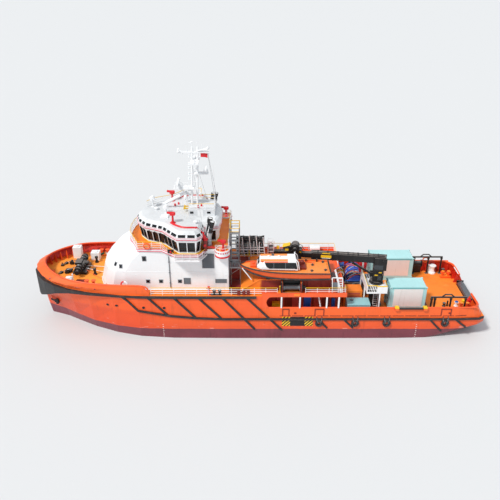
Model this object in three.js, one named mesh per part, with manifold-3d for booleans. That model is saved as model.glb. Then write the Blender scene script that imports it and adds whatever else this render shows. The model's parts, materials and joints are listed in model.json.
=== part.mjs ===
// Dive support vessel, 55 m long, drawn in full-size metres and scaled to 1:2 at the end.
// X runs aft, Y to starboard, Z up. The origin is amidships on the centreline at the waterline.
import * as THREE from "three";
import { mergeVertices } from "three/addons/utils/BufferGeometryUtils.js";
import Module from "manifold-3d";

const wasm = await Module();
wasm.setup();

// Driving dimensions, in full-size metres.
const MM_PER_METRE = 500; // 1:2
const GAP = 0.0006; // between resting pieces
const PLAY = 0.012; // around moving pieces
const ROUND = 24; // sides of pins and of the bores they turn in
const DECK = 2.8; // work deck
const FOREDECK = 6.0; // forecastle deck and upper deck aft
const SIDE = 5.95; // half-breadth of the hull
const STEP_X = 0.6; // where the forecastle ends
const UPPER_END = 10.6; // aft end of the upper deck
const BULWARK_TOP = 4.3;
const HOUSE_TOP = 11.3; // bridge deck underside
const BRIDGE = 11.44; // bridge deck surface
const ROOF_BASE = 13.3;
const ROOF_TOP = 14.3;
const HOUSE_SIDE = 4.55;
const HOUSE_AFT = -3.3;
const CRANE = { x: 14.6, y: -2.6, turn: -8 }; // boom stowed 8 degrees off the centreline
const BOAT_Y = -4.1;

const ship = new THREE.Group();

const PAINTS = {
  orange: { color: 0xe8582c, roughness: 0.45, metalness: 0 },
  deck: { color: 0xf08a2c, roughness: 0.8, metalness: 0 },
  white: { color: 0xe8eaec, roughness: 0.4, metalness: 0 },
  black: { color: 0x141416, roughness: 0.5, metalness: 0.1 },
  rubber: { color: 0x18181a, roughness: 0.9, metalness: 0 },
  red: { color: 0xc01820, roughness: 0.4, metalness: 0 },
  maroon: { color: 0x6a2220, roughness: 0.6, metalness: 0 },
  aqua: { color: 0x96d7cd, roughness: 0.5, metalness: 0 },
  blue: { color: 0x2746a0, roughness: 0.7, metalness: 0 },
  steel: { color: 0x8c9094, roughness: 0.45, metalness: 0.8 },
  bronze: { color: 0xb07a35, roughness: 0.3, metalness: 1 },
  glass: { color: 0x1a2228, roughness: 0.1, metalness: 0, transparent: true, opacity: 0.5 },
};
// Which pieces wear which paint; the rest are orange.
const PAINTED = {
  deck: ["upper_deck_aft", "bridge_deck", "boat_casing", "machinery_block"],
  white: [
    "superstructure", "house_door", "wheelhouse", "wheelhouse_door", "wheelhouse_roof", "mast",
    "radar_scanner_lower", "radar_scanner_upper", "bottle_rack", "workboat_cabin", "crane_platform",
    "capstan",
  ],
  black: [
    "gas_bottles", "crane_pedestal", "crane_column", "crane_boom", "crane_extension", "luff_barrel",
    "windlass", "anchor_starboard", "anchor_port", "cargo_rail_starboard", "cargo_rail_port",
    "bridge_console", "side_roller",
  ],
  rubber: ["bow_fender", "side_fender_starboard", "side_fender_port"],
  red: ["monitor_roof_port", "monitor_roof_starboard", "monitor_aft_port", "monitor_aft_starboard"],
  maroon: ["main_deckhouse", "rudder_port", "rudder_starboard"],
  aqua: ["container_near", "container_far", "deck_tank"],
  blue: ["umbilical_reel"],
  steel: [
    "stair_tower", "luff_rod", "launch_winch_drum", "umbilical_skid", "stern_roller", "exhaust_starboard",
    "exhaust_port",
  ],
  bronze: ["propeller_port", "propeller_starboard"],
  glass: ["wheelhouse_glass"],
};
const paintOf = (name) => Object.keys(PAINTED).find((paint) => PAINTED[paint].includes(name)) ?? "orange";

// Makes a manifold solid from a three.js geometry.
function solid(geometry) {
  const g = geometry.clone();
  g.deleteAttribute("normal");
  g.deleteAttribute("uv");
  const merged = mergeVertices(g, 1e-6);
  const mesh = new wasm.Mesh({
    numProp: 3,
    vertProperties: new Float32Array(merged.attributes.position.array),
    triVerts: new Uint32Array(merged.index.array),
  });
  return new wasm.Manifold(mesh);
}

// Adds a solid to the ship as one named mesh.
function add(name, body) {
  const m = body.getMesh();
  const g = new THREE.BufferGeometry();
  g.setAttribute("position", new THREE.BufferAttribute(new Float32Array(m.vertProperties), 3));
  g.setIndex(new THREE.BufferAttribute(new Uint32Array(m.triVerts), 1));
  const mesh = new THREE.Mesh(g, new THREE.MeshStandardMaterial(PAINTS[paintOf(name)]));
  mesh.name = name;
  ship.add(mesh);
  return body;
}

const box = (x0, x1, y0, y1, z0, z1) =>
  solid(
    new THREE.BoxGeometry(x1 - x0, y1 - y0, z1 - z0).translate((x0 + x1) / 2, (y0 + y1) / 2, (z0 + z1) / 2),
  );

// A round bar between two points.
function bar(a, b, r, sides = 8) {
  const from = new THREE.Vector3(...a);
  const to = new THREE.Vector3(...b);
  const along = to.clone().sub(from);
  const q = new THREE.Quaternion().setFromUnitVectors(new THREE.Vector3(0, 1, 0), along.clone().normalize());
  const g = new THREE.CylinderGeometry(r, r, along.length(), sides);
  const middle = from.add(to).multiplyScalar(0.5);
  return solid(g.applyQuaternion(q).translate(middle.x, middle.y, middle.z));
}

// The bore that a pin of radius r turns in.
const boreOf = (r) => r / Math.cos(Math.PI / ROUND) + GAP;

// A shape drawn in X and Y, standing from z0 to z1.
function plate(points, z0, z1) {
  const shape = new THREE.Shape(points.map(([x, y]) => new THREE.Vector2(x, y)));
  return solid(new THREE.ExtrudeGeometry(shape, { depth: z1 - z0, bevelEnabled: false }).translate(0, 0, z0));
}

// A shape drawn in X and Z, reaching from y0 to y1.
function profile(points, y0, y1) {
  const shape = new THREE.Shape(points.map(([x, z]) => new THREE.Vector2(x, z)));
  const g = new THREE.ExtrudeGeometry(shape, { depth: y1 - y0, bevelEnabled: false });
  return solid(g.rotateX(Math.PI / 2).translate(0, y1, 0));
}

// A turned piece on an upright axis; its profile lists radius and height and ends on the axis.
const turned = (points, sides, x, y, z) =>
  solid(
    new THREE.LatheGeometry(points.map(([r, h]) => new THREE.Vector2(r, h)), sides)
      .rotateX(Math.PI / 2)
      .translate(x, y, z),
  );

// Joins rings with the same number of points into one closed solid with flat end caps.
function loft(rings) {
  const n = rings[0].length;
  const at = [];
  const faces = [];
  rings.forEach((ring) => ring.forEach((p) => at.push(...p)));
  for (let i = 0; i + 1 < rings.length; i++)
    for (let j = 0; j < n; j++) {
      const a = i * n + j;
      const b = i * n + ((j + 1) % n);
      faces.push(a, b, b + n, a, b + n, a + n);
    }
  const seen = (ring, u, v) => ring.map((p) => new THREE.Vector2(p[u], p[v]));
  const cap = (ring, first, forward) => {
    const views = [seen(ring, 1, 2), seen(ring, 0, 2), seen(ring, 0, 1)];
    const areas = views.map((view) => Math.abs(THREE.ShapeUtils.area(view)));
    const shape = views[areas.indexOf(Math.max(...areas))];
    const ringSign = Math.sign(THREE.ShapeUtils.area(shape));
    THREE.ShapeUtils.triangulateShape(shape, []).forEach(([a, b, c]) => {
      const faceSign = Math.sign(THREE.ShapeUtils.area([shape[a], shape[b], shape[c]]));
      if ((faceSign === ringSign) === forward) faces.push(first + a, first + b, first + c);
      else faces.push(first + a, first + c, first + b);
    });
  };
  cap(rings[0], 0, false);
  cap(rings[rings.length - 1], (rings.length - 1) * n, true);
  const g = new THREE.BufferGeometry();
  g.setAttribute("position", new THREE.Float32BufferAttribute(at, 3));
  g.setIndex(faces);
  let made = solid(g);
  if (made.volume() < 0) {
    for (let i = 0; i < faces.length; i += 3) [faces[i + 1], faces[i + 2]] = [faces[i + 2], faces[i + 1]];
    g.setIndex(faces);
    made = solid(g);
  }
  return made;
}

const union = (list) => wasm.Manifold.union(list);
const port = (body) => body.mirror([0, 1, 0]);
// Closes a half plan, listed from the bow aft on the starboard side, with its port half.
const both = (half) => [
  ...half,
  ...half
    .filter(([, y]) => y > 1e-6)
    .map(([x, y]) => [x, -y])
    .reverse(),
];
// Moves a closed plan outward by d.
function grown(plan, d) {
  const n = plan.length;
  let area = 0;
  plan.forEach(([x, y], i) => {
    const [u, v] = plan[(i + 1) % n];
    area += x * v - u * y;
  });
  const side = area > 0 ? 1 : -1;
  return plan.map(([x, y], i) => {
    const [px, py] = plan[(i + n - 1) % n];
    const [qx, qy] = plan[(i + 1) % n];
    const a = new THREE.Vector2(x - px, y - py).normalize();
    const b = new THREE.Vector2(qx - x, qy - y).normalize();
    const na = new THREE.Vector2(a.y, -a.x).multiplyScalar(side);
    const nb = new THREE.Vector2(b.y, -b.x).multiplyScalar(side);
    const m = na.clone().add(nb).normalize();
    const k = d / Math.max(0.4, m.dot(na));
    return [x + m.x * k, y + m.y * k];
  });
}
const level = (plan, z) => plan.map(([x, y]) => [x, y, z]);

// HULL
// Columns: x at the deck, how much of the stem's rake the station takes, keel z,
// then half-breadth and height at flat bottom, bilge, waterline, boot-top, knuckle and deck.
const STATIONS = [
  [-27.05, 1, -3.9, 0.02, -3.85, 0.03, -2.6, 0.04, 0, 0.06, 1.36, 0.14, 3.9, 0.55, 6.6],
  [-26.55, 0.9, -3.95, 0.05, -3.95, 0.1, -2.6, 0.22, 0, 0.3, 1.36, 0.62, 3.9, 1.55, 6.56],
  [-25.55, 0.65, -4, 0.1, -4, 0.25, -2.6, 0.55, 0, 0.8, 1.36, 1.55, 3.9, 2.8, 6.5],
  [-24.25, 0.4, -4, 0.15, -4, 0.5, -2.6, 1.05, 0, 1.45, 1.36, 2.6, 3.9, 3.8, 6.42],
  [-22.45, 0.15, -4, 0.3, -4, 1.1, -2.6, 2.05, 0, 2.55, 1.36, 3.6, 3.9, 4.65, 6.3],
  [-20, 0, -4, 0.75, -4, 2.2, -2.6, 3.4, 0, 4, 1.36, 4.5, 3.9, 5.25, 6.16],
  [-17, 0, -4, 1.6, -4, 3.5, -2.6, 4.7, 0, 5.15, 1.36, 5.3, 3.9, 5.65, FOREDECK],
  [-14, 0, -4, 2.6, -4, 4.5, -2.6, 5.5, 0, 5.8, 1.36, 5.86, 3.9, 5.87, FOREDECK],
  [-10, 0, -4, 3.8, -4, 5.3, -2.6, 5.88, 0, 5.94, 1.36, SIDE, 3.6, SIDE, FOREDECK],
  [-4, 0, -4, 4.7, -4, 5.75, -2.8, SIDE, 0, SIDE, 1.36, SIDE, 2.8, SIDE, FOREDECK],
  [9, 0, -4, 4.8, -4, 5.8, -2.8, SIDE, 0, SIDE, 1.36, SIDE, 2.6, SIDE, FOREDECK],
  [13, 0, -3.8, 4.5, -3.6, 5.7, -2.3, SIDE, 0, SIDE, 1.36, SIDE, 2.6, SIDE, FOREDECK],
  [17, 0, -2.5, 4.3, -2.3, 5.6, -1.35, 5.92, 0, SIDE, 1.36, SIDE, 2.6, SIDE, FOREDECK],
  [21.3, 0, -1, 4.4, -0.65, 5.6, -0.1, 5.85, 0.35, SIDE, 1.36, SIDE, 2.6, SIDE, FOREDECK],
  [24, 0, -0.25, 4.4, 0.3, 5.55, 0.85, 5.8, 1.1, 5.93, 1.7, SIDE, 2.6, SIDE, FOREDECK],
  [26.6, 0, 0.4, 4.3, 0.95, 5.35, 1.55, 5.65, 1.8, 5.75, 2.1, 5.8, 2.6, 5.8, FOREDECK],
  [27.45, 0, 0.65, 4, 1.15, 4.9, 1.75, 5.2, 1.95, 5.3, 2.2, 5.35, 2.6, 5.35, FOREDECK],
];
// How far aft of the deck's stem the stem lies, at keel, flat, bilge, waterline, boot-top, knuckle and deck.
const STEM_RAKE = [2.9, 2.7, 1.5, 0.6, 0.35, 0.05, 0];
const sections = STATIONS.map(([x, rake, keel, ...sides]) => {
  const half = [];
  for (let i = 0; i < 6; i++) half.push([x + rake * STEM_RAKE[i + 1], sides[2 * i], sides[2 * i + 1]]);
  return [
    [x + rake * STEM_RAKE[0], 0, keel],
    ...half.map(([a, y, z]) => [a, -y, z]),
    ...half.reverse(),
  ];
});
const shell = loft(sections);
const nearShell = shell.scale([1.00003, 1.00014, 1]); // the hull a gap larger, to cut what lies on its side
const fatShell = shell.scale([1.004, 1.03, 1]); // the hull a fender's depth larger

const SHAFT = { y: 2.9, z: -2.5, end: 20.6, r: 0.13 };
const RUDDER = { x: 23.6, y: 2.9, stock: 0.15 };
let hull = shell.subtract(box(STEP_X, 40, -8, 8, DECK, 9));
for (const s of [-1, 1]) {
  const y = s * SHAFT.y;
  hull = hull
    .add(bar([13.5, y, SHAFT.z], [SHAFT.end, y, SHAFT.z], 0.32, 12))
    .add(box(19.6, 20.1, y - 0.07, y + 0.07, SHAFT.z, -0.5))
    .subtract(bar([19.8, y, SHAFT.z], [SHAFT.end + 1, y, SHAFT.z], boreOf(SHAFT.r), ROUND))
    .subtract(bar([RUDDER.x, y, -2], [RUDDER.x, y, 0.75], boreOf(RUDDER.stock), ROUND));
}
hull = hull.add(
  profile(
    [
      [12, -3.95],
      [18.8, -3.95],
      [22.6, -1.2],
      [23.4, 0.2],
      [12, 0.2],
    ],
    -0.12,
    0.12,
  ),
);
const RECESS_Y = 2.35;
hull = hull.subtract(box(26.35, 28, -RECESS_Y, RECESS_Y, 2.15, 3)); // stern roller's recess
// Anchor pockets
const POCKET_AFT = -24.9;
const pocket = box(-26.2, POCKET_AFT, 0.75, 3, 2.15, 3.05);
hull = hull.subtract(pocket).subtract(port(pocket));
// Bitts, two posts on a plate. Columns: x, y, deck z.
const BITTS = [
  [-19.9, -3.9, 6.0],
  [-19.9, 4.1, 6.0],
  [25.4, -3.9, DECK],
  [25.4, 3.9, DECK],
];
for (const [x, y, z] of BITTS) {
  hull = hull.add(box(x - 0.65, x + 0.65, y - 0.25, y + 0.25, z - 0.2, z + 0.3));
  for (const px of [x - 0.38, x + 0.38])
    hull = hull
      .add(bar([px, y, z + 0.2], [px, y, z + 0.95], 0.17, 10))
      .add(bar([px, y, z + 0.88], [px, y, z + 0.97], 0.23, 10));
}
// Vent boxes on the foredeck. Columns: x0, x1, y0, y1, top z.
const VENTS = [
  [-23.6, -22.6, 2.7, 3.5, 7.9],
  [-21.3, -20.3, 2.5, 3.4, 7.2],
  [-22.8, -22.1, -4.1, -3.4, 7.2],
];
for (const [x0, x1, y0, y1, z1] of VENTS) hull = hull.add(box(x0, x1, y0, y1, 5.9, z1));
add("hull", hull);
const raised = hull.translate([0, 0, GAP]); // cuts what stands on a deck with sheer

// BOW BULWARK
// Columns: base x, y, z; middle x, y; top x, y, z.
const BOW_RAIL = [
  [-12.6, 5.86, FOREDECK, -12.6, 5.86, -12.6, 5.84, 6.35],
  [-13.3, 5.84, FOREDECK, -13.3, 5.86, -13.3, 5.78, 7.15],
  [-17, 5.62, FOREDECK, -17, 5.72, -17, 5.58, 7.2],
  [-20, 5.22, 6.16, -20, 5.46, -19.9, 5.34, 7.33],
  [-22.45, 4.62, 6.3, -22.5, 5.05, -22.25, 4.8, 7.5],
  [-24.25, 3.76, 6.42, -24.4, 4.3, -23.75, 3.92, 7.62],
  [-25.5, 2.76, 6.5, -25.8, 3.2, -24.95, 2.8, 7.72],
  [-26.5, 1.52, 6.56, -26.8, 1.8, -25.8, 1.55, 7.8],
  [-27, 0.5, 6.6, -27.2, 0.6, -26.15, 0.5, 7.84],
];
const BOW_SIDEWAYS = [1, 4, 6]; // the columns that turn over on the port side
const bowPort = BOW_RAIL.map((r) => r.map((v, i) => (BOW_SIDEWAYS.includes(i) ? -v : v)));
const bowRows = [...BOW_RAIL, ...bowPort.reverse()];
const bowRings = bowRows.map((row, i) => {
  const before = bowRows[Math.max(0, i - 1)];
  const after = bowRows[Math.min(bowRows.length - 1, i + 1)];
  const along = new THREE.Vector2(after[0] - before[0], after[1] - before[1]).normalize();
  const inward = [-along.y, along.x].map((v) => v * (along.x < 0 || along.y < 0 ? 1 : 1));
  const [bx, by, bz, mx, my, tx, ty, tz] = row;
  const t = 0.16;
  const mz = bz + 0.6 * (tz - bz);
  const base = bz + GAP;
  return [
    [bx, by, base],
    [mx, my, mz],
    [tx, ty, tz],
    [tx + inward[0] * t, ty + inward[1] * t, tz - 0.02],
    [mx + inward[0] * t, my + inward[1] * t, mz],
    [bx + inward[0] * t, by + inward[1] * t, base],
  ];
});
add("bow_bulwark", loft(bowRings));

// BOW FENDER
// Columns: x, y and z of the upper outer edge, then of the lower outer edge, and depth inward.
const SPLIT_X = -16.2; // where the bow fender meets the side fender
const BOW_FENDER = [
  [SPLIT_X + 0.3, 5.88, 5.99, SPLIT_X + 0.3, 5.88, 5.71, 0.5],
  [-20, 5.52, 6.15, -20, 5.45, 5.8, 0.6],
  [-22.45, 5.0, 6.29, -22.45, 4.85, 5.7, 0.9],
  [-24.25, 4.25, 6.41, -24.3, 4.05, 5.2, 1.3],
  [-25.75, 3.2, 6.49, -25.9, 2.6, 4.15, 1.5],
  [-26.95, 1.85, 6.55, -27, 1.45, 3.45, 1.5],
  [-27.5, 0.65, 6.59, -27.5, 0.55, 3.25, 1.3],
];
const fenderRows = [
  ...BOW_FENDER,
  ...BOW_FENDER.map((r) => r.map((v, i) => ([1, 4].includes(i) ? -v : v))).reverse(),
];
const fenderRings = fenderRows.map((row, i) => {
  const before = fenderRows[Math.max(0, i - 1)];
  const after = fenderRows[Math.min(fenderRows.length - 1, i + 1)];
  const along = new THREE.Vector2(after[0] - before[0], after[1] - before[1]).normalize();
  const [ux, uy, uz, lx, ly, lz, deep] = row;
  const dx = -along.y * deep;
  const dy = along.x * deep;
  return [
    [ux, uy, uz],
    [lx, ly, lz],
    [lx + dx, ly + dy, lz],
    [ux + dx, uy + dy, uz],
  ];
});
// Only what lies outside the plating is left.
const deckPlan = both(STATIONS.map((row) => [row[0], row[13]]));
add(
  "bow_fender",
  loft(fenderRings)
    .subtract(nearShell)
    .subtract(plate(grown(deckPlan, 0.002), 5.9, 8))
    .subtract(box(SPLIT_X - GAP, 0, -9, 9, 0, 9)),
);

// SIDE FENDERS
// Bars on the side. Columns: x and z of one end, x and z of the other, width.
const SIDE_BARS = [
  [SPLIT_X, 5.85, -0.04, 5.85, 0.28],
  [-15.9, 5.85, -14.1, 3.98, 0.22],
  [-14.15, 3.96, -10.5, 3.3, 0.22],
  [-10.6, 3.3, -7.2, 2.95, 0.22],
  [-7.3, 2.96, -4, 2.81, 0.22],
  [-4.1, 2.81, 27.3, 2.81, 0.24],
  [-12.86, 5.85, -10.5, 3.3, 0.22],
  [-9.77, 5.85, -7.2, 2.95, 0.22],
  [-6.89, 5.85, -4.1, 2.8, 0.22],
  [-4.07, 5.85, -0.2, 1.36, 0.22],
  [-1.2, 5.85, 3.06, 1.25, 0.22],
  [7.3, 2.8, 8.5, 1.55, 0.2],
  [10.4, 2.8, 11.6, 1.57, 0.2],
  [20.7, 2.8, 22.3, 1.1, 0.2],
  [23.8, 2.8, 25.2, 1.6, 0.2],
];
const TYRES_X = [7.5, 11.81, 15.58, 22.59];
const rawBars = union(
  SIDE_BARS.map(([x0, z0, x1, z1, width]) => {
    const long = Math.hypot(x1 - x0, z1 - z0);
    const g = new THREE.BoxGeometry(long, 3, width)
      .rotateY(-Math.atan2(z1 - z0, x1 - x0))
      .translate((x0 + x1) / 2, SIDE, (z0 + z1) / 2);
    return solid(g);
  }),
).subtract(box(-30, SPLIT_X, 0, 9, 0, 9));
const tyre = solid(new THREE.TorusGeometry(0.34, 0.15, 6, 14).rotateX(Math.PI / 2));
const tyres = union(TYRES_X.map((x) => tyre.translate([x, 6.1, 2.26])));
const sideFender = (side) => side(rawBars).intersect(fatShell).add(side(tyres)).subtract(nearShell);
add("side_fender_starboard", sideFender((body) => body));
add("side_fender_port", sideFender(port));

// MAIN BULWARKS
// Columns: base x and y, top x, y and z.
const BULWARK = [
  [STEP_X + GAP, 5.93, STEP_X + GAP, 5.9, BULWARK_TOP],
  [24, 5.92, 23.8, 5.88, BULWARK_TOP],
  [26.3, 5.76, 25.7, 5.66, 4.26],
  [27.1, 5.4, 26.45, 5.25, 4.2],
  [27.36, 4.7, 26.68, 4.6, 4.15],
  [27.36, 2.42, 26.68, 2.42, 4.12],
];
const bulwark = loft(
  BULWARK.map(([bx, by, tx, ty, tz], i) => {
    const before = BULWARK[Math.max(0, i - 1)];
    const after = BULWARK[Math.min(BULWARK.length - 1, i + 1)];
    const along = new THREE.Vector2(after[0] - before[0], after[1] - before[1]).normalize();
    const dx = along.y * 0.16;
    const dy = -along.x * 0.16;
    return [
      [bx, by, DECK + GAP],
      [tx, ty, tz],
      [tx + dx, ty + dy, tz],
      [bx + dx, by + dy, DECK + GAP],
    ];
  }),
);
add("bulwark_starboard", bulwark);
// A roller sits in a notch of the port bulwark, between two end blocks.
const SIDE_ROLLER = { y: -6, z: 4.34, x0: 16.85, x1: 19.75, r: 0.16, pin: 0.07, block: 0.45 };
const rollerLine = (out, r, sides) =>
  bar(
    [SIDE_ROLLER.x0 - out, SIDE_ROLLER.y, SIDE_ROLLER.z],
    [SIDE_ROLLER.x1 + out, SIDE_ROLLER.y, SIDE_ROLLER.z],
    r,
    sides,
  );
const rollerBlock = (x) => box(x, x + SIDE_ROLLER.block, -6.2, -5.72, 4.1, 4.52);
const rollerNotch = box(SIDE_ROLLER.x0, SIDE_ROLLER.x1, -6.4, -5.5, 4.1, 5);
const rollerBlocks = rollerBlock(SIDE_ROLLER.x0 - SIDE_ROLLER.block)
  .add(rollerBlock(SIDE_ROLLER.x1))
  .subtract(rollerLine(1, boreOf(SIDE_ROLLER.pin), ROUND));
add("bulwark_port", port(bulwark).subtract(rollerNotch).add(rollerBlocks));

// UPPER DECK AFT with its edge, gallery posts and rounded forward screens
const UPPER_X = STEP_X + GAP;
const POSTS_X = [2.93, 5.11, 8.28, 9.7];
const edge = (s) => {
  const y0 = s > 0 ? 5.78 : -5.92;
  const screen = profile(
    [
      [UPPER_X, BULWARK_TOP + GAP],
      [1.5, BULWARK_TOP + GAP],
      [1.22, 4.75],
      [1.14, 5.1],
      [1.22, 5.45],
      [1.5, 5.8],
      [2, 5.86],
      [UPPER_X, 5.86],
    ],
    y0,
    y0 + 0.14,
  );
  const posts = POSTS_X.map((x) => box(x - 0.07, x + 0.07, y0 + 0.01, y0 + 0.13, BULWARK_TOP + GAP, 5.86));
  return union([screen, ...posts, box(UPPER_X, UPPER_END, y0, y0 + 0.14, 5.84, 6.36)]);
};
const upperDeck = union([
  box(UPPER_X, UPPER_END, -5.8, 5.8, 5.84, FOREDECK),
  edge(1),
  edge(-1),
  box(UPPER_END - 0.14, UPPER_END, -5.8, 5.8, 5.84, 6.2),
]);
// Ladder to the workboat
const LADDER_SIDE = [[9.9, FOREDECK - 0.05], [10.1, FOREDECK - 0.05], [9.25, 8.9], [9.05, 8.9]];
const ladder = [-5.55, -4.85].map((y) => profile(LADDER_SIDE, y, y + 0.08));
for (let k = 1; k < 10; k++) {
  const z = FOREDECK + k * 0.29;
  const x = 10 - k * 0.083;
  ladder.push(box(x - 0.1, x + 0.1, -5.5, -4.8, z - 0.02, z + 0.02));
}
add("upper_deck_aft", upperDeck.add(union(ladder)));
add("main_deckhouse", box(STEP_X + GAP, 10.2, -3.8, 3.8, DECK + GAP, 5.84 - GAP));

// SUPERSTRUCTURE
// Half plans from the bow aft, at the foredeck, first tier, above it and at the bridge deck.
const HOUSE_PLANS = [
  [FOREDECK - 0.3, [[-19.2, 0], [-19.05, 2], [-18.4, 3.6], [-17.2, 4.4], [-15.8, HOUSE_SIDE]]],
  [8.5, [[-18.5, 0], [-18.3, 2], [-17.6, 3.6], [-16.6, 4.4], [-15.4, HOUSE_SIDE]]],
  [10.1, [[-17, 0], [-16.8, 1.9], [-16, 3.6], [-15.2, 4.4], [-14.4, HOUSE_SIDE]]],
  [HOUSE_TOP - GAP, [[-15.1, 0], [-14.95, 1.7], [-14.2, 3.6], [-13.7, 4.4], [-13.2, HOUSE_SIDE]]],
];
const HOUSE_CORNER = [HOUSE_AFT, HOUSE_SIDE];
const DOOR = { x0: -5.75, x1: -4.85, z0: 6.2, z1: 8.1, deep: 0.14 };
let house = loft(
  HOUSE_PLANS.map(([z, half]) => level(both([...half, HOUSE_CORNER]), z)),
).subtract(raised);
house = house.subtract(box(DOOR.x0, DOOR.x1, -6, -HOUSE_SIDE + DOOR.deep, DOOR.z0, DOOR.z1));
add("superstructure", house);
add(
  "house_door",
  box(
    DOOR.x0 + PLAY,
    DOOR.x1 - PLAY,
    -HOUSE_SIDE + PLAY,
    -HOUSE_SIDE + DOOR.deep - GAP,
    DOOR.z0 + GAP,
    DOOR.z1 - PLAY,
  ),
);

// BRIDGE DECK with its raised edge
const BRIDGE_PLAN = both([
  [-15.2, 0],
  [-15.05, 1.7],
  [-13.7, 4.62],
  [-10.9, 4.7],
  [-9.3, 5.98],
  [-6.6, 5.98],
  [-5.9, 4.7],
  [-3.25, 4.7],
]);
// Round balconies at the aft corners, and a lower catwalk on a web under each wing.
const BALCONY = { x: -3.95, y: 4.75, r: 0.85, low: 10.8, rim: 11.62, wall: 0.08 };
const BALCONY_PROFILE = [
  [0, BALCONY.low],
  [BALCONY.r * 0.8, BALCONY.low],
  [BALCONY.r, BALCONY.low + 0.2],
  [BALCONY.r, BALCONY.rim],
  [0, BALCONY.rim],
];
const BALCONY_IN = BALCONY.r - BALCONY.wall;
const BALCONY_HOLLOW = [[0, BRIDGE], [BALCONY_IN, BRIDGE], [BALCONY_IN, 12], [0, 12]];
const WING = { low: 10.7, floor: 10.8, in: HOUSE_SIDE + GAP };
const wingWalk = [[-10.3, WING.in], [-9.4, 6.2], [-6.5, 6.2], [-5.7, WING.in]];
const wing = plate(wingWalk, WING.low, WING.floor).add(
  box(-9.6, -6.7, WING.in, 5.7, WING.floor - 0.05, HOUSE_TOP + 0.05),
);
const atBalcony = (rings, y) => turned(rings, 24, BALCONY.x, y, 0);
const houseCorner = box(-10, HOUSE_AFT + GAP, -WING.in, WING.in, 10, HOUSE_TOP);
const bridgeRim = plate(grown(BRIDGE_PLAN, -0.1), BRIDGE, BRIDGE + 1);
let bridgeDeck = plate(BRIDGE_PLAN, HOUSE_TOP, BRIDGE + 0.1).subtract(bridgeRim).add(wing).add(port(wing));
for (const y of [-BALCONY.y, BALCONY.y]) {
  const balcony = atBalcony(BALCONY_PROFILE, y).subtract(houseCorner);
  bridgeDeck = bridgeDeck.add(balcony).subtract(atBalcony(BALCONY_HOLLOW, y));
}
add("bridge_deck", bridgeDeck);

// WHEELHOUSE
const BRIDGE_HALF = [
  [-13.95, 0],
  [-13.65, 1.35],
  [-12.75, 2.55],
  [-11.3, 3.25],
  [-10.6, 3.6],
  [-9.5, 4.95],
  [-8.8, 5.75],
  [-6.9, 5.8],
  [-6.5, 5.3],
  [-6.45, 2.75],
  [-4.75, 2.6],
  [-4.5, 1.6],
];
const WALL = both(BRIDGE_HALF);
const SILL = 11.75;
const HEAD = 13.02;
const PANE = { pitch: 0.95, gap: 0.16 };
const base = BRIDGE + GAP;
const LEAN = 0.28; // how far the walls lean out above the sill
const leaning = [
  [base, 0],
  [SILL, 0],
  [ROOF_BASE - GAP, LEAN],
];
const outside = loft(
  leaning.map(([z, d]) => level(grown(WALL, d), z)),
);
const THICK = 0.12;
const inside = loft(
  [
    [base - 1, 0],
    ...leaning.slice(1),
    [ROOF_BASE + 1, LEAN + 0.24],
  ].map(([z, d]) => level(grown(WALL, d - THICK), z)),
);
let wheelhouse = outside.subtract(inside);
// Window openings, one for each stretch of a wall and more where it is long.
WALL.forEach(([x, y], i) => {
  const [u, v] = WALL[(i + 1) % WALL.length];
  const long = Math.hypot(u - x, v - y);
  const aft = x > -5 && u > -5;
  if (long < 0.5 || aft) return;
  const panes = Math.max(1, Math.round(long / PANE.pitch));
  const angle = Math.atan2(v - y, u - x);
  for (let k = 0; k < panes; k++) {
    const t = (k + 0.5) / panes;
    const g = new THREE.BoxGeometry(long / panes - PANE.gap, 1.6, HEAD - SILL)
      .rotateZ(angle)
      .translate(x + (u - x) * t, y + (v - y) * t, (HEAD + SILL) / 2);
    wheelhouse = wheelhouse.subtract(solid(g));
  }
});
const BACK = { y0: -0.45, y1: 0.45, z0: BRIDGE + 0.12, z1: 13.15, x: -4.5 };
wheelhouse = wheelhouse.subtract(box(BACK.x - 0.4, BACK.x + 0.6, BACK.y0, BACK.y1, BACK.z0, BACK.z1));
add("wheelhouse", wheelhouse);
add(
  "wheelhouse_door",
  box(BACK.x - 0.08, BACK.x - 0.02, BACK.y0 + PLAY, BACK.y1 - PLAY, BACK.z0 + GAP, BACK.z1 - PLAY),
);
// The glass is one band just inside the wall.
const lean = (z) => (LEAN * (z - SILL)) / (ROOF_BASE - SILL);
const band = (z0, z1, d) => loft([z0, z1].map((z) => level(grown(WALL, lean(z) - THICK - d), z)));
const bandOut = band(SILL, HEAD + 0.08, 2 * GAP);
const bandIn = band(SILL - 0.2, HEAD + 0.2, 0.04);
add("wheelhouse_glass", bandOut.subtract(bandIn).subtract(box(-4.9, -4, -2, 2, 11, 14)));
const helm = [
  box(-12.6, -11.7, -1.9, 1.9, base, 12.25),
  box(-9.2, -8.4, -1.6, 1.6, base, 12.2),
  box(-11.8, -8.9, -1.1, 1.1, base, 11.52),
];
for (const y of [-0.8, 0.8])
  helm.push(
    bar([-10.7, y, 11.5], [-10.7, y, 11.95], 0.1, 10),
    box(-11, -10.4, y - 0.28, y + 0.28, 11.9, 12.05),
    box(-10.48, -10.36, y - 0.26, y + 0.26, 12, 12.7),
  );
add("bridge_console", union(helm));

// ROOF with its sloped edge
const roof = loft(
  [
    [ROOF_BASE, 0.32],
    [13.48, 0.4],
    [13.62, 0.36],
    [14.12, 0.04],
    [ROOF_TOP, -0.2],
  ].map(([z, d]) => level(grown(WALL, d), z)),
);
const MAST_BASE = 15.1;
add("wheelhouse_roof", roof.add(box(-8, -4.9, -1.5, 1.5, ROOF_TOP - 0.1, MAST_BASE)));

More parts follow.
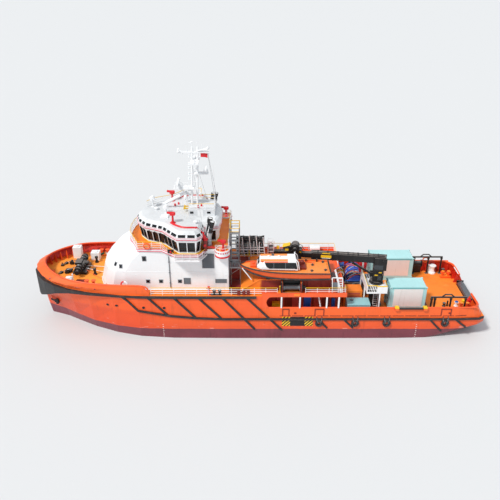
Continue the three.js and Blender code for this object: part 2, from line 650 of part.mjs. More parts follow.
// MAST
const POLES = [
  [-7.69, -7.36],
  [-7.04, -6.73],
];
const MAST_TOP = 22.2;
const poleAt = (i, z) => POLES[i][0] + ((z - 14.8) / 7.4) * (POLES[i][1] - POLES[i][0]);
const mastParts = [];
POLES.forEach((_, i) => {
  const foot = [poleAt(i, MAST_BASE), 0, MAST_BASE - 0.1];
  mastParts.push(bar(foot, [poleAt(i, MAST_TOP), 0, MAST_TOP], 0.12, 10));
});
for (let z = 15.6; z < 22; z += 0.8) mastParts.push(bar([poleAt(0, z), 0, z], [poleAt(1, z), 0, z], 0.04, 6));
mastParts.push(box(-8.9, -5.45, -0.12, 0.12, 21.5, 21.68));
mastParts.push(box(-7.6, -6.6, -1.4, 1.4, 20.5, 20.66));
mastParts.push(box(-7.3, -5.6, -0.35, 0.35, 19, 19.12));
mastParts.push(box(-9.7, -7.3, -0.55, 0.55, 17.2, 17.34));
mastParts.push(bar([-9.2, 0, 17.25], [-7.5, 0, 15.9], 0.07, 6));
mastParts.push(bar([-9.2, 0, 17.3], [-9.2, 0, 17.72], 0.16, 10));
mastParts.push(bar([-5.9, 0, 19.05], [-5.9, 0, 19.4], 0.12, 10));
add("mast", union(mastParts).subtract(box(-9, -5, -1, 1, 10, MAST_BASE + GAP)));
const scanner = (x, z, half) =>
  union([
    turned([[0, 0], [0.16, 0], [0.16, 0.12], [0, 0.12]], 12, x, 0, z + GAP),
    box(x - 0.14, x + 0.14, -half, half, z + 0.1, z + 0.34),
  ]);
add("radar_scanner_lower", scanner(-9.2, 17.72, 1.15));
add("radar_scanner_upper", scanner(-5.9, 19.4, 0.7));

// FIRE MONITORS, each turning on its base
const monitor = (x, y, z) =>
  union([
    turned([[0, 0], [0.24, 0], [0.24, 0.08], [0.13, 0.16], [0.11, 1.02], [0, 1.02]], 12, x, y, z + GAP),
    box(x - 0.28, x + 0.28, y - 0.24, y + 0.24, z + 0.98, z + 1.28),
    bar([x + 0.34, y, z + 1.1], [x - 0.62, y, z + 1.28], 0.14, 12),
  ]);
// Columns: name, x, y, floor.
const MONITORS = [
  ["monitor_roof_port", -9.6, -3.4, ROOF_TOP],
  ["monitor_roof_starboard", -10.4, 3.1, ROOF_TOP],
  ["monitor_aft_port", -3.85, -BALCONY.y, BRIDGE],
  ["monitor_aft_starboard", -3.85, BALCONY.y, BRIDGE],
];
MONITORS.forEach(([name, x, y, z]) => add(name, monitor(x, y, z)));
// EXHAUSTS: two pipes on a low coaming each side, raked aft above the bend
const EXHAUST = { r: 0.27, bend: 12.9, sides: 14 };
const exhaustPipe = (x, y, xTop, top) =>
  union([
    bar([x, y, BRIDGE + 0.1], [x, y, EXHAUST.bend], EXHAUST.r, EXHAUST.sides),
    bar([x, y, EXHAUST.bend], [xTop, y, top], EXHAUST.r, EXHAUST.sides),
    solid(new THREE.SphereGeometry(EXHAUST.r, EXHAUST.sides, 8).translate(x, y, EXHAUST.bend)),
  ]);
const exhaust = union([
  box(-6.1, -5.1, 3.4, 4.57, BRIDGE + GAP, 11.72),
  exhaustPipe(-5.72, 3.74, -5.3, 15),
  exhaustPipe(-5.45, 4.28, -5.05, 14.8),
  bar([-5.72, 3.74, 12.5], [-5.45, 4.28, 12.5], 0.1, 8),
]);
add("exhaust_starboard", exhaust);
add("exhaust_port", port(exhaust));

// STAIR TOWER aft of the house
const STAIR = { x0: -3.15, x1: -2.05, y: -1.05, half: 1.12, post: 0.06, top: 13, steps: 7 };
const LANDINGS = [8.6, 11.3];
const tower = [];
for (const x of [STAIR.x0, STAIR.x1])
  for (const y of [STAIR.y - STAIR.half, STAIR.y + STAIR.half])
    tower.push(bar([x, y, FOREDECK + GAP], [x, y, STAIR.top], STAIR.post, 6));
// A landing is a frame around the stair's well.
const framed = (edge, z0, z1) =>
  box(STAIR.x0 - edge, STAIR.x1 + edge, STAIR.y - STAIR.half - edge, STAIR.y + STAIR.half + edge, z0, z1);
for (const z of LANDINGS) {
  const well = box(STAIR.x0 + 0.1, STAIR.x1 - 0.1, STAIR.y - 0.8, STAIR.y + 0.8, z - 1, z + 1);
  tower.push(framed(0.05, z, z + 0.08).subtract(well));
}
// Columns: foot, head, way that it climbs.
const FLIGHTS = [
  [FOREDECK + 0.2, LANDINGS[0], -1],
  [LANDINGS[0] + 0.15, LANDINGS[1], 1],
];
FLIGHTS.forEach(([z0, z1, way]) => {
  const rise = z1 - z0;
  const run = 2 * STAIR.half - 0.4;
  for (const x of [STAIR.x0 + 0.13, STAIR.x1 - 0.13]) {
    const stringer = new THREE.BoxGeometry(0.06, Math.hypot(rise, run), 0.16)
      .rotateX(Math.atan2(rise, run * way))
      .translate(x, STAIR.y, (z0 + z1) / 2);
    tower.push(solid(stringer));
  }
  for (let k = 1; k < STAIR.steps; k++) {
    const t = k / STAIR.steps;
    const y = STAIR.y + (t - 0.5) * run * way;
    const z = z0 + rise * t;
    tower.push(box(STAIR.x0 + 0.12, STAIR.x1 - 0.12, y - 0.1, y + 0.1, z - 0.02, z + 0.02));
  }
});
add("stair_tower", union(tower));

// BOTTLE RACK
const RACK = { x0: -2.6, x1: 0.5, y0: 4, y1: 5.4, z: FOREDECK, bays: 4 };
const rack = [box(RACK.x0, RACK.x1, RACK.y0, RACK.y1, RACK.z + GAP, RACK.z + 0.1)];
const bay = (RACK.x1 - RACK.x0) / RACK.bays;
for (let i = 0; i <= RACK.bays; i++) {
  const x = Math.min(RACK.x1 - 0.04, Math.max(RACK.x0 + 0.04, RACK.x0 + i * bay));
  for (const y of [RACK.y0 + 0.04, RACK.y1 - 0.04])
    rack.push(box(x - 0.04, x + 0.04, y - 0.04, y + 0.04, RACK.z + 0.05, RACK.z + 2));
  rack.push(box(x - 0.04, x + 0.04, RACK.y0, RACK.y1, RACK.z + 1.93, RACK.z + 2));
}
for (const y of [RACK.y0, RACK.y1 - 0.08])
  rack.push(box(RACK.x0, RACK.x1, y, y + 0.08, RACK.z + 0.95, RACK.z + 1.03));
add("bottle_rack", union(rack));
const inRack = (x0, x1, side, z0, z1) =>
  box(x0, x1, RACK.y0 + side, RACK.y1 - side, RACK.z + z0, RACK.z + z1);
const bottles = [inRack(RACK.x0 + 0.12, RACK.x1 - 0.12, 0.2, 0.1 + GAP, 0.2)];
for (let i = 0; i < RACK.bays; i++)
  bottles.push(inRack(RACK.x0 + i * bay + 0.1, RACK.x0 + (i + 1) * bay - 0.1, 0.12, 0.15, 1.8));
add("gas_bottles", union(bottles));

// WORKBOAT
// Columns: x, keel z, chine half-breadth and z, gunwale half-breadth and z.
const BOAT = [
  [-1.95, 9.0, 0.04, 9.05, 0.1, 9.36],
  [-1.3, 8.35, 0.4, 8.78, 0.68, 9.32],
  [0, 7.92, 0.95, 8.42, 1.22, 9.22],
  [2, 7.74, 1.35, 8.16, 1.6, 9.1],
  [5, 7.7, 1.5, 8.06, 1.72, 9.02],
  [8.55, 7.76, 1.5, 8.1, 1.68, 8.96],
];
const boat = loft(
  BOAT.map(([x, keel, cy, cz, gy, gz]) => [
    [x, BOAT_Y, keel],
    [x, BOAT_Y - cy, cz],
    [x, BOAT_Y - gy, gz],
    [x, BOAT_Y + gy, gz],
    [x, BOAT_Y + cy, cz],
  ]),
);
add("workboat_hull", boat);
const cabinPlan = (z, x0, x1, half) => [
  [x0, BOAT_Y - half * 0.7, z],
  [x0 + 0.5, BOAT_Y - half, z],
  [x1, BOAT_Y - half, z],
  [x1, BOAT_Y + half, z],
  [x0 + 0.5, BOAT_Y + half, z],
  [x0, BOAT_Y + half * 0.7, z],
];
const cabin = loft([
  cabinPlan(8.98, 0, 4.8, 1.1),
  cabinPlan(9.45, 0.05, 4.75, 1.1),
  cabinPlan(10.15, 0.4, 4.55, 0.92),
]);
add("workboat_cabin", cabin.subtract(boat.translate([0, 0, GAP])));
const casing = profile([[-1.9, FOREDECK + GAP], [0.4, 7.5], [9, 7.5], [9, FOREDECK + GAP]], -4.7, 1.0);
const cradle = (x) => box(x, x + 0.3, BOAT_Y - 0.6, BOAT_Y + 1.3, 7.4, 8.3);

// LAUNCH WINCH beside the casing
const WINCH = { x0: 2.9, x1: 5.3, y: -5.25, z: 6.8, pin: 0.1 };
const winchLine = (inset, r, sides) =>
  bar([WINCH.x0 + inset, WINCH.y, WINCH.z], [WINCH.x1 - inset, WINCH.y, WINCH.z], r, sides);
const winchFrame = union([
  box(WINCH.x0, WINCH.x1, -5.75, -4.65, FOREDECK + GAP, 6.2),
  box(WINCH.x0, WINCH.x0 + 0.16, -5.7, -4.65, 6.1, 7.6),
  box(WINCH.x1 - 0.16, WINCH.x1, -5.7, -4.65, 6.1, 7.6),
]).subtract(winchLine(-1, boreOf(WINCH.pin), ROUND));
add(
  "launch_winch_drum",
  union([
    winchLine(0.02, WINCH.pin, ROUND),
    winchLine(0.3, 0.26, 16),
    bar([WINCH.x0 + 0.26, WINCH.y, WINCH.z], [WINCH.x0 + 0.34, WINCH.y, WINCH.z], 0.42, 18),
    bar([WINCH.x1 - 0.34, WINCH.y, WINCH.z], [WINCH.x1 - 0.26, WINCH.y, WINCH.z], 0.42, 18),
  ]),
);

const boatSeat = boat.translate([0, 0, -GAP]);
add("boat_casing", union([casing, cradle(1.2), cradle(6.6), winchFrame]).subtract(boatSeat));

// CRANE, drawn with its boom along X and then turned
const atCrane = (body) => body.rotate([0, 0, CRANE.turn]).translate([CRANE.x, CRANE.y, 0]);
const SLEW_Z = 6.1;
const PEDESTAL = [
  [0, 0],
  [0.95, 0],
  [0.95, 0.12],
  [0.72, 0.12],
  [0.72, 3.2],
  [0.85, 3.2],
  [0.85, 3.3],
  [0, 3.3],
];
add("crane_pedestal", turned(PEDESTAL, 20, CRANE.x, CRANE.y, DECK + GAP));
const PLATFORM_POSTS = [[13.12, -3.45], [14.65, -5.02], [13.12, -0.85], [15.42, -0.85]];
add(
  "crane_platform",
  union([
    box(13.05, 15.5, -5.1, -0.75, 5.82, 5.92),
    box(13.05, 13.13, -5.1, -0.75, 5.82, 6.75),
    ...PLATFORM_POSTS.map(([x, y]) => box(x - 0.07, x + 0.07, y - 0.07, y + 0.07, DECK + GAP, 5.9)),
  ]).subtract(bar([CRANE.x, CRANE.y, 5], [CRANE.x, CRANE.y, 7], 0.72 + PLAY, 20)),
);
const PIVOT = { x: 0.6, z: 9.15, r: 0.11 };
const column = union([
  bar([0, 0, SLEW_Z + 2 * GAP], [0, 0, SLEW_Z + 0.2], 0.8, 20),
  box(-0.5, 0.6, -0.6, 0.6, SLEW_Z + 0.15, 8.2),
  box(-0.45, 1.0, -0.62, -0.5, 7.9, 9.5),
  box(-0.45, 1.0, 0.5, 0.62, 7.9, 9.5),
  box(-0.85, -0.45, -0.26, -0.18, 6.8, 7.4),
  box(-0.85, -0.45, 0.18, 0.26, 6.8, 7.4),
]).subtract(bar([PIVOT.x, -1, PIVOT.z], [PIVOT.x, 1, PIVOT.z], boreOf(PIVOT.r), ROUND));
const RAM = { bx: -0.7, bz: 7.1, tx: -3.4, tz: 8.62, pin: 0.075, rod: 0.075 };
const ramPin = (half, r) => bar([RAM.bx, -half, RAM.bz], [RAM.bx, half, RAM.bz], r, ROUND);
add("crane_column", atCrane(column.subtract(ramPin(0.3, boreOf(RAM.pin)))));
const RUNNER_Z = 8.85; // floor of the boom that the extension slides on
const boom = box(-8, 0.9, -0.42, 0.42, 8.76, 9.58)
  .subtract(box(-9, -0.1, -0.33, 0.33, RUNNER_Z, 9.49))
  .add(bar([PIVOT.x, -0.66, PIVOT.z], [PIVOT.x, 0.66, PIVOT.z], PIVOT.r, ROUND))
  .add(box(RAM.tx - 0.14, RAM.tx + 0.14, -0.22, -0.15, 8.46, 8.8))
  .add(box(RAM.tx - 0.14, RAM.tx + 0.14, 0.15, 0.22, 8.46, 8.8));
add("crane_boom", atCrane(boom));
// The extension carries the hoist drum and ends in cheeks with the hook between them.
const TIP_X = -12.1;
const HOIST = { x: -10, z: 10.15, r: 0.5 };
const cheek = (y) => box(TIP_X - 0.5, TIP_X + 0.6, y, y + 0.12, 8.78, 9.4);
const extension = union([
  box(-9.5, -2.4, -0.3, 0.3, RUNNER_Z + GAP, 9.46),
  box(-10.8, -9.2, -0.46, 0.46, 8.7, 9.9),
  box(-11.7, -10.7, -0.34, 0.34, 8.9, 9.5),
  bar([HOIST.x, -0.5, HOIST.z], [HOIST.x, 0.5, HOIST.z], HOIST.r, 18),
  cheek(-0.24),
  cheek(0.12),
  bar([TIP_X, -0.2, 9.1], [TIP_X, 0.2, 9.1], 0.22, 14),
]);
const hook = union([
  bar([TIP_X - 0.2, 0, 9.1], [TIP_X - 0.2, 0, 8.7], 0.05, 8),
  box(TIP_X - 0.32, TIP_X - 0.08, -0.1, 0.1, 8.55, 8.75),
]);
add("crane_extension", atCrane(extension.add(hook)));
const ramAt = (t) => [RAM.bx + (RAM.tx - RAM.bx) * t, 0, RAM.bz + (RAM.tz - RAM.bz) * t];
const barrel = union([
  bar(ramAt(0.04), ramAt(0.86), 0.14, 14),
  bar([RAM.bx, -0.14, RAM.bz], [RAM.bx, 0.14, RAM.bz], 0.15, 14),
]).subtract(bar(ramAt(0.08), ramAt(0.9), boreOf(RAM.rod), ROUND));
add("luff_barrel", atCrane(barrel.add(ramPin(0.28, RAM.pin))));
add(
  "luff_rod",
  atCrane(
    union([
      bar(ramAt(0.1), ramAt(0.97), RAM.rod, ROUND),
      bar([RAM.tx, -0.13, RAM.tz], [RAM.tx, 0.13, RAM.tz], 0.12, 12),
    ]).subtract(bar([RAM.tx, -1, RAM.tz], [RAM.tx, 1, RAM.tz], 0.06, 12)),
  ),
);

// CONTAINERS AND DECK LOADS
// Columns: name, x0, x1, y0, y1, top.
const CONTAINERS = [
  ["container_near", 16.12, 20.35, -4.26, -1.98, 6.2],
  ["container_far", 15.2, 20.55, 3.14, 5.56, 6.1],
];
CONTAINERS.forEach(([name, x0, x1, y0, y1, top]) => {
  const beams = [
    box(x0, x1, y0, y1, 3.3, top),
    box(x0 - 0.1, x1 + 0.1, y0, y0 + 0.3, DECK + GAP, 3.35),
    box(x0 - 0.1, x1 + 0.1, y1 - 0.3, y1, DECK + GAP, 3.35),
  ];
  for (let x = x0; x < x1; x += 1.35) beams.push(box(x, x + 0.25, y0 + 0.1, y1 - 0.1, DECK + 0.1, 3.25));
  add(name, union(beams));
});
add("deck_tank", box(10.9, 13.6, -5.3, -3.7, DECK + GAP, 4.4));
add("machinery_block", box(10.75, 12.95, -3.15, -1.6, DECK + GAP, 5));
const REEL_PIN = 0.14;
add(
  "umbilical_skid",
  union([
    box(10.9, 14.4, -0.6, 3.6, DECK + GAP, 3.1),
    box(10.9, 14.4, -0.6, -0.45, 3, 4.7),
    box(10.9, 14.4, 3.45, 3.6, 3, 4.7),
  ]).subtract(bar([12.65, -2, 4.3], [12.65, 5, 4.3], boreOf(REEL_PIN), ROUND)),
);
add(
  "umbilical_reel",
  union([
    bar([12.65, -0.58, 4.3], [12.65, 3.58, 4.3], REEL_PIN, ROUND),
    bar([12.65, -0.35, 4.3], [12.65, 3.35, 4.3], 0.85, 24),
    bar([12.65, -0.4, 4.3], [12.65, -0.3, 4.3], 1.15, 24),
    bar([12.65, 1.45, 4.3], [12.65, 1.55, 4.3], 1.15, 24),
    bar([12.65, 3.3, 4.3], [12.65, 3.4, 4.3], 1.15, 24),
  ]),
);

// STERN GEAR
const RAIL = { y: 5.05, z: 5.3, r: 0.11, x0: 20.78, x1: 25.06, posts: [20.89, 21.3, 23.2, 24.95] };
const HOOP = { x: [22.05, 22.45, 23.15, 23.6], z: 5.68, r: 0.08 };
const alongRail = ([xa, za], [xb, zb], r) => bar([xa, RAIL.y, za], [xb, RAIL.y, zb], r, 8);
const cargoRail = union([
  bar([RAIL.x0, RAIL.y, RAIL.z], [RAIL.x1, RAIL.y, RAIL.z], RAIL.r, 10),
  ...RAIL.posts.map((x) => bar([x, RAIL.y, DECK + GAP], [x, RAIL.y, RAIL.z], RAIL.r, 10)),
  alongRail([HOOP.x[0], RAIL.z], [HOOP.x[1], HOOP.z], HOOP.r),
  alongRail([HOOP.x[1], HOOP.z], [HOOP.x[2], HOOP.z], HOOP.r),
  alongRail([HOOP.x[2], HOOP.z], [HOOP.x[3], RAIL.z], HOOP.r),
]);
add("cargo_rail_starboard", cargoRail);
add("cargo_rail_port", port(cargoRail));
const ROLLER = { x: 26.95, z: 2.7, r: 0.5, half: 2.2 };
add(
  "stern_roller",
  bar([ROLLER.x, -ROLLER.half, ROLLER.z], [ROLLER.x, ROLLER.half, ROLLER.z], ROLLER.r, 24).add(
    bar([ROLLER.x, GAP - RECESS_Y, ROLLER.z], [ROLLER.x, RECESS_Y - GAP, ROLLER.z], 0.12, 12),
  ),
);
// Roller on the port bulwark, between its end blocks
add("side_roller", rollerLine(-0.05, SIDE_ROLLER.r, 14).add(rollerLine(0.1, SIDE_ROLLER.pin, ROUND)));
const CAPSTAN = { x: 23.95, y: 5.15 };
const CAPSTAN_PROFILE = [
  [0, 0],
  [0.5, 0],
  [0.5, 0.15],
  [0.36, 0.3],
  [0.3, 0.6],
  [0.34, 0.95],
  [0.46, 1.05],
  [0.46, 1.15],
  [0, 1.15],
];
add("capstan", turned(CAPSTAN_PROFILE, 20, CAPSTAN.x, CAPSTAN.y, DECK + GAP));

// FOREDECK GEAR
const windlass = union([
  box(-22.7, -21, -1.3, 1.3, 6, 6.55),
  box(-22.3, -21.4, -0.5, 0.5, 6.4, 7.35),
  bar([-21.9, -1.75, 7], [-21.9, 1.75, 7], 0.16, 12),
  ...[-1.65, -1.05, 1.05, 1.65].map((y) => bar([-21.9, y - 0.14, 7], [-21.9, y + 0.14, 7], 0.42, 16)),
]).subtract(raised);
add("windlass", windlass);
// Anchors in their pockets
const anchor = union([
  bar([-25.95, 1.2, 2.62], [-25.3, 1.62, 2.62], 0.12, 10),
  box(-25.2, POCKET_AFT - GAP, 1.2, 1.9, 2.3, 2.94).add(box(-25.4, -25.1, 1.5, 1.75, 2.45, 2.8)),
]);
add("anchor_starboard", anchor.subtract(hull));
add("anchor_port", port(anchor).subtract(hull));

// PROPELLERS AND RUDDERS
const HUB_X = SHAFT.end + PLAY;
const blade = (() => {
  const shape = new THREE.Shape();
  shape.moveTo(-0.14, 0.2);
  shape.bezierCurveTo(-0.5, 0.6, -0.5, 1.1, -0.1, 1.18);
  shape.bezierCurveTo(0.35, 1.2, 0.5, 0.7, 0.16, 0.2);
  const g = new THREE.ExtrudeGeometry(shape, { depth: 0.07, bevelEnabled: false, curveSegments: 6 });
  return solid(g.translate(0, 0, -0.035).rotateY(Math.PI / 2 - 0.5).rotateX(Math.PI / 2));
})();
const propeller = union([
  bar([HUB_X, 0, 0], [HUB_X + 0.6, 0, 0], 0.3, 18),
  bar([HUB_X + 0.55, 0, 0], [HUB_X + 0.8, 0, 0], 0.18, 14),
  bar([HUB_X - 0.7, 0, 0], [HUB_X + 0.1, 0, 0], SHAFT.r, ROUND),
  ...[0, 1, 2, 3].map((k) => blade.rotate([90 * k, 0, 0]).translate([HUB_X + 0.3, 0, 0])),
]);
const rudder = union([
  profile(
    [
      [-0.55, -3.7],
      [1.25, -3.7],
      [1.35, -1.05],
      [-0.45, -1.05],
    ],
    -0.09,
    0.09,
  ),
  bar([0, 0, -3], [0, 0, 0.7], RUDDER.stock, ROUND),
]);
for (const [side, s] of [["port", -1], ["starboard", 1]]) {
  add("propeller_" + side, propeller.translate([0, s * SHAFT.y, SHAFT.z]));
  add("rudder_" + side, rudder.translate([RUDDER.x, s * RUDDER.y, 0]));
}

ship.scale.setScalar(MM_PER_METRE);
export default ship;
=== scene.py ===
"""Looks of a dive support vessel, a 1:2 scale model afloat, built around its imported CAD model."""
import json
from math import atan2, copysign, cos, hypot, pi, radians, sin

import bmesh
import bpy
from mathutils import Matrix, Quaternion, Vector
from mathutils.bvhtree import BVHTree

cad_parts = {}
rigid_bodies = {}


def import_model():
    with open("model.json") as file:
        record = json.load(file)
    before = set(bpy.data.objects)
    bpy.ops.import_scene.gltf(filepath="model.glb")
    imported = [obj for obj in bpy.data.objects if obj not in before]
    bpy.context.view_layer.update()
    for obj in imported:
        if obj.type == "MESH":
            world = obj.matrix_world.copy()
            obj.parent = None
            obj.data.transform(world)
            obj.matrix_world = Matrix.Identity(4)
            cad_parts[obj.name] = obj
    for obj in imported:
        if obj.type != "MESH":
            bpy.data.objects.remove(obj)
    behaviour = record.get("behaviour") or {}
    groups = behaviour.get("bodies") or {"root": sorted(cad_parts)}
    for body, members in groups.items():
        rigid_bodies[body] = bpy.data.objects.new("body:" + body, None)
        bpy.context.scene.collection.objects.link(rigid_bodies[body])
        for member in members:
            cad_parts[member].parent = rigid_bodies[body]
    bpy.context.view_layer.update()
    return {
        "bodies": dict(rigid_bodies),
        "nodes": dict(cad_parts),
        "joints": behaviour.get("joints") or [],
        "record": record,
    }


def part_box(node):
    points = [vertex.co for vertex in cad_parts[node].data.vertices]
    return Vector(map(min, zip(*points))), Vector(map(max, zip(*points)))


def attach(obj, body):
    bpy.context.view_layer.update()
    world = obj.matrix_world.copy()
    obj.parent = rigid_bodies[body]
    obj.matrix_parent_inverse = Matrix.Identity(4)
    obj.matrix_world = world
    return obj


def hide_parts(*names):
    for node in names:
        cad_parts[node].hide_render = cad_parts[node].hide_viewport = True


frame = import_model()

# Everything is drawn in full-size metres, X aft, Y to starboard and Z up from the waterline.
SCALE = 0.5


def span(node):
    """Lowest and highest corner of a CAD node, in full-size metres."""
    low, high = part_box(node)
    return low / SCALE, high / SCALE


SIDES = ((1, "starboard"), (-1, "port"))

# Driving heights and places, read from the frame.
DECK = round(span("main_deckhouse")[0].z, 2)
FOREDECK = round(span("boat_casing")[0].z, 2)
BRIDGE = round(span("wheelhouse")[0].z, 2)
ROOF = round(span("monitor_roof_port")[0].z, 2)
HOUSE_SIDE = round(span("superstructure")[1].y, 2)
HOUSE_AFT = round(span("superstructure")[1].x, 2)
UPPER_END = round(span("upper_deck_aft")[1].x, 2)
HULL_SIDE = round(span("hull")[1].y, 2)
BOOT_TOP = 1.36  # where the orange of the side meets the dark red below
SILL, HEAD = 11.75, 13.02  # wheelhouse windows
WALL_LEAN = 0.28  # how far the wheelhouse wall leans out above the sill
MAST_HOUSE = round(span("wheelhouse_roof")[1].z, 2)
PANE_PITCH, PANE_GAP = 0.95, 0.16  # wheelhouse windows along the wall
BOAT_Y = round((span("workboat_cabin")[0] + span("workboat_cabin")[1]).y / 2, 2)


# SHAPES

def turns(count):
    """Even angles round a circle."""
    return [2 * pi * k / count for k in range(count)]


LEAST = 1e-4  # radius at the tip of a turned shape, so that its faces stay open


class Shape:
    """The faces of one piece, each with the number of its finish."""

    def __init__(self):
        self.points, self.faces, self.finishes = [], [], []
        self.coat, self.frame = 0, Matrix()

    def paint(self, number):
        """Gives the finish of what is drawn next."""
        self.coat = number
        return self

    def at(self, frame=Matrix()):
        """Gives the frame that the next faces are drawn in, or the ship's own."""
        self.frame = frame
        return self

    def add(self, points, faces):
        first = len(self.points)
        self.points += [self.frame @ Vector(p) for p in points]
        self.faces += [[first + i for i in face] for face in faces]
        self.finishes += [self.coat] * len(faces)
        return self

    def loft(self, rings, closed=False):
        """Rings with the same number of points, joined in turn, with flat ends unless they close."""
        n = len(rings[0])
        last = len(rings) - 1
        faces = []
        for i in range(last + closed):
            a, b = i * n, (i + 1) % len(rings) * n
            faces += [[a + j, a + (j + 1) % n, b + (j + 1) % n, b + j] for j in range(n)]
        if not closed:
            faces += [list(range(n))[::-1], [last * n + j for j in range(n)]]
        return self.add([p for ring in rings for p in ring], faces)

    def prism(self, outline, low, high, axis="z"):
        """An outline in the other two coordinates, drawn out along an axis."""
        spot = {
            "x": lambda a, b, d: (d, a, b),
            "y": lambda a, b, d: (a, d, b),
            "z": lambda a, b, d: (a, b, d),
        }[axis]
        return self.loft([[spot(a, b, d) for a, b in outline] for d in (low, high)])

    def box(self, x0, x1, y0, y1, z0, z1):
        return self.prism([(x0, y0), (x1, y0), (x1, y1), (x0, y1)], z0, z1)

    def pad(self, x, y, half_x, half_y, z0, z1):
        """A box round an upright axis."""
        return self.box(x - half_x, x + half_x, y - half_y, y + half_y, z0, z1)

    def twin(self, x0, x1, y0, y1, z0, z1):
        """Two equal boxes, one on each side of the X axis."""
        return self.box(x0, x1, -y1, -y0, z0, z1).box(x0, x1, y0, y1, z0, z1)

    def block(self, centre, size):
        """A box round a centre."""
        x, y, z = centre
        return self.pad(x, y, size[0] / 2, size[1] / 2, z - size[2] / 2, z + size[2] / 2)

    def pipe(self, path, r, sides=8, end=None, closed=False):
        """A round section swept along a path, tapering to the end radius where one is given."""
        path = [Vector(p) for p in path]
        n = len(path)
        rings, side = [], None
        for i, point in enumerate(path):
            ahead = path[(i + 1) % n] if closed else path[min(i + 1, n - 1)]
            behind = path[i - 1] if closed or i else path[0]
            along = (ahead - behind).normalized()
            if side is None:
                side = along.orthogonal().normalized()
            side = (side - along * side.dot(along)).normalized()
            up = along.cross(side)
            radius = r if end is None else r + (end - r) * i / (n - 1)
            rings.append([point + radius * (side * cos(t) + up * sin(t)) for t in turns(sides)])
        return self.loft(rings, closed)

    def bar(self, start, end, r, sides=8, end_r=None):
        return self.pipe([start, end], r, sides, end_r)

    def turned(self, profile, centre, sides=24, axis=(0, 0, 1)):
        """A profile of radius and height, turned about an axis through the centre."""
        lie = Vector((0, 0, 1)).rotation_difference(Vector(axis))
        spot = lambda r, h, t: Vector(centre) + lie @ Vector((r * cos(t), r * sin(t), h))
        return self.loft([[spot(max(r, LEAST), h, t) for t in turns(sides)] for r, h in profile])


def finish_mesh(mesh):
    """Closes doubles, turns all faces outward and shades curved faces smooth."""
    made = bmesh.new()
    made.from_mesh(mesh)
    bmesh.ops.remove_doubles(made, verts=made.verts, dist=2e-5)
    bmesh.ops.dissolve_degenerate(made, edges=made.edges, dist=1e-6)
    bmesh.ops.recalc_face_normals(made, faces=made.faces)
    made.to_mesh(mesh)
    made.free()
    mesh.polygons.foreach_set("use_smooth", [True] * len(mesh.polygons))
    mesh.set_sharp_from_angle(angle=radians(35))


def link(name, mesh):
    """An object for a mesh, in the scene."""
    made = bpy.data.objects.new(name, mesh)
    bpy.context.scene.collection.objects.link(made)
    return made


def mesh_of(shape, finishes, name):
    mesh = bpy.data.meshes.new(name)
    mesh.from_pydata([p * SCALE for p in shape.points], [], shape.faces)
    for finish in finishes:
        mesh.materials.append(finish)
    mesh.polygons.foreach_set("material_index", shape.finishes)
    finish_mesh(mesh)
    return mesh


def piece(name, shape, *finishes, body="ship", bevel=0.0):
    """Makes one piece of a shape and lets it ride on a body. The bevel is in full-size metres."""
    made = link(name, mesh_of(shape, finishes, name))
    if bevel:
        edge = made.modifiers.new("edge", "BEVEL")
        edge.width, edge.segments = bevel * SCALE, 2
        edge.limit_method, edge.angle_limit = "ANGLE", radians(40)
    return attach(made, body)


def smooth(points, steps=6):
    """A smooth path through the points."""
    path = [Vector(p) for p in points]
    ends = [path[0] * 2 - path[1], *path, path[-1] * 2 - path[-2]]
    out = []
    for a, b, c, d in zip(ends, ends[1:], ends[2:], ends[3:]):
        for k in range(steps):
            t = k / steps
            bend = (2 * a - 5 * b + 4 * c - d) * t**2 + (3 * b - a - 3 * c + d) * t**3
            out.append(0.5 * (2 * b + (c - a) * t + bend))
    return out + [path[-1]]


def ring_points(centre, radius, count=24, axis="y"):
    """Points round a circle about an axis."""
    spots = []
    for t in turns(count):
        a, b = radius * cos(t), radius * sin(t)
        spots.append(Vector(centre) + Vector({"x": (0, a, b), "y": (a, 0, b), "z": (a, b, 0)}[axis]))
    return spots


def outline(node, z):
    """The longest loop of a CAD node cut by a level plane, as full-size points from its foremost corner."""
    cut = bmesh.new()
    cut.from_mesh(frame["nodes"][node].data)
    bmesh.ops.remove_doubles(cut, verts=cut.verts, dist=1e-5)
    every, level = cut.verts[:] + cut.edges[:] + cut.faces[:], (0, 0, z * SCALE)
    made = bmesh.ops.bisect_plane(cut, geom=every, plane_co=level, plane_no=(0, 0, 1))["geom_cut"]
    near = {}
    for edge in (g for g in made if isinstance(g, bmesh.types.BMEdge)):
        a, b = edge.verts
        near.setdefault(a, []).append(b)
        near.setdefault(b, []).append(a)
    loops = []
    while near:
        loop = [next(iter(near))]
        while True:
            ahead = [v for v in near.pop(loop[-1], []) if v in near and v not in loop]
            if not ahead:
                break
            loop.append(ahead[0])
        loops.append([v.co.to_2d() / SCALE for v in loop])
    cut.free()
    size = lambda loop: sum((a - b).length for a, b in zip(loop, loop[1:]))
    loop = max(loops, key=size)
    sharp = []
    for a, b, c in zip(loop[-1:] + loop[:-1], loop, loop[1:] + loop[:1]):
        if (b - a).length > 1e-4 and abs((b - a).normalized().cross((c - b).normalized())) > 0.01:
            sharp.append(b)
    area = sum(a.cross(b) for a, b in zip(sharp, sharp[1:] + sharp[:1]))
    if area < 0:
        sharp.reverse()
    first = min(range(len(sharp)), key=lambda i: sharp[i].x)
    return sharp[first:] + sharp[:first]


def surface(*nodes):
    """A finder of where a ray first meets one of the CAD nodes: the point and the normal there."""
    points, faces = [], []
    for node in nodes:
        mesh = frame["nodes"][node].data
        faces += [[len(points) + i for i in face.vertices] for face in mesh.polygons]
        points += [v.co for v in mesh.vertices]
    tree = BVHTree.FromPolygons(points, faces)

    def find(start, along):
        point, normal, _, _ = tree.ray_cast(Vector(start) * SCALE, Vector(along).normalized())
        return point / SCALE, normal

    return find


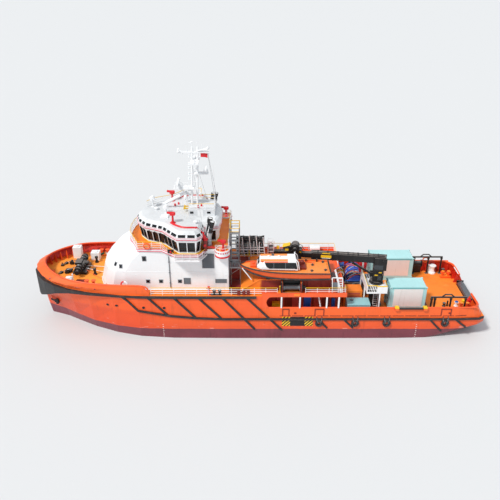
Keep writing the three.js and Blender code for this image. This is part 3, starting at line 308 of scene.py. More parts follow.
def on_wall(find, x, z, side):
    """A frame on the side wall: X along it, Y up it and Z out of it."""
    spot, out = find((x, side * 20, z), (0, -side, 0))
    along = Vector((0, 0, 1)).cross(out).normalized()
    up = out.cross(along)
    frame = Matrix((along, up, out)).transposed().to_4x4()
    frame.translation = spot
    return frame


def decal(shape, find, outline_xz, side, proud=0.02):
    """A thin plate that follows the side wall."""
    spots = [find((x, side * 20, z), (0, -side, 0)) for x, z in outline_xz]
    shape.loft([[spot + normal * out for spot, normal in spots] for out in (-0.03, proud)])


def inset(loop, distance):
    """A closed loop moved in towards its middle."""
    moved = []
    for a, b, c in zip(loop[-1:] + loop[:-1], loop, loop[1:] + loop[:1]):
        before, after = (b - a).normalized(), (c - b).normalized()
        left = Vector((-before.y - after.y, before.x + after.x)).normalized()
        share = max(0.5, left.dot(Vector((-before.y, before.x))))
        moved.append(b + left * distance / share)
    return moved


def lifted(points, z):
    """Plan points at a height."""
    return [(p[0], p[1], z) for p in points]


def port_of(points):
    """The same points on the port side."""
    return [(p[0], -p[1], *p[2:]) for p in points]


# GEOMETRY TREES

def wire(tree, kind, inputs=None, out=0, **settings):
    """Adds a node, fills or links its inputs, and returns one of its outputs."""
    made = tree.nodes.new(kind)
    for key, value in settings.items():
        setattr(made, key, value)
    for key, value in (inputs or {}).items():
        if isinstance(value, bpy.types.NodeSocket):
            tree.links.new(value, made.inputs[key])
        else:
            made.inputs[key].default_value = value
    return made.outputs[out]


def geometry_tree(name, inputs):
    """An empty geometry tree with named inputs, and a function that adds nodes to it."""
    tree = bpy.data.node_groups.new(name, "GeometryNodeTree")
    tree.interface.new_socket("Geometry", in_out="INPUT", socket_type="NodeSocketGeometry")
    for label, kind in inputs:
        tree.interface.new_socket(label, in_out="INPUT", socket_type="NodeSocket" + kind)
    tree.interface.new_socket("Geometry", in_out="OUTPUT", socket_type="NodeSocketGeometry")
    given = tree.nodes.new("NodeGroupInput").outputs
    last = tree.nodes.new("NodeGroupOutput").inputs[0]

    def node(kind, inputs=None, out=0, **settings):
        return wire(tree, kind if "Node" in kind else "GeometryNode" + kind, inputs, out, **settings)

    def end(geometry, finish):
        whole = node("RealizeInstances", {0: geometry})
        tree.links.new(node("SetMaterial", {"Geometry": whole, "Material": finish}), last)

    return tree, given, node, end


def grow(name, source, tree, body, **values):
    """Runs a geometry tree on a source mesh and keeps the result as a plain mesh that rides on a body."""
    holder = link(name + "_source", source)
    run = holder.modifiers.new("run", "NODES")
    run.node_group = tree
    for item in tree.interface.items_tree:
        key = item.name.lower().replace(" ", "_")
        if item.in_out == "INPUT" and key in values:
            run[item.identifier] = values[key]
    graph = bpy.context.evaluated_depsgraph_get()
    mesh = bpy.data.meshes.new_from_object(holder.evaluated_get(graph), depsgraph=graph)
    bpy.data.objects.remove(holder)
    mesh.name = name
    finish_mesh(mesh)
    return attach(link(name, mesh), body)


def path_mesh(points):
    """A chain of edges through full-size points, for a tree that follows a path."""
    mesh = bpy.data.meshes.new("path")
    edges = [(i, i + 1) for i in range(len(points) - 1)]
    mesh.from_pydata([Vector(p) * SCALE for p in points], edges, [])
    return mesh


def railing_tree(top):
    """Posts and rails along a path. The top rail's own tree differs only in which part it makes."""
    sizes = [("Height", "Float"), ("Spacing", "Float"), ("Radius", "Float"), ("Rails", "Int")]
    name = "top_rail" if top else "posts_and_rails"
    tree, given, node, end = geometry_tree(name, [*sizes, ("Finish", "Material")])
    line = node("MeshToCurve", {"Mesh": given["Geometry"]})
    section = node("CurvePrimitiveCircle", {"Resolution": 6, "Radius": given["Radius"]})
    tube = node("CurveToMesh", {"Curve": line, "Profile Curve": section, "Fill Caps": True})
    if top:
        lift = node("ShaderNodeCombineXYZ", {"Z": given["Height"]})
        end(node("Transform", {"Geometry": tube, "Translation": lift}), given["Finish"])
        return tree
    step = node("ShaderNodeMath", {0: given["Height"], 1: given["Rails"]}, operation="DIVIDE")
    rise = node("ShaderNodeCombineXYZ", {"Z": step})
    levels = node("ShaderNodeMath", {0: given["Rails"], 1: 1.0}, operation="SUBTRACT")
    stack = node("MeshLine", {"Count": levels, "Start Location": rise, "Offset": rise})
    rails = node("InstanceOnPoints", {"Points": stack, "Instance": tube})
    spots = node("ResampleCurve", {"Curve": line, "Length": given["Spacing"]}, mode="LENGTH")
    post = node("MeshCylinder", {"Vertices": 6, "Radius": given["Radius"], "Depth": given["Height"]})
    half = node("ShaderNodeMath", {0: given["Height"], 1: 0.5}, operation="MULTIPLY")
    lift = node("ShaderNodeCombineXYZ", {"Z": half})
    stood = node("Transform", {"Geometry": post, "Translation": lift})
    posts = node("InstanceOnPoints", {"Points": spots, "Instance": stood})
    both = tree.nodes.new("GeometryNodeJoinGeometry")
    tree.links.new(rails, both.inputs[0])
    tree.links.new(posts, both.inputs[0])
    end(both.outputs[0], given["Finish"])
    return tree


def row_tree():
    """Copies of the source, each a step on from the last."""
    inputs = [("Count", "Int"), ("Step", "Vector"), ("Finish", "Material")]
    tree, given, node, end = geometry_tree("row", inputs)
    spots = node("MeshLine", {"Count": given["Count"], "Offset": given["Step"]})
    copies = node("InstanceOnPoints", {"Points": spots, "Instance": given["Geometry"]})
    end(copies, given["Finish"])
    return tree


def along_tree():
    """Copies of a piece at even steps along the source path, turned to follow it and each rolled on."""
    tree, given, node, end = geometry_tree(
        "along", [("Piece", "Object"), ("Spacing", "Float"), ("Roll", "Float"), ("Finish", "Material")]
    )
    line = node("MeshToCurve", {"Mesh": given["Geometry"]})
    spots = node("ResampleCurve", {"Curve": line, "Length": given["Spacing"]}, mode="LENGTH")
    tangent = node("InputTangent")
    facing = node("FunctionNodeAlignRotationToVector", {"Vector": tangent}, axis="X", pivot_axis="AUTO")
    order = node("InputIndex")
    rolled = node("ShaderNodeMath", {0: order, 1: given["Roll"]}, operation="MULTIPLY")
    roll = node("FunctionNodeAxisAngleToRotation", {"Axis": (1, 0, 0), "Angle": rolled})
    both = {"Rotation": facing, "Rotate By": roll}
    turned = node("FunctionNodeRotateRotation", both, rotation_space="LOCAL")
    copy = node("ObjectInfo", {"Object": given["Piece"]}, out="Geometry")
    copies = node("InstanceOnPoints", {"Points": spots, "Instance": copy, "Rotation": turned})
    end(copies, given["Finish"])
    return tree


TOP_RAIL_SHARE = 1.25  # how much thicker the top rail is than the others
POSTS_AND_RAILS, TOP_RAIL, ROW, ALONG = railing_tree(False), railing_tree(True), row_tree(), along_tree()


def railing(name, path, height, rails, spacing, r, finishes=None):
    """A railing along a path on its deck: white, with a yellow top rail, or in its own two finishes."""
    posts, top = finishes or (WHITE, YELLOW)
    sizes = {"height": height * SCALE, "spacing": spacing * SCALE, "radius": r * SCALE, "rails": rails}
    grow(name, path_mesh(path), POSTS_AND_RAILS, "ship", finish=posts, **sizes)
    sizes["radius"] *= TOP_RAIL_SHARE
    grow(name + "_top", path_mesh(path), TOP_RAIL, "ship", finish=top, **sizes)


def row(name, shape, count, step, finish, body="ship"):
    """Copies of a shape in a straight row."""
    mesh = mesh_of(shape, [finish], name)
    return grow(name, mesh, ROW, body, count=count, step=Vector(step) * SCALE, finish=finish)


def along(name, shape, path, spacing, finish, roll=0.0):
    """Copies of a shape along a path; the shape is drawn round the origin with X along the path."""
    copy = link(name + "_copy", mesh_of(shape, [finish], name))
    values = {"piece": copy, "spacing": spacing * SCALE, "roll": radians(roll), "finish": finish}
    made = grow(name, path_mesh(path), ALONG, "ship", **values)
    bpy.data.objects.remove(copy)
    return made


# FINISHES

def tone(code):
    """A web colour as linear values."""
    parts = [(code >> shift & 255) / 255 for shift in (16, 8, 0)]
    return tuple(p / 12.92 if p <= 0.04045 else ((p + 0.055) / 1.055) ** 2.4 for p in parts) + (1.0,)


def shade(color, share):
    """A linear colour made darker or lighter."""
    return tuple(min(1.0, c * share) for c in color[:3]) + (1.0,)


class Finish:
    """One material and its nodes."""

    def __init__(self, name):
        self.material = bpy.data.materials.new(name)
        self.material.use_nodes = True
        self.tree = self.material.node_tree
        self.shader = self.tree.nodes["Principled BSDF"]
        self.where = self.node("TexCoord", out="Object")

    def node(self, kind, inputs=None, out=0, **settings):
        return wire(self.tree, "ShaderNode" + kind, inputs, out, **settings)

    def stretch(self, x, y, z):
        return self.node("Mapping", {"Vector": self.where, "Scale": (x, y, z)})

    def noise(self, size, detail=4.0, where=None, rough=0.55):
        """Smooth noise with features of about this size in model metres."""
        inputs = {"Vector": where or self.where, "Scale": 1.0 / size, "Detail": detail, "Roughness": rough}
        return self.node("TexNoise", inputs, out="Fac")

    def ramp(self, value, low, high, to_low=0.0, to_high=1.0):
        inputs = {"Value": value, "From Min": low, "From Max": high, "To Min": to_low, "To Max": to_high}
        return self.node("MapRange", inputs, interpolation_type="SMOOTHSTEP")

    def sum(self, operation, a, b=0.0):
        return self.node("Math", {0: a, 1: b}, operation=operation)

    def times(self, a, b):
        return self.sum("MULTIPLY", a, b)

    def plus(self, a, b):
        return self.sum("ADD", a, b)

    def patchy(self, size, low, high):
        """A value that drifts between two levels over about this size."""
        return self.ramp(self.noise(size), 0.2, 0.8, low, high)

    def upward(self, low, high, to_low=0.0, to_high=1.0):
        """How far a face looks up, between two heights of its normal."""
        return self.ramp(self.axis("Z", self.facing()), low, high, to_low, to_high)

    def mix(self, share, a, b, blend="MIX"):
        inputs = {"Factor": share, 6: a, 7: b}
        return self.node("Mix", inputs, out=2, data_type="RGBA", blend_type=blend)

    def axis(self, name, of=None):
        return self.node("SeparateXYZ", {0: of or self.where}, out=name)

    def facing(self):
        return self.node("NewGeometry", out="Normal")

    def worn(self, color, drift=0.12, grime=0.0, chips=0.0, under=0x5A3A28):
        """A paint colour with slow drift, grime in streaks down the side, and small chips."""
        slow = self.ramp(self.noise(1.7), 0.3, 0.7)
        base = self.mix(slow, shade(color, 1 - drift), shade(color, 1 + drift * 0.5))
        if grime:
            down = self.noise(0.16, 5.0, self.stretch(1, 1, 0.12))
            spread = self.times(self.ramp(down, 0.5, 0.74), self.ramp(self.noise(1.1), 0.35, 0.65))
            base = self.mix(self.times(spread, grime), base, tone(under))
        if chips:
            spots = self.times(self.ramp(self.noise(0.045, 6.0), 0.63, 0.68), chips)
            base = self.mix(spots, base, tone(under))
        return base

    def done(self, color=None, rough=None, bump=None, depth=0.004, **constants):
        """Links the colour, roughness and bump, and sets what is the same all over the surface."""
        for key, value in (("Base Color", color), ("Roughness", rough)):
            if isinstance(value, bpy.types.NodeSocket):
                self.tree.links.new(value, self.shader.inputs[key])
            elif value is not None:
                self.shader.inputs[key].default_value = value
        if bump is not None:
            normal = self.node("Bump", {"Height": bump, "Distance": depth, "Strength": 0.7})
            self.tree.links.new(normal, self.shader.inputs["Normal"])
        for key, value in constants.items():
            self.shader.inputs[key.replace("_", " ").title().replace("Ior", "IOR")].default_value = value
        return self.material


def black_with_dust_and_highlight(name="black_paint"):
    """Black paint, paler on its upper faces in patches: partly dust and salt, partly a painted highlight."""
    f = Finish(name)
    color = f.worn(tone(0x141517), 0.3, 0.2, 0.2, 0x54504C)
    # Upper faces turn pale grey in patches: part dust and salt, part a painted highlight.
    up = f.upward(0.55, 0.9)
    dust = f.times(up, f.ramp(f.noise(0.4, 5.0), 0.2, 0.7, 0.4, 0.85))
    color = f.mix(dust, color, tone(0x7E7672))
    return f.done(color, f.patchy(0.05, 0.4, 0.6), f.noise(0.05), 0.002)


def boat_finish():
    """Orange topsides and a warmer, paler orange on the deck."""
    f = Finish("boat_orange")
    up = f.upward(0.6, 0.9)
    side = f.worn(tone(0xEE5F24), 0.08, 0.2, 0.15, 0x8A3A20)
    color = f.mix(up, side, f.worn(tone(0xFF9444), 0.08, 0.25, 0.3, 0xB8501E))
    return f.done(color, f.patchy(0.1, 0.34, 0.52), f.noise(0.4, 3.0), 0.002)


def casing_finish():
    """Deck paint on the casing's top and forward slope, and dark maroon on its upright walls aft of the
    slope: painted shade for the workboat's shadow.
    """
    f = Finish("casing_paint")
    # Upright walls aft of the slope turn dark maroon: painted shade for the workboat's shadow on them.
    wall = f.upward(0.25, 0.35, 1.0, 0.0)
    x = f.axis("X")
    fade = f.ramp(f.plus(x, f.patchy(0.3, -0.03, 0.03)), 0.35 * SCALE, 0.7 * SCALE)
    color = f.mix(f.times(wall, fade), deck_color(f), f.worn(tone(0x8C3328), 0.15, 0.35, 0.3, 0x4A1E18))
    return f.done(color, f.patchy(0.2, 0.55, 0.78), f.noise(0.4, 3.0), 0.003)


def painted(name, code, rough=0.42, drift=0.08, grime=0.25, chips=0.3, under=0x5A3A28, size=0.05):
    """Brushed or sprayed paint on steel."""
    f = Finish(name)
    color = f.worn(tone(code), drift, grime, chips, under)
    fine = f.noise(size, 5.0)
    roughness = f.ramp(fine, 0.2, 0.8, rough - 0.08, rough + 0.12)
    return f.done(color, roughness, f.plus(fine, f.noise(0.6, 2.0)), 0.002)


def hull_finish():
    """Orange sides with seams, streaks and salt, painted shade that makes the side darker and redder low
    down and most of all at the bow, dark red below the boot-top, orange-yellow decks with painted light on
    the foredeck.
    """
    f = Finish("hull_paint")
    z, x = f.axis("Z"), f.axis("X")
    side = f.worn(tone(0xF55E24), 0.06, 0.3, 0.2, 0x8A3A20)
    # Towards the bottom of the side the orange turns darker and redder: painted shade.
    low = f.ramp(z, 0.7, 1.45, 1.0, 0.0)
    side = f.mix(f.times(low, 0.4), side, tone(0xD94A26))
    # Deeper red low on the bow, forward of amidships: painted shade.
    bow_shade = f.times(f.ramp(z, 1.75, 2.05, 1.0, 0.0), f.ramp(x, -7.5, -5.0, 0.55, 0.0))
    side = f.mix(bow_shade, side, tone(0xD8421E))
    salt = f.noise(0.22, 6.0, f.stretch(0.35, 1, 1))
    splash = f.times(f.ramp(salt, 0.6, 0.74), f.ramp(z, 0.65, 1.25, 1.0, 0.0))
    side = f.mix(f.times(splash, 0.6), side, tone(0xF0E4DC))
    bottom = f.worn(tone(0x7C3A46), 0.16, 0.4, 0.15, 0x3E2428)
    edge = f.plus(z, f.patchy(0.5, -0.012, 0.012))
    color = f.mix(f.ramp(edge, BOOT_TOP * SCALE - 0.004, BOOT_TOP * SCALE + 0.004), bottom, side)
    plates = f.node("CombineXYZ", {"X": x, "Y": z})
    seams = {"Vector": plates, "Scale": 1.0, "Brick Width": 3.1, "Row Height": 0.82}
    seams.update({"Mortar Size": 0.008, "Mortar Smooth": 0.6})
    seam = f.node("TexBrick", seams, out="Fac")
    color = f.mix(f.times(seam, 0.18), color, tone(0x4A2018))
    level = f.times(f.upward(0.75, 0.85), f.ramp(z, 1.3, 1.35))
    # The foredeck is painted brighter and more yellow: painted light where the sun falls.
    fore = f.mix(f.ramp(x, -8.2, -7.4, 0.5, 0.0), deck_color(f), tone(0xFFA63C))
    color = f.mix(level, color, fore)
    grain = f.times(f.noise(0.012, 2.0), f.ramp(level, 0, 1, 0.1, 0.5))
    swell = f.noise(0.7, 1.0)
    height = f.plus(f.plus(swell, grain), f.times(seam, 0.4))
    rough = f.plus(f.patchy(0.12, 0.3, 0.5), f.times(level, 0.3))
    return f.done(color, rough, height, 0.006)


def deck_color(f):
    """Orange-yellow deck paint, worn pale where it is walked on and darker in old puddles."""
    base = f.worn(tone(0xF68628), 0.1, 0.0, 0.25, 0xA8461E)
    wet = f.times(f.ramp(f.noise(0.9, 5.0), 0.52, 0.68), 0.35)
    base = f.mix(wet, base, tone(0xE06A20))
    rub = f.times(f.ramp(f.noise(0.3, 6.0, f.stretch(0.4, 1, 1)), 0.58, 0.72), 0.3)
    return f.mix(rub, base, tone(0xFFB060))


def deck_finish():
    """Deck paint with grit in it."""
    f = Finish("deck_paint")
    grain = f.plus(f.times(f.noise(0.01, 2.0), 0.4), f.noise(0.5, 2.0))
    return f.done(deck_color(f), f.patchy(0.2, 0.6, 0.82), grain, 0.004)


def bulwark_finish(name, middle):
    """Orange outside and dark red on the side that faces a point amidships of it."""
    f = Finish(name)
    outward = f.node("VectorMath", {0: f.where, 1: (middle * SCALE, 0, 0)}, operation="SUBTRACT")
    flat = f.node("VectorMath", {0: outward, 1: (1, 1, 0)}, operation="MULTIPLY")
    out = f.node("VectorMath", {0: flat, 1: f.facing()}, out="Value", operation="DOT_PRODUCT")
    outer = f.worn(tone(0xF66626), 0.06, 0.2, 0.2, 0x8A3A20)
    inner = f.worn(tone(0xD02E1C), 0.15, 0.35, 0.3, 0x7E2014)
    color = f.mix(f.ramp(out, -0.25, -0.05), inner, outer)
    return f.done(color, f.patchy(0.1, 0.34, 0.52), f.noise(0.5, 3.0), 0.004)


def rubber_finish(name="rubber", code=0x2A2A2C):
    """Weathered black rubber with grey scuffs."""
    f = Finish(name)
    scuff = f.ramp(f.noise(0.09, 7.0, f.stretch(0.3, 1, 1)), 0.5, 0.75)
    color = f.mix(f.times(scuff, 0.5), tone(code), tone(0x6A6664))
    pits = f.node("TexVoronoi", {"Vector": f.where, "Scale": 60.0}, out="Distance")
    rough = f.ramp(scuff, 0, 1, 0.62, 0.85)
    return f.done(color, rough, f.plus(f.times(pits, 0.3), f.noise(0.05)), 0.004)


def metal_finish(name, code, rough=0.4, metallic=0.9, mottle=0.25):
    """Bare or galvanised metal."""
    f = Finish(name)
    spangle = f.node("TexVoronoi", {"Vector": f.where, "Scale": 22.0}, out="Color")
    grey = f.node("RGBToBW", {0: spangle})
    color = f.mix(f.times(grey, mottle), tone(code), shade(tone(code), 0.6))
    rough = f.ramp(f.noise(0.07), 0.2, 0.8, rough - 0.1, rough + 0.15)
    return f.done(color, rough, f.noise(0.03, 5.0), 0.001, metallic=metallic)


def glass_finish(name, code, through=0.75, rough=0.04):
    """Tinted glass with a faint film of dust."""
    f = Finish(name)
    dust = f.ramp(f.noise(0.25, 5.0), 0.5, 0.8)
    color = f.mix(f.times(dust, 0.15), tone(code), tone(0x8C9498))
    return f.done(color, f.ramp(dust, 0, 1, rough, rough + 0.1), transmission_weight=through, ior=1.45)


def bridge_deck_finish():
    """White plating with orange floors."""
    f = Finish("bridge_deck_paint")
    up = f.upward(0.75, 0.85)
    z = f.axis("Z")
    low = f.ramp(z, (BRIDGE + 0.03) * SCALE, (BRIDGE + 0.05) * SCALE, 1.0, 0.0)
    above = f.ramp(z, (BRIDGE - 0.2) * SCALE, (BRIDGE - 0.1) * SCALE)
    floor = f.times(up, f.times(low, above))
    color = f.mix(floor, f.worn(tone(0xEDEFF1), 0.03, 0.2, 0.15, 0x9A8070), deck_color(f))
    return f.done(color, f.patchy(0.1, 0.4, 0.6), f.noise(0.3, 3.0), 0.003)


def exhaust_finish():
    """Maroon foot, galvanised lagging up past the bend, and black above."""
    f = Finish("exhaust_paint")
    z = f.axis("Z")
    spangle = f.worn(tone(0xA0A2A4), 0.2, 0.4, 0.2, 0x5A4A40)
    color = f.mix(f.ramp(z, 11.86 * SCALE, 11.88 * SCALE), f.worn(tone(0xB8502A), 0.1, 0.3, 0.2), spangle)
    black = f.worn(tone(0x141416), 0.2, 0.2, 0.1, 0x504A46)
    color = f.mix(f.ramp(z, 13.5 * SCALE, 13.52 * SCALE), color, black)
    return f.done(color, f.patchy(0.08, 0.4, 0.65), f.noise(0.05), 0.002)


def stripes_finish(name, one, other, width, slant=(1, 0, 1)):
    """Two paints in slanting stripes."""
    f = Finish(name)
    run = f.node("VectorMath", {0: f.where, 1: slant}, out="Value", operation="DOT_PRODUCT")
    turn = f.sum("FRACT", f.times(run, 1.0 / width))
    color = f.mix(f.ramp(turn, 0.48, 0.52), tone(one), tone(other))
    scuff = f.times(f.ramp(f.noise(0.05, 6.0), 0.6, 0.7), 0.3)
    return f.done(f.mix(scuff, color, tone(0x6A5A4A)), 0.5, f.noise(0.05), 0.001)


def cloth_finish(name, code, weave=0.006, sheen=0.2):
    """Coarse woven cover with folds of shade."""
    f = Finish(name)
    warp = {"Vector": f.where, "Scale": 1.0 / weave, "Distortion": 0.6}
    threads = f.node("TexWave", warp, out="Fac", wave_type="BANDS", bands_direction="DIAGONAL")
    color = f.worn(tone(code), 0.25, 0.0, 0.1, 0x8090A0)
    folds = f.plus(f.times(threads, 0.15), f.noise(0.12, 4.0))
    return f.done(color, 0.75, folds, 0.01, sheen_weight=sheen)


HULL = hull_finish()
DECK_PAINT = deck_finish()
BOW_RED = bulwark_finish("bow_bulwark_paint", -19)
SIDE_RED = bulwark_finish("main_bulwark_paint", 14)
WHITE = painted("house_white", 0xEEF0F2, 0.38, 0.03, 0.12, 0.08, under=0xA08C7C)
ROOF_WHITE = painted("roof_white", 0xDADDE0, 0.45, 0.1, 0.35, 0.2, under=0x9A9C9E)
TANK_AQUA = painted("tank_aqua", 0x94C4CA, 0.5, 0.1, 0.3, 0.2, under=0x6A7470)
BOAT_ORANGE = boat_finish()
CASING_PAINT = casing_finish()
ORANGE = painted("orange_paint", 0xF4602C, 0.42, 0.08, 0.2, 0.2, under=0x8A3A20)
BLACK = black_with_dust_and_highlight()
# Pale grey for the strips along the boom's top: painted highlight.
BOOM_TOP_HIGHLIGHT = painted("dusty_grey", 0x9A928C, 0.6, 0.15, 0.4, 0.2, under=0x4A4640)
GREY = painted("grey_paint", 0x6C7076, 0.5, 0.1, 0.2, 0.2, under=0x3C3835)
MAROON = painted("maroon_paint", 0x7E2A22, 0.5, 0.15, 0.3, 0.2, under=0x3C1A16)
GALLERY_RED = painted("gallery_paint", 0xC2504A, 0.5, 0.15, 0.3, 0.2, under=0x5C2420)
RED = painted("red_paint", 0xD81E28, 0.35, 0.08, 0.1, 0.1, under=0x6A1414)
YELLOW = painted("yellow_paint", 0xF2C21C, 0.45, 0.08, 0.2, 0.3, under=0x6A5A30)
PINK_LINE = painted("magenta_line", 0xE2365A, 0.4, 0.05, 0.0, 0.1)
AQUA = painted("aqua_paint", 0xB0DEE0, 0.5, 0.07, 0.25, 0.25, under=0x8A7460)
AQUA_EDGE = painted("aqua_edge", 0x74B6BA, 0.5, 0.07, 0.25, 0.25, under=0x8A7460)
PANEL = painted("panel_pinkish", 0xF0DED8, 0.5, 0.05, 0.3, 0.15, under=0xA88C78)
PANEL_PALE = painted("panel_pale", 0xECEAE8, 0.5, 0.05, 0.35, 0.15, under=0xA89888)
BLUE_PAINT = painted("blue_paint", 0x1E4FA0, 0.4, 0.1, 0.1, 0.2, under=0x2A2E3A)
GALVANISED = metal_finish("galvanised", 0xA4A8AC)
STEEL = metal_finish("worn_steel", 0x8C8E92, 0.35)
BRONZE = metal_finish("bronze", 0xB88A48, 0.25, 1.0, 0.15)
RUBBER = rubber_finish()
GLASS = glass_finish("window_glass", 0x2A363C)
DARK_GLASS = glass_finish("dark_glass", 0x10151A, 0.2)
BRIDGE_PAINT = bridge_deck_finish()
EXHAUST_PAINT = exhaust_finish()
HAZARD = stripes_finish("hazard_stripes", 0xF2C21C, 0x141414, 0.2, (1, 0, -1))
BLUE_CLOTH = cloth_finish("blue_cover", 0x2C4FB4)
CONSOLE = painted("console_grey", 0x3A3F44, 0.6, 0.1, 0.0, 0.0, size=0.02)
ROPE_GREEN = cloth_finish("green_rope", 0x2F7A5A, 0.004)
ROPE_WHITE = cloth_finish("white_rope", 0xD8D4C8, 0.004)
ROPE_ORANGE = cloth_finish("orange_hose", 0xF06A1E, 0.004)
LAMP = painted("lamp_glass", 0xE8F0F4, 0.15, 0.02, 0.0, 0.0)

CAD_FINISHES = {
    HULL: ["hull"],
    BOW_RED: ["bow_bulwark"],
    SIDE_RED: ["bulwark_starboard", "bulwark_port"],
    RUBBER: ["bow_fender", "side_fender_starboard", "side_fender_port"],
    DECK_PAINT: ["machinery_block"],
    CASING_PAINT: ["boat_casing"],
    BOAT_ORANGE: ["workboat_hull"],
    ORANGE: ["upper_deck_aft"],
    GALLERY_RED: ["main_deckhouse"],
    MAROON: ["rudder_port", "rudder_starboard"],
    WHITE: [
        "superstructure", "house_door", "wheelhouse", "wheelhouse_door", "mast",
        "radar_scanner_lower", "radar_scanner_upper", "bottle_rack",
        "workboat_cabin", "crane_platform", "capstan",
    ],
    ROOF_WHITE: ["wheelhouse_roof"],
    BRIDGE_PAINT: ["bridge_deck"],
    EXHAUST_PAINT: ["exhaust_starboard", "exhaust_port"],
    GLASS: ["wheelhouse_glass"],
    CONSOLE: ["bridge_console"],
    RED: ["monitor_roof_port", "monitor_roof_starboard", "monitor_aft_port", "monitor_aft_starboard"],
    GALVANISED: ["stair_tower", "umbilical_skid"],
    BLACK: [
        "gas_bottles", "crane_pedestal", "crane_column", "crane_boom", "crane_extension",
        "luff_barrel", "side_roller", "windlass", "anchor_starboard", "anchor_port",
        "cargo_rail_starboard", "cargo_rail_port",
    ],
    STEEL: ["luff_rod", "launch_winch_drum", "stern_roller"],
    AQUA: ["container_near", "container_far"],
    TANK_AQUA: ["deck_tank"],
    BLUE_CLOTH: ["umbilical_reel"],
    BRONZE: ["propeller_port", "propeller_starboard"],
}


def finish_cad():
    """Gives every CAD node its finish."""
    for finish, nodes in CAD_FINISHES.items():
        for node in nodes:
            mesh = frame["nodes"][node].data
            mesh.materials.clear()
            mesh.materials.append(finish)


# HULL AND BULWARKS

# Starboard edge of the foredeck from the stem aft: deck x, y, z and the bulwark's top x, y, z.
BOW_EDGE = [
    (-27.0, 0.5, 6.6, -26.15, 0.5, 7.84),
    (-26.5, 1.52, 6.56, -25.8, 1.55, 7.8),
    (-25.5, 2.76, 6.5, -24.95, 2.8, 7.72),
    (-24.25, 3.76, 6.42, -23.75, 3.92, 7.62),
    (-22.45, 4.62, 6.3, -22.25, 4.8, 7.5),
    (-20.0, 5.22, 6.16, -19.9, 5.34, 7.33),
    (-17.0, 5.62, 6.0, -17.0, 5.58, 7.2),
    (-13.3, 5.84, 6.0, -13.3, 5.78, 7.15),
    (-12.6, 5.86, 6.0, -12.6, 5.84, 6.35),
]
# Starboard edge of the work deck, forward to aft: bulwark's foot x, y and top x, y, z.
SIDE_EDGE = [
    (0.6, 5.93, 0.6, 5.9, 4.3),
    (24.0, 5.92, 23.8, 5.88, 4.3),
    (26.3, 5.76, 25.7, 5.66, 4.26),
    (27.1, 5.4, 26.45, 5.25, 4.2),
    (27.36, 4.7, 26.68, 4.6, 4.15),
    (27.36, 2.42, 26.68, 2.42, 4.12),
]
WALL = 0.16  # thickness of the bulwarks
TYRES = (7.5, 11.81, 15.58, 22.59)  # tyre fenders along each side
TYRE_Z = 2.26


def deck_rise(x):
    """Height of the foredeck, which rises towards the stem."""
    rows = [(row[0], row[2]) for row in BOW_EDGE]
    for (x0, z0), (x1, z1) in zip(rows, rows[1:]):
        if x <= x1:
            return z0 + (z1 - z0) * max(0.0, (x - x0) / (x1 - x0))
    return FOREDECK


def chain_link(length=0.13, r=0.014):
    """One link lying along X."""
    half, wide = length / 2 - r, length * 0.3 - r
    corners = [(-half, wide * 0.6), (-half * 0.5, wide), (half * 0.5, wide), (half, wide * 0.6)]
    loop = corners + [(x, -y) for x, y in corners[::-1]]
    return Shape().pipe([(x, y, 0) for x, y in loop], r, 4, closed=True)


def stays(name, edge, lean, height, finish):
    """Triangular plates at even steps inside a bulwark, their tops leaning in with it, on both sides."""
    for side, label in SIDES:
        web = [(0.05, 0.0), (-0.4 - lean, 0.0), (-0.4 - lean, 0.1), (-0.12 - lean, height), (-lean, height)]
        stay = Shape().prism([(side * y, z) for y, z in web], -0.02, 0.02, "x")
        line = smooth([(x, side * y, z) for x, y, z in edge], 3)
        along(name + "_" + label, stay, line, 0.78, finish)


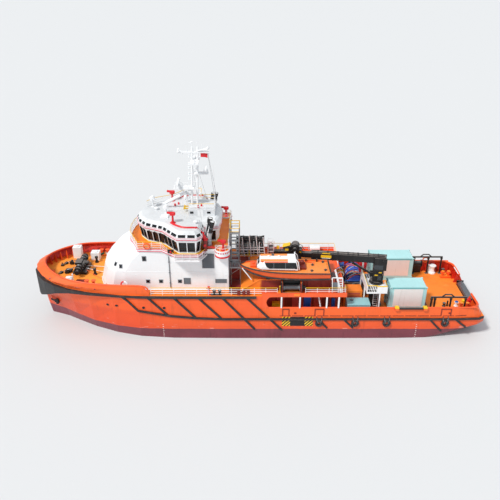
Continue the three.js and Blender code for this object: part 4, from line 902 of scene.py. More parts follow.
def bulwark_gear():
    """Cap rails, stays, slots, gates, panels, scuttles and fairleads of hull and bulwarks."""
    top = [(x, y - WALL / 2, z + 0.03) for _, _, _, x, y, z in BOW_EDGE]
    cap = Shape().pipe(smooth(port_of(top)[::-1] + top, 5), 0.1, 10)
    for side in (1, -1):
        edge = [(x, side * (y - WALL / 2), z + 0.02) for _, _, x, y, z in SIDE_EDGE]
        cap.pipe(smooth(edge, 5), 0.09, 10)
    piece("bulwark_cap_rail", cap, ORANGE)
    edge = [(row[0] + 0.14, row[1] - 0.14, row[2]) for row in BOW_EDGE[:-1]]
    stays("bow_stays", edge[:4], 0.42, 1.0, BOW_RED)
    stays("foredeck_stays", edge[3:], 0.02, 1.0, BOW_RED)
    stays("side_stays", [(11.2, 5.76, DECK), (24.0, 5.76, DECK)], 0.0, 1.3, SIDE_RED)
    stays("quarter_stays", [(25.2, 5.56, DECK), (26.0, 5.42, DECK)], 0.2, 1.2, SIDE_RED)
    stays("stern_stays", [(27.1, 4.5, DECK), (27.1, 2.6, DECK)], 0.62, 1.1, SIDE_RED)
    find = surface("hull", "bulwark_port", "bulwark_starboard")
    for side, label in SIDES:
        slots = Shape()
        for k in range(15):
            fore, aft, low, high = 2.75 + 1.5 * k, 4.08 + 1.5 * k, 3.18, 3.26
            decal(slots, find, [(fore, low), (aft, low), (aft, high), (fore, high)], side, 0.02)
        piece("freeing_slots_" + label, slots, MAROON)
        gates = Shape()
        for x0, x1 in ((3.1, 3.85), (6.95, 8.0), (22.0, 23.15)):
            for x in (x0, x1):
                gates.box(x - 0.045, x + 0.045, side * 5.88, side * 5.965, 3.26, 4.2)
            gates.box(x0, x1, side * 5.88, side * 5.96, 4.12, 4.2)
        for x in (4.6, 23.0):
            gates.box(x - 0.12, x + 0.12, side * 5.88, side * 5.965, 3.52, 3.7)
        piece("bulwark_gates_" + label, gates, MAROON)
        sign = Shape()
        face, low, high = side * (HULL_SIDE + 0.02), 1.8, 3.08
        for fore, aft, coat in ((3.05, 4.03, 0), (4.03, 5.77, 1), (5.77, 6.75, 0)):
            sign.paint(coat).box(fore, aft, side * 5.86, face, low, high)
        piece("hazard_panel_" + label, sign, HAZARD, BLACK)
        marks = Shape()
        for x in (-11.3, 19.2):
            for k in range(7):
                wide = 0.16 if k % 2 else 0.1
                z = 0.14 + k * 0.3
                decal(marks, find, [(x, z), (x + wide, z), (x + wide, z + 0.07), (x, z + 0.07)], side, 0.012)
        piece("draught_ticks_" + label, marks, PANEL)
        ports = Shape()
        for x in (-17.8, -16.7, -13.4, -10.95):
            ports.at(on_wall(find, x, 4.35, side))
            ports.paint(0).pipe(ring_points((0, 0, 0.01), 0.21, 20, "z"), 0.035, 6, closed=True)
            ports.paint(1).turned([(0.2, -0.05), (0.2, 0.02)], (0, 0, 0), 20)
        piece("hull_scuttles_" + label, ports, ORANGE, DARK_GLASS)
        holes = Shape()
        shell = surface("bow_bulwark")
        for x, z, wide in ((-24.6, 7.25, 0.14), (-23.5, 7.0, 0.14), (-21.1, 6.65, 0.42), (-19.0, 6.7, 0.14)):
            holes.at(on_wall(shell, x, z, side))
            oval = []
            for k in range(16):
                t = pi * (k + 0.5) / 8
                stretch = max(0.0, wide - 0.14) * copysign(0.3, cos(t))
                oval.append((wide * cos(t) + stretch, 0.13 * sin(t)))
            holes.paint(0).pipe([(a, b, 0.01) for a, b in oval], 0.035, 6, closed=True)
            holes.paint(1).prism(oval, -0.02, 0.012)
        piece("bow_fairleads_" + label, holes, ORANGE, BLACK)


def fender_gear():
    """Chains and eyes that hold the tyre fenders, and ties round the tyres."""
    for side, label in SIDES:
        for i, x in enumerate(TYRES):
            for lean in (-1, 1):
                eye, bend = (x + lean * 0.3, side * 5.98, 3.05), (x + lean * 0.26, side * 6.2, 2.72)
                ends = [eye, bend, (x + lean * 0.14, side * 6.27, 2.42)]
                name = f"tyre_chain_{label}_{i}{'ab'[lean > 0]}"
                along(name, chain_link(), smooth(ends, 4), 0.1, GALVANISED, roll=90)
    eyes = Shape()
    for side in (1, -1):
        for x in TYRES:
            for lean in (-0.3, 0.3):
                spot = (x + lean, side * 5.97, 3.07)
                eyes.turned([(0.05, -0.06), (0.05, 0.05), (0.03, 0.07)], spot, 8, (0, side, 0))
            for spot in ring_points((x, 0, TYRE_Z), 0.46, 12):
                eyes.bar((spot.x, side * 6.0, spot.z), (spot.x, side * 6.2, spot.z), 0.035, 6)
    piece("tyre_eyes", eyes, RUBBER)


bulwark_gear()
fender_gear()


# FOREDECK

def coil(shape, centre, rounds, rise):
    """A rope wound up a bitt, each round on the last."""
    path, r, steps = [], 0.26, 14
    for k in range(steps * rounds + 1):
        t = 2 * pi * k / steps
        path.append((r * cos(t), r * sin(t), rise * k / steps / rounds))
    shape.at(Matrix.Translation(centre)).pipe(path, 0.035, 5).at()


def windlass_gear():
    """Brakes, gypsies, motor and chains of the windlass."""
    low = span("windlass")[0]
    axis_x, axis_z = -21.9, 7.0
    gear = Shape()
    for side in (-1, 1):
        for y in (0.91, 1.19, 1.51, 1.79):
            gear.turned([(0.46, -0.03), (0.46, 0.03)], (axis_x, side * y, axis_z), 20, (0, 1, 0))
        warping = [(0.3, 0), (0.34, 0.03), (0.2, 0.1), (0.2, 0.34), (0.32, 0.42), (0.3, 0.46)]
        gear.turned(warping, (axis_x, side * 1.84, axis_z), 16, (0, side, 0))
        gear.pad(axis_x, side * 0.72, 0.5, 0.1, 6.5, 7.12)
        gear.bar((axis_x + 0.62, side * 1.05, 6.55), (axis_x + 0.62, side * 1.05, 7.5), 0.03, 6)
        gear.at(Matrix.Translation((axis_x + 0.62, side * 1.05, 7.52)))
        gear.pipe(ring_points((0, 0, 0), 0.2, 12, "z"), 0.02, 5, closed=True)
        gear.bar((-0.2, 0, 0), (0.2, 0, 0), 0.015, 5).bar((0, -0.2, 0), (0, 0.2, 0), 0.015, 5).at()
    gear.turned([(0.28, 0), (0.28, 0.62), (0.22, 0.7)], (axis_x + 0.3, 0, 7.16), 16, (1, 0, 0))
    for k in range(7):
        gear.turned([(0.3, 0.06 + k * 0.08), (0.3, 0.09 + k * 0.08)], (axis_x + 0.3, 0, 7.16), 16, (1, 0, 0))
    gear.box(axis_x - 0.62, axis_x + 0.2, -0.6, 0.6, 7.2, 7.5)
    gear.box(low.x + 0.1, low.x + 0.4, -1.2, 1.2, 6.5, 6.75)
    piece("windlass_gear", gear, BLACK, bevel=0.02)
    for side, label in SIDES:
        y = side * 1.05
        over = [(axis_x + 0.42, y, 6.98), (axis_x, y, 7.46), (axis_x - 0.42, y, 7.2)]
        run = [*over, (-22.9, y, 6.95), (-23.7, y * 1.1, 6.72), (-24.2, y * 1.15, 6.56)]
        along("anchor_chain_" + label, chain_link(0.2, 0.028), smooth(run, 5), 0.15, STEEL, roll=90)
        lips = Shape()
        mouth = [(0.3, -0.15), (0.3, 0.05), (0.24, 0.12), (0.18, 0.08), (0.16, -0.15)]
        lips.turned(mouth, (-24.25, y * 1.15, 6.46), 18, (-0.5, 0, 0.9))
        lips.turned([(0.22, -0.1), (0.22, 0.16), (0.16, 0.2), (0.13, 0.1)], (axis_x + 0.45, y, 6.5), 14)
        lips.box(-23.7, -23.2, y * 1.1 - 0.14, y * 1.1 + 0.14, 6.3, 6.66)
        lips.box(-23.6, -23.3, y * 1.1 - 0.2, y * 1.1 - 0.14, 6.3, 6.9)
        lips.box(-23.6, -23.3, y * 1.1 + 0.14, y * 1.1 + 0.2, 6.3, 6.9)
        lips.bar((-23.45, y * 1.1 - 0.2, 6.84), (-23.45, y * 1.1 + 0.2, 6.84), 0.05, 8)
        piece("chain_stopper_" + label, lips, BLACK, bevel=0.015)


def mooring_gear():
    """Roller pedestals, bitt heads, rope coils, mat, vents and hatch of the foredeck."""
    stands = Shape()
    for x, y in ((-20.5, 2.0), (-20.0, -1.1)):
        z = deck_rise(x)
        pedestal = [(0.26, 0), (0.26, 0.05), (0.16, 0.3), (0.12, 0.55)]
        pedestal += [(0.19, 0.6), (0.2, 0.82), (0.13, 0.92)]
        stands.turned(pedestal, (x, y, z - 0.02), 16)
    z = deck_rise(-24.5)
    stands.box(-24.66, -24.34, 0.42, 0.8, z - 0.02, z + 0.22)
    stands.bar((-24.5, 0.6, z), (-24.5, 0.6, z + 0.5), 0.06, 8)
    stands.box(-23.45, -22.95, -1.02, -0.6, deck_rise(-23.2) - 0.02, deck_rise(-23.2) + 0.28)
    stands.turned([(0.14, 0), (0.14, 0.7)], (-23.5, -0.8, deck_rise(-23.2) + 0.36), 12, (1, 0, 0))
    piece("deck_stands", stands, BLACK, bevel=0.02)
    heads = Shape()
    for x, y, z in ((-19.9, -3.9, 6.16), (-19.9, 4.1, 6.16), (25.4, -3.9, DECK), (25.4, 3.9, DECK)):
        for dx in (-0.4, 0.4):
            heads.turned([(0.23, 0.0), (0.3, 0.03), (0.3, 0.07), (0.2, 0.1)], (x + dx, y, z + 0.72), 14)
    piece("bitt_heads", heads, ORANGE)
    ropes = Shape()
    for y, rounds, rise in ((4.1, 5, 0.37), (-3.9, 4, 0.3)):
        coil(ropes.paint(0), (-20.3, y, 6.2), 4, 0.3)
        coil(ropes.paint(1), (-19.5, y, 6.2), rounds, rise)
    piece("mooring_ropes", ropes, ROPE_GREEN, ROPE_WHITE)
    rods = Shape()
    rods.paint(0).bar((-21.2, 0.3, 6.62), (-19.1, 0.6, 6.3), 0.035, 6)
    rods.bar((-21.2, -0.35, 6.62), (-19.1, -0.7, 6.3), 0.035, 6)
    rods.paint(1).bar((-21.1, -0.75, 6.6), (-19.1, -2.2, 6.25), 0.03, 6)
    piece("control_rods", rods, WHITE, ORANGE)
    mat = Shape().box(-21.9, -20.8, -3.35, -2.55, 6.2, 6.31)
    piece("deck_mat", mat, MAROON, bevel=0.02)
    vents = Shape()
    # Each vent: x, y, width, depth, foot and top.
    table = (
        (-23.1, 3.1, 1.0, 0.8, 6.35, 7.9),
        (-20.8, 2.95, 1.0, 0.9, 6.15, 7.2),
        (-22.45, -3.75, 0.7, 0.7, 6.25, 7.2),
    )
    cowl = [(0.2, -0.05), (0.2, 0.05), (0.3, 0.06), (0.3, 0.12), (0.1, 0.14)]
    for x, y, wide, deep, foot, top in table:
        vents.turned(cowl, (x, y, top), 18)
        vents.pad(x, y, wide / 2 + 0.03, deep / 2 + 0.03, foot - 0.1, top + 0.03)
        for k in range(4):
            slat = foot + 0.3 + k * 0.14
            vents.pad(x, y, wide * 0.35, deep / 2 + 0.055, slat, slat + 0.05)
    pipe = [(0.06, 0), (0.06, 0.85), (0.1, 0.9), (0.1, 1.02), (0.02, 1.1)]
    vents.turned(pipe, (-22.2, -3.0, deck_rise(-22.2) - 0.02), 10)
    piece("deck_vents", vents, WHITE, bevel=0.02)
    hatch = Shape()
    z = deck_rise(-25.2)
    hatch.paint(0).box(-25.6, -25.0, -1.5, -0.9, z - 0.02, z + 0.24)
    for y in (-1.54, -0.86):
        for x in (-25.5, -25.1):
            hatch.paint(1).pad(x, y, 0.03, 0.03, z + 0.1, z + 0.28)
    piece("store_hatch", hatch, ORANGE, BLACK, bevel=0.03)


windlass_gear()
mooring_gear()


# HOUSE AND WHEELHOUSE

# Windows in the house's side: x, z, width and height.
HOUSE_WINDOWS = [
    (-12.84, 7.2, 0.34, 0.3),
    (-11.3, 7.2, 0.34, 0.3),
    (-9.06, 7.2, 0.34, 0.3),
    (-13.06, 10.23, 0.36, 0.48),
]


def glazed(shape, wide, high):
    """A framed window in the wall's frame: the first finish for its frame and the second for its glass."""
    rim = 0.06
    shape.paint(0)
    for x in (-wide / 2 - rim, wide / 2):
        shape.box(x, x + rim, -high / 2 - rim, high / 2 + rim, -0.03, 0.045)
    for y in (-high / 2 - rim, high / 2):
        shape.box(-wide / 2, wide / 2, y, y + rim, -0.03, 0.045)
    shape.paint(1).box(-wide / 2, wide / 2, -high / 2, high / 2, -0.03, 0.02)
    brow = wide / 2 + rim * 1.4
    shape.paint(0).box(-brow, brow, high / 2 + rim, high / 2 + rim + 0.03, -0.03, 0.09)


def louvre(name, find, x, z, wide, high, side, slats, finish):
    """A framed grille on the side wall, its slats in an even row."""
    frame_here = on_wall(find, x, z, side)
    rim = Shape().at(frame_here)
    for a in (-wide / 2, wide / 2 - 0.05):
        rim.box(a, a + 0.05, -high / 2, high / 2, -0.03, 0.07)
    for b in (-high / 2, high / 2 - 0.05):
        rim.box(-wide / 2, wide / 2, b, b + 0.05, -0.03, 0.07)
    rim.box(-wide / 2, wide / 2, -high / 2, high / 2, -0.03, 0.012)
    piece(name + "_frame", rim, finish)
    step = (high - 0.1) / slats
    reach, low = wide / 2 - 0.04, -0.4 * step
    blade = [(-reach, low, 0.01), (reach, low, 0.01), (reach, low, 0.06), (-reach, low, 0.06)]
    top = [(a, b + step * 0.55, c - 0.03 if c > 0.03 else c - 0.01) for a, b, c in blade]
    first = frame_here @ Matrix.Translation((0, -high / 2 + 0.05 + step / 2, 0))
    slat = Shape().at(first).loft([blade, top])
    row(name + "_slats", slat, slats, frame_here.to_3x3() @ Vector((0, step, 0)), finish)


def house_sides():
    """Windows, grilles, pipes and fittings on the house."""
    find = surface("superstructure")
    for side, label in reversed(SIDES):
        panes = Shape()
        for x, z, wide, high in HOUSE_WINDOWS:
            glazed(panes.at(on_wall(find, x, z, side)), wide, high)
        for x in (-16.6, -15.9):
            glazed(panes.at(on_wall(find, x, 9.15, side)), 0.26, 0.34)
        piece("house_windows_" + label, panes, GREY, DARK_GLASS)
        louvre("engine_grille_" + label, find, -5.65, 9.95, 1.4, 1.9, side, 16, GREY)
        louvre("galley_grille_" + label, find, -4.2, 7.26 if side < 0 else 8.4, 1.35, 0.5, side, 5, GREY)
        louvre("fan_grille_" + label, find, -8.2, 7.26, 0.8, 0.8, side, 7, GREY)
        pipes = Shape()
        wall, y = side * HOUSE_SIDE, side * (HOUSE_SIDE + 0.06)
        pipes.paint(1).pipe([(-10.2, y, 6.3), (-10.2, y, 10.85), (-10.2, y - side * 0.1, 11.2)], 0.05, 8)
        for z in (7.0, 8.4, 9.8):
            pipes.box(-10.29, -10.11, y - 0.08, y + 0.07, z, z + 0.06)
        pipes.paint(0).box(-15.8, HOUSE_AFT, wall - 0.02, wall + 0.02, 8.5, 8.54)
        for x in (-14.2, -7.0, -3.6):
            pipes.paint(0).box(x - 0.12, x + 0.12, wall - 0.02, wall + 0.16, 8.05, 8.16)
            pipes.paint(2).box(x - 0.09, x + 0.09, wall - 0.02, wall + 0.13, 7.97, 8.06)
        piece("house_pipes_" + label, pipes, WHITE, GREY, LAMP, bevel=0.01)
        locker = Shape()
        x, y = -5.6, side * 5.6
        locker.paint(0).pad(x, y, 0.16, 0.12, 6.0, 6.72)
        locker.turned([(0.09, 0), (0.09, 0.3), (0.16, 0.32), (0.16, 0.38)], (x, y, 6.7), 12)
        branch = [(0.06, 0), (0.06, 0.24), (0.08, 0.26), (0.08, 0.3)]
        for lean in (-1, 1):
            locker.turned(branch, (x, y, 6.84), 8, (lean, 0, 0.2))
        locker.paint(1)
        for dx in (0.62, 1.27):
            locker.turned([(0.17, 0), (0.17, 0.5), (0.24, 0.54), (0.24, 0.62)], (x + dx, y, 6.0), 14)
        locker.box(x + 0.2, x + 1.5, y - 0.2, y + 0.2, 6.0, 6.05)
        locker.paint(2)
        for dx in (3.5, 4.1, 4.6):
            locker.pad(x + dx, y, 0.18, 0.2, 6.0, 6.55)
        piece("deck_hydrant_" + label, locker, RED, BLACK, MAROON, bevel=0.02)
        ring = Shape().at(Matrix.Translation((-15.5, side * 5.42, 7.3)))
        for k in range(4):
            quarter = [pi * (k / 2 + j / 12) for j in range(7)]
            ring.paint(k % 2).pipe([(0.36 * cos(t), 0, 0.36 * sin(t)) for t in quarter], 0.09, 8)
        piece("lifebuoy_" + label, ring, WHITE, RED)
    foot = outline("superstructure", 6.1)
    front = sorted((p for p in foot if p.x < -15.5), key=lambda p: p.y)
    knee = Shape().prism([(-0.16, 0.0), (0.05, 0.0), (0.05, 0.55), (-0.02, 0.5)], -0.02, 0.02, "x")
    along("house_foot_knees", knee, lifted(front, 6.02), 0.6, WHITE)
    skirt = Shape().pipe(lifted(foot, 6.08), 0.07, 6, closed=True)
    piece("house_foot_bar", skirt, WHITE)


def house_aft():
    """Windows, a door, lamps and pipes of the aft wall."""
    wall = Matrix(((0, 0, 1, HOUSE_AFT), (1, 0, 0, 0), (0, 1, 0, 0), (0, 0, 0, 1)))
    panes = Shape()
    for y, z in ((-3.4, 9.9), (-2.3, 9.9), (2.3, 9.9), (3.4, 9.9), (3.4, 7.5), (-3.4, 7.5)):
        glazed(panes.at(wall @ Matrix.Translation((y, z, 0))), 0.55, 0.6)
    piece("aft_windows", panes, GREY, DARK_GLASS)
    fit = Shape().at(Matrix.Translation((HOUSE_AFT, 0, 0)))
    for y in (-4.2, 4.2):
        fit.paint(1).bar((0.08, y, 6.2), (0.08, y, 11.2), 0.06, 8)
    fit.paint(0).box(-0.02, 0.03, 0.9, 1.75, 6.2, 8.15).box(0, 0.07, 0.98, 1.67, 6.3, 8.08)
    fit.paint(2).bar((0.1, 1.08, 7.1), (0.1, 1.08, 7.35), 0.025, 6)
    for y in (-2.9, 0.0, 2.9):
        fit.paint(0).box(-0.02, 0.3, y - 0.15, y + 0.15, 10.75, 10.95)
        fit.paint(3).box(0.05, 0.27, y - 0.12, y + 0.12, 10.68, 10.76)
    piece("aft_fittings", fit, WHITE, GREY, BLACK, LAMP, bevel=0.015)


house_sides()
house_aft()


# BRIDGE DECK, WHEELHOUSE AND ROOF

CATWALK = [(-10.22, 4.66), (-9.36, 6.12), (-6.54, 6.12), (-5.78, 4.66)]  # plan of the walk under a wing
CATWALK_FLOOR = 10.8
MAIN_RED = 0.115  # radius of the thin fire main
TRUNK = 0.25  # radius of the thick fire main below the roof
TRUNK_Y = 4.75
# Exhaust pipes above their bend: x at the bend, x at the mouth, y and the mouth's height.
EXHAUSTS = ((-5.72, -5.3, 3.74, 15.0), (-5.45, -5.05, 4.28, 14.8))
BEND = 12.9


def around(loop, gap):
    """A path round a symmetric loop from the starboard side of an opening aft to its port side."""
    half = [loop[0]] + [p for p in loop if p.y < -gap]
    half.append(Vector((half[-1].x, -gap)))
    return [Vector((p.x, -p.y)) for p in half[:0:-1]] + half


def bridge_rails():
    """Rails, edge lines and fittings of the bridge deck."""
    edge = outline("bridge_deck", BRIDGE + 0.05)
    round_bow = lambda p: atan2(p.y, -(p.x + 4))
    forward = sorted((p for p in inset(edge, 0.05) if p.x < -10.5), key=round_bow)
    first = (forward[0].x + 0.6, forward[0].y - 0.2, BRIDGE - 0.5)
    last = (forward[-1].x + 0.6, forward[-1].y + 0.2, BRIDGE - 0.5)
    path = [first, *lifted(forward, BRIDGE + 0.08), last]
    railing("bridge_rail", path, 0.92, 4, 1.0, 0.026)
    for label, path in (("starboard", [(-3.3, 3.9), (-3.3, 0.3)]), ("port", [(-3.3, -3.9), (-3.3, -2.4)])):
        railing("aft_rail_" + label, lifted(path, BRIDGE + 0.08), 0.98, 4, 0.8, 0.026)
    for label, path in (("starboard", CATWALK), ("port", port_of(CATWALK))):
        railing("catwalk_rail_" + label, lifted(path, CATWALK_FLOOR), 0.9, 3, 0.8, 0.026)
    line = Shape()
    fore = sorted((p for p in edge if p.x < -5.5), key=round_bow)
    for z, r in ((BRIDGE + 0.06, 0.045), (BRIDGE - 0.2, 0.035)):
        line.pipe(lifted(fore, z), r, 6)
    piece("bridge_edge_line", line, PINK_LINE)
    boards = Shape()
    for side in (-1, 1):
        boards.paint(0).pad(-9.75, side * 5.68, 0.35, 0.03, BRIDGE + 0.1, BRIDGE + 0.6)
        boards.paint(1 if side < 0 else 2)
        boards.turned([(0.09, 0), (0.09, 0.2)], (-9.75, side * 5.8, BRIDGE + 0.25), 10)
    piece("side_lights", boards, BLACK, RED, ROPE_GREEN)
    buoys = Shape()
    for side in (-1, 1):
        buoys.pipe(ring_points((-12.6, side * 4.78, BRIDGE + 0.55), 0.34, 16), 0.08, 8, closed=True)
    piece("rail_lifebuoys", buoys, ORANGE)


def balconies():
    """Rims, foot rings and painted spots of the round balconies at the aft corners."""
    high = span("bridge_deck")[1].z
    around_it = turns(40)
    rims = Shape()
    for side in (-1, 1):
        spot = lambda t, r, z: Vector((-3.95 + r * cos(t), side * TRUNK_Y + r * sin(t), z))
        in_turn = lambda t: atan2(sin(t) * side, cos(t))
        rims.paint(0).pipe([spot(t, 0.81, high) for t in around_it], 0.055, 8, closed=True)
        open_part = sorted((t for t in around_it if sin(t) * side > -0.2), key=in_turn)
        for z in (high + 0.4, high + 0.02):
            rims.pipe([spot(t, 0.81, z) for t in open_part], 0.022, 6)
        for t in open_part[::5]:
            rims.bar(spot(t, 0.81, high), spot(t, 0.81, high + 0.42), 0.022, 6)
        ring = sorted((t for t in around_it if sin(t) * side > -0.3), key=in_turn)
        rims.paint(1).pipe([spot(t, 0.76, 10.87) for t in ring], 0.13, 10)
        for t in ring[::2]:
            button = [(0.085, 0), (0.085, 0.03), (0.05, 0.045)]
            rims.turned(button, spot(t, 0.84, high - 0.2), 10, (cos(t), sin(t), 0))
    piece("balcony_rims", rims, WHITE, RED)


def wheelhouse_windows():
    """Gaskets and wipers of the wheelhouse windows, which lean outward."""
    wall = outline("wheelhouse", BRIDGE + 0.08)
    slope = WALL_LEAN / (span("wheelhouse")[1].z - SILL)
    gaskets, wipers = Shape(), Shape()
    for a, b in zip(wall, wall[1:] + wall[:1]):
        length = (b - a).length
        if length < 0.5 or min(a.x, b.x) > -5:
            continue
        panes = max(1, round(length / PANE_PITCH))
        along_wall = ((b - a) / length).to_3d()
        out = Vector((along_wall.y, -along_wall.x, 0))
        up = (Vector((0, 0, 1)) + out * slope).normalized()
        for k in range(panes):
            spot = (a + (b - a) * (k + 0.5) / panes).to_3d() + Vector((0, 0, (SILL + HEAD) / 2))
            here = Matrix((along_wall, up, along_wall.cross(up))).transposed().to_4x4()
            here.translation = spot + out * slope * (HEAD - SILL) / 2
            wide, high = length / panes - PANE_GAP, (HEAD - SILL) * hypot(1, slope)
            gaskets.at(here)
            for x in (-wide / 2 - 0.03, wide / 2 - 0.02):
                gaskets.box(x, x + 0.05, -high / 2 - 0.03, high / 2 + 0.03, -0.1, 0.02)
            for y in (-high / 2 - 0.03, high / 2 - 0.02):
                gaskets.box(-wide / 2, wide / 2, y, y + 0.05, -0.1, 0.02)
            if spot.x < -9.0:
                wipers.at(here).bar((0, high / 2 + 0.02, 0.05), (wide * 0.22, -high * 0.25, 0.03), 0.014, 5)
                wipers.bar((wide * 0.16, -high * 0.38, 0.02), (wide * 0.28, -high * 0.05, 0.02), 0.016, 5)
                wipers.box(-0.08, 0.08, high / 2 + 0.02, high / 2 + 0.12, -0.02, 0.08)
    piece("window_gaskets", gaskets, BLACK)
    piece("window_wipers", wipers, BLACK)
    ledge = Shape().pipe(lifted(inset(around(wall, 0.6), -0.02), SILL - 0.06), 0.035, 6)
    piece("window_ledge", ledge, WHITE)
    foot = Shape().pipe(lifted(inset(around(wall, 0.6), -0.03), BRIDGE + 0.1), 0.045, 6)
    piece("wall_foot", foot, YELLOW)


def roof_edge():
    """The dark panes let into the sloped roof edge, and the lines round it."""
    find = surface("wheelhouse_roof")
    middle, tall = 13.82, 0.17
    loop = outline("wheelhouse_roof", middle)
    panes = Shape()
    for a, b in zip(loop, loop[1:] + loop[:1]):
        length = (b - a).length
        if length < 0.5 or max(a.x, b.x) > -4.9:
            continue
        count = max(1, round(length / 0.95))
        run = ((b - a) / length).to_3d()
        out = Vector((run.y, -run.x, 0))
        for k in range(count):
            spot = (a + (b - a) * (k + 0.5) / count).to_3d() + Vector((0, 0, middle))
            hit, normal = find(spot + (out + Vector((0, 0, 1))) * 2, -out - Vector((0, 0, 1)))
            here = Matrix((run, normal.cross(run), normal)).transposed().to_4x4()
            here.translation = hit
            half = length / count / 2 - 0.11
            panes.at(here).paint(0).box(-half, half, -tall, tall, -0.02, 0.012)
            panes.paint(1)
            for y in (-tall - 0.03, tall):
                panes.box(-half - 0.03, half + 0.03, y, y + 0.03, -0.02, 0.03)
            for x in (-half - 0.03, half):
                panes.box(x, x + 0.03, -tall, tall, -0.02, 0.03)
    piece("roof_edge_panes", panes, DARK_GLASS, WHITE)
    line = Shape().pipe(lifted(outline("wheelhouse_roof", 13.42), 13.42), 0.04, 6, closed=True)
    line.pipe(lifted(outline("wheelhouse_roof", 13.58), 13.6), 0.018, 6, closed=True)
    piece("roof_edge_line", line, PINK_LINE)
    edge = inset(outline("wheelhouse_roof", ROOF - 0.1), 0.35)
    far = sorted((p for p in edge if p.y > 0.3 and p.x < -5.0), key=lambda p: atan2(p.y, -(p.x + 8)))
    railing("roof_rail", lifted(far, ROOF), 0.75, 3, 1.1, 0.024)


def lamp_house(shape, x, y, z):
    """A square lamp on a yoke and a post."""
    shape.paint(0).bar((x, y, ROOF - 0.05), (x, y, z), 0.08, 8)
    shape.turned([(0.2, 0), (0.2, 0.05), (0.1, 0.1)], (x, y, ROOF - 0.02), 12)
    shape.pad(x, y, 0.08, 0.34, z - 0.04, z + 0.04)
    for dy in (-0.34, 0.34):
        shape.pad(x, y + dy, 0.06, 0.02, z, z + 0.4)
    tilt = Matrix.Translation((x, y, z + 0.36)) @ Matrix.Rotation(radians(-32), 4, "Y")
    sections = ((-0.26, 0.3, 0.24), (0.18, 0.3, 0.24), (0.3, 0.16, 0.14))
    shape.at(tilt).loft([[(x, -a, -b), (x, a, -b), (x, a, b), (x, -a, b)] for x, a, b in sections])
    shape.paint(1).box(-0.28, -0.25, -0.25, 0.25, -0.19, 0.19)
    shape.at()


def roof_gear():
    """Lamps, beam, hatch, vents and aerials on the wheelhouse roof."""
    lamps = Shape()
    lamp_house(lamps, -12.55, 1.2, 15.05)
    lamp_house(lamps, -10.7, -0.75, 14.7)
    piece("searchlights", lamps, WHITE, LAMP, bevel=0.02)
    beam = Shape().bar((-11.0, 0.9, 14.9), (-8.26, 0.2, 16.6), 0.19, 10)
    beam.bar((-8.26, 0.2, 16.6), (-7.75, 0.1, 16.2), 0.1, 8)
    beam.bar((-10.9, 0.9, 14.9), (-11.0, 0.95, 14.2), 0.1, 8)
    beam.bar((-8.3, 0.2, 16.5), (-8.2, 0.2, 15.0), 0.07, 8)
    beam.box(-11.25, -10.85, 0.7, 1.1, 14.78, 15.02)
    piece("roof_beam", beam, WHITE, bevel=0.02)
    top = Shape()
    top.paint(0).box(-11.2, -10.3, -2.2, -1.4, ROOF - 0.02, ROOF + 0.16)
    top.turned([(0.22, 0), (0.25, 0.22), (0.14, 0.42), (0.02, 0.46)], (-8.7, 2.6, ROOF + 0.5), 16)
    top.bar((-8.7, 2.6, ROOF - 0.05), (-8.7, 2.6, ROOF + 0.55), 0.06, 8)
    for x, y in ((-12.0, 0.3), (-7.0, -3.6), (-6.8, 3.4)):
        top.turned([(0.16, 0), (0.16, 0.2), (0.26, 0.22), (0.26, 0.3), (0.05, 0.4)], (x, y, ROOF - 0.02), 14)
    for y in (-1.56, 1.52):
        top.box(-6.9, -6.2, y, y + 0.04, ROOF, ROOF + 0.72)
    top.paint(1)
    for x, y in ((-7.6, -1.52), (-5.6, -1.52), (-7.6, 1.52), (-5.6, 1.52)):
        top.pad(x, y, 0.2, 0.02, ROOF + 0.3, ROOF + 0.55)
    top.paint(2)
    for x, y in ((-9.9, 1.5), (-9.5, 1.9), (-6.9, -0.9), (-6.5, -0.6)):
        top.turned([(0.1, 0), (0.12, 0.1), (0.1, 0.3)], (x, y, (MAST_HOUSE if x > -8 else ROOF) - 0.02), 10)
    piece("roof_fittings", top, WHITE, DARK_GLASS, RED, bevel=0.015)
    for label, y in (("port", -1.42), ("starboard", 1.42)):
        path = [(-4.98, y, MAST_HOUSE), (-7.9, y, MAST_HOUSE)]
        railing("mast_house_rail_" + label, path, 0.7, 2, 0.9, 0.024)
    whips = Shape()
    spots = (
        (-4.95, -0.9, 15.0, 20.6), (-5.0, 0.5, 15.0, 19.9),
        (-5.2, 3.2, ROOF, 18.6), (-9.9, -0.6, ROOF, 16.6),
    )
    for x, y, z0, z1 in spots:
        whips.bar((x, y, z0 - 0.1), (x, y, z0 + 0.5), 0.05, 8)
        whips.bar((x, y, z0 + 0.5), (x, y, z1), 0.022, 6, 0.01)
    piece("whip_aerials", whips, WHITE)
    horn = Shape()
    trumpet = [(0.05, 0), (0.06, 0.3), (0.12, 0.5), (0.2, 0.6), (0.2, 0.63)]
    for y in (-0.3, 0.3):
        horn.turned(trumpet, (-8.02, y, 14.75), 14, (-1, 0, 0))
    horn.box(-8.1, -7.95, -0.45, 0.45, 14.6, 14.7)
    piece("horns", horn, YELLOW)


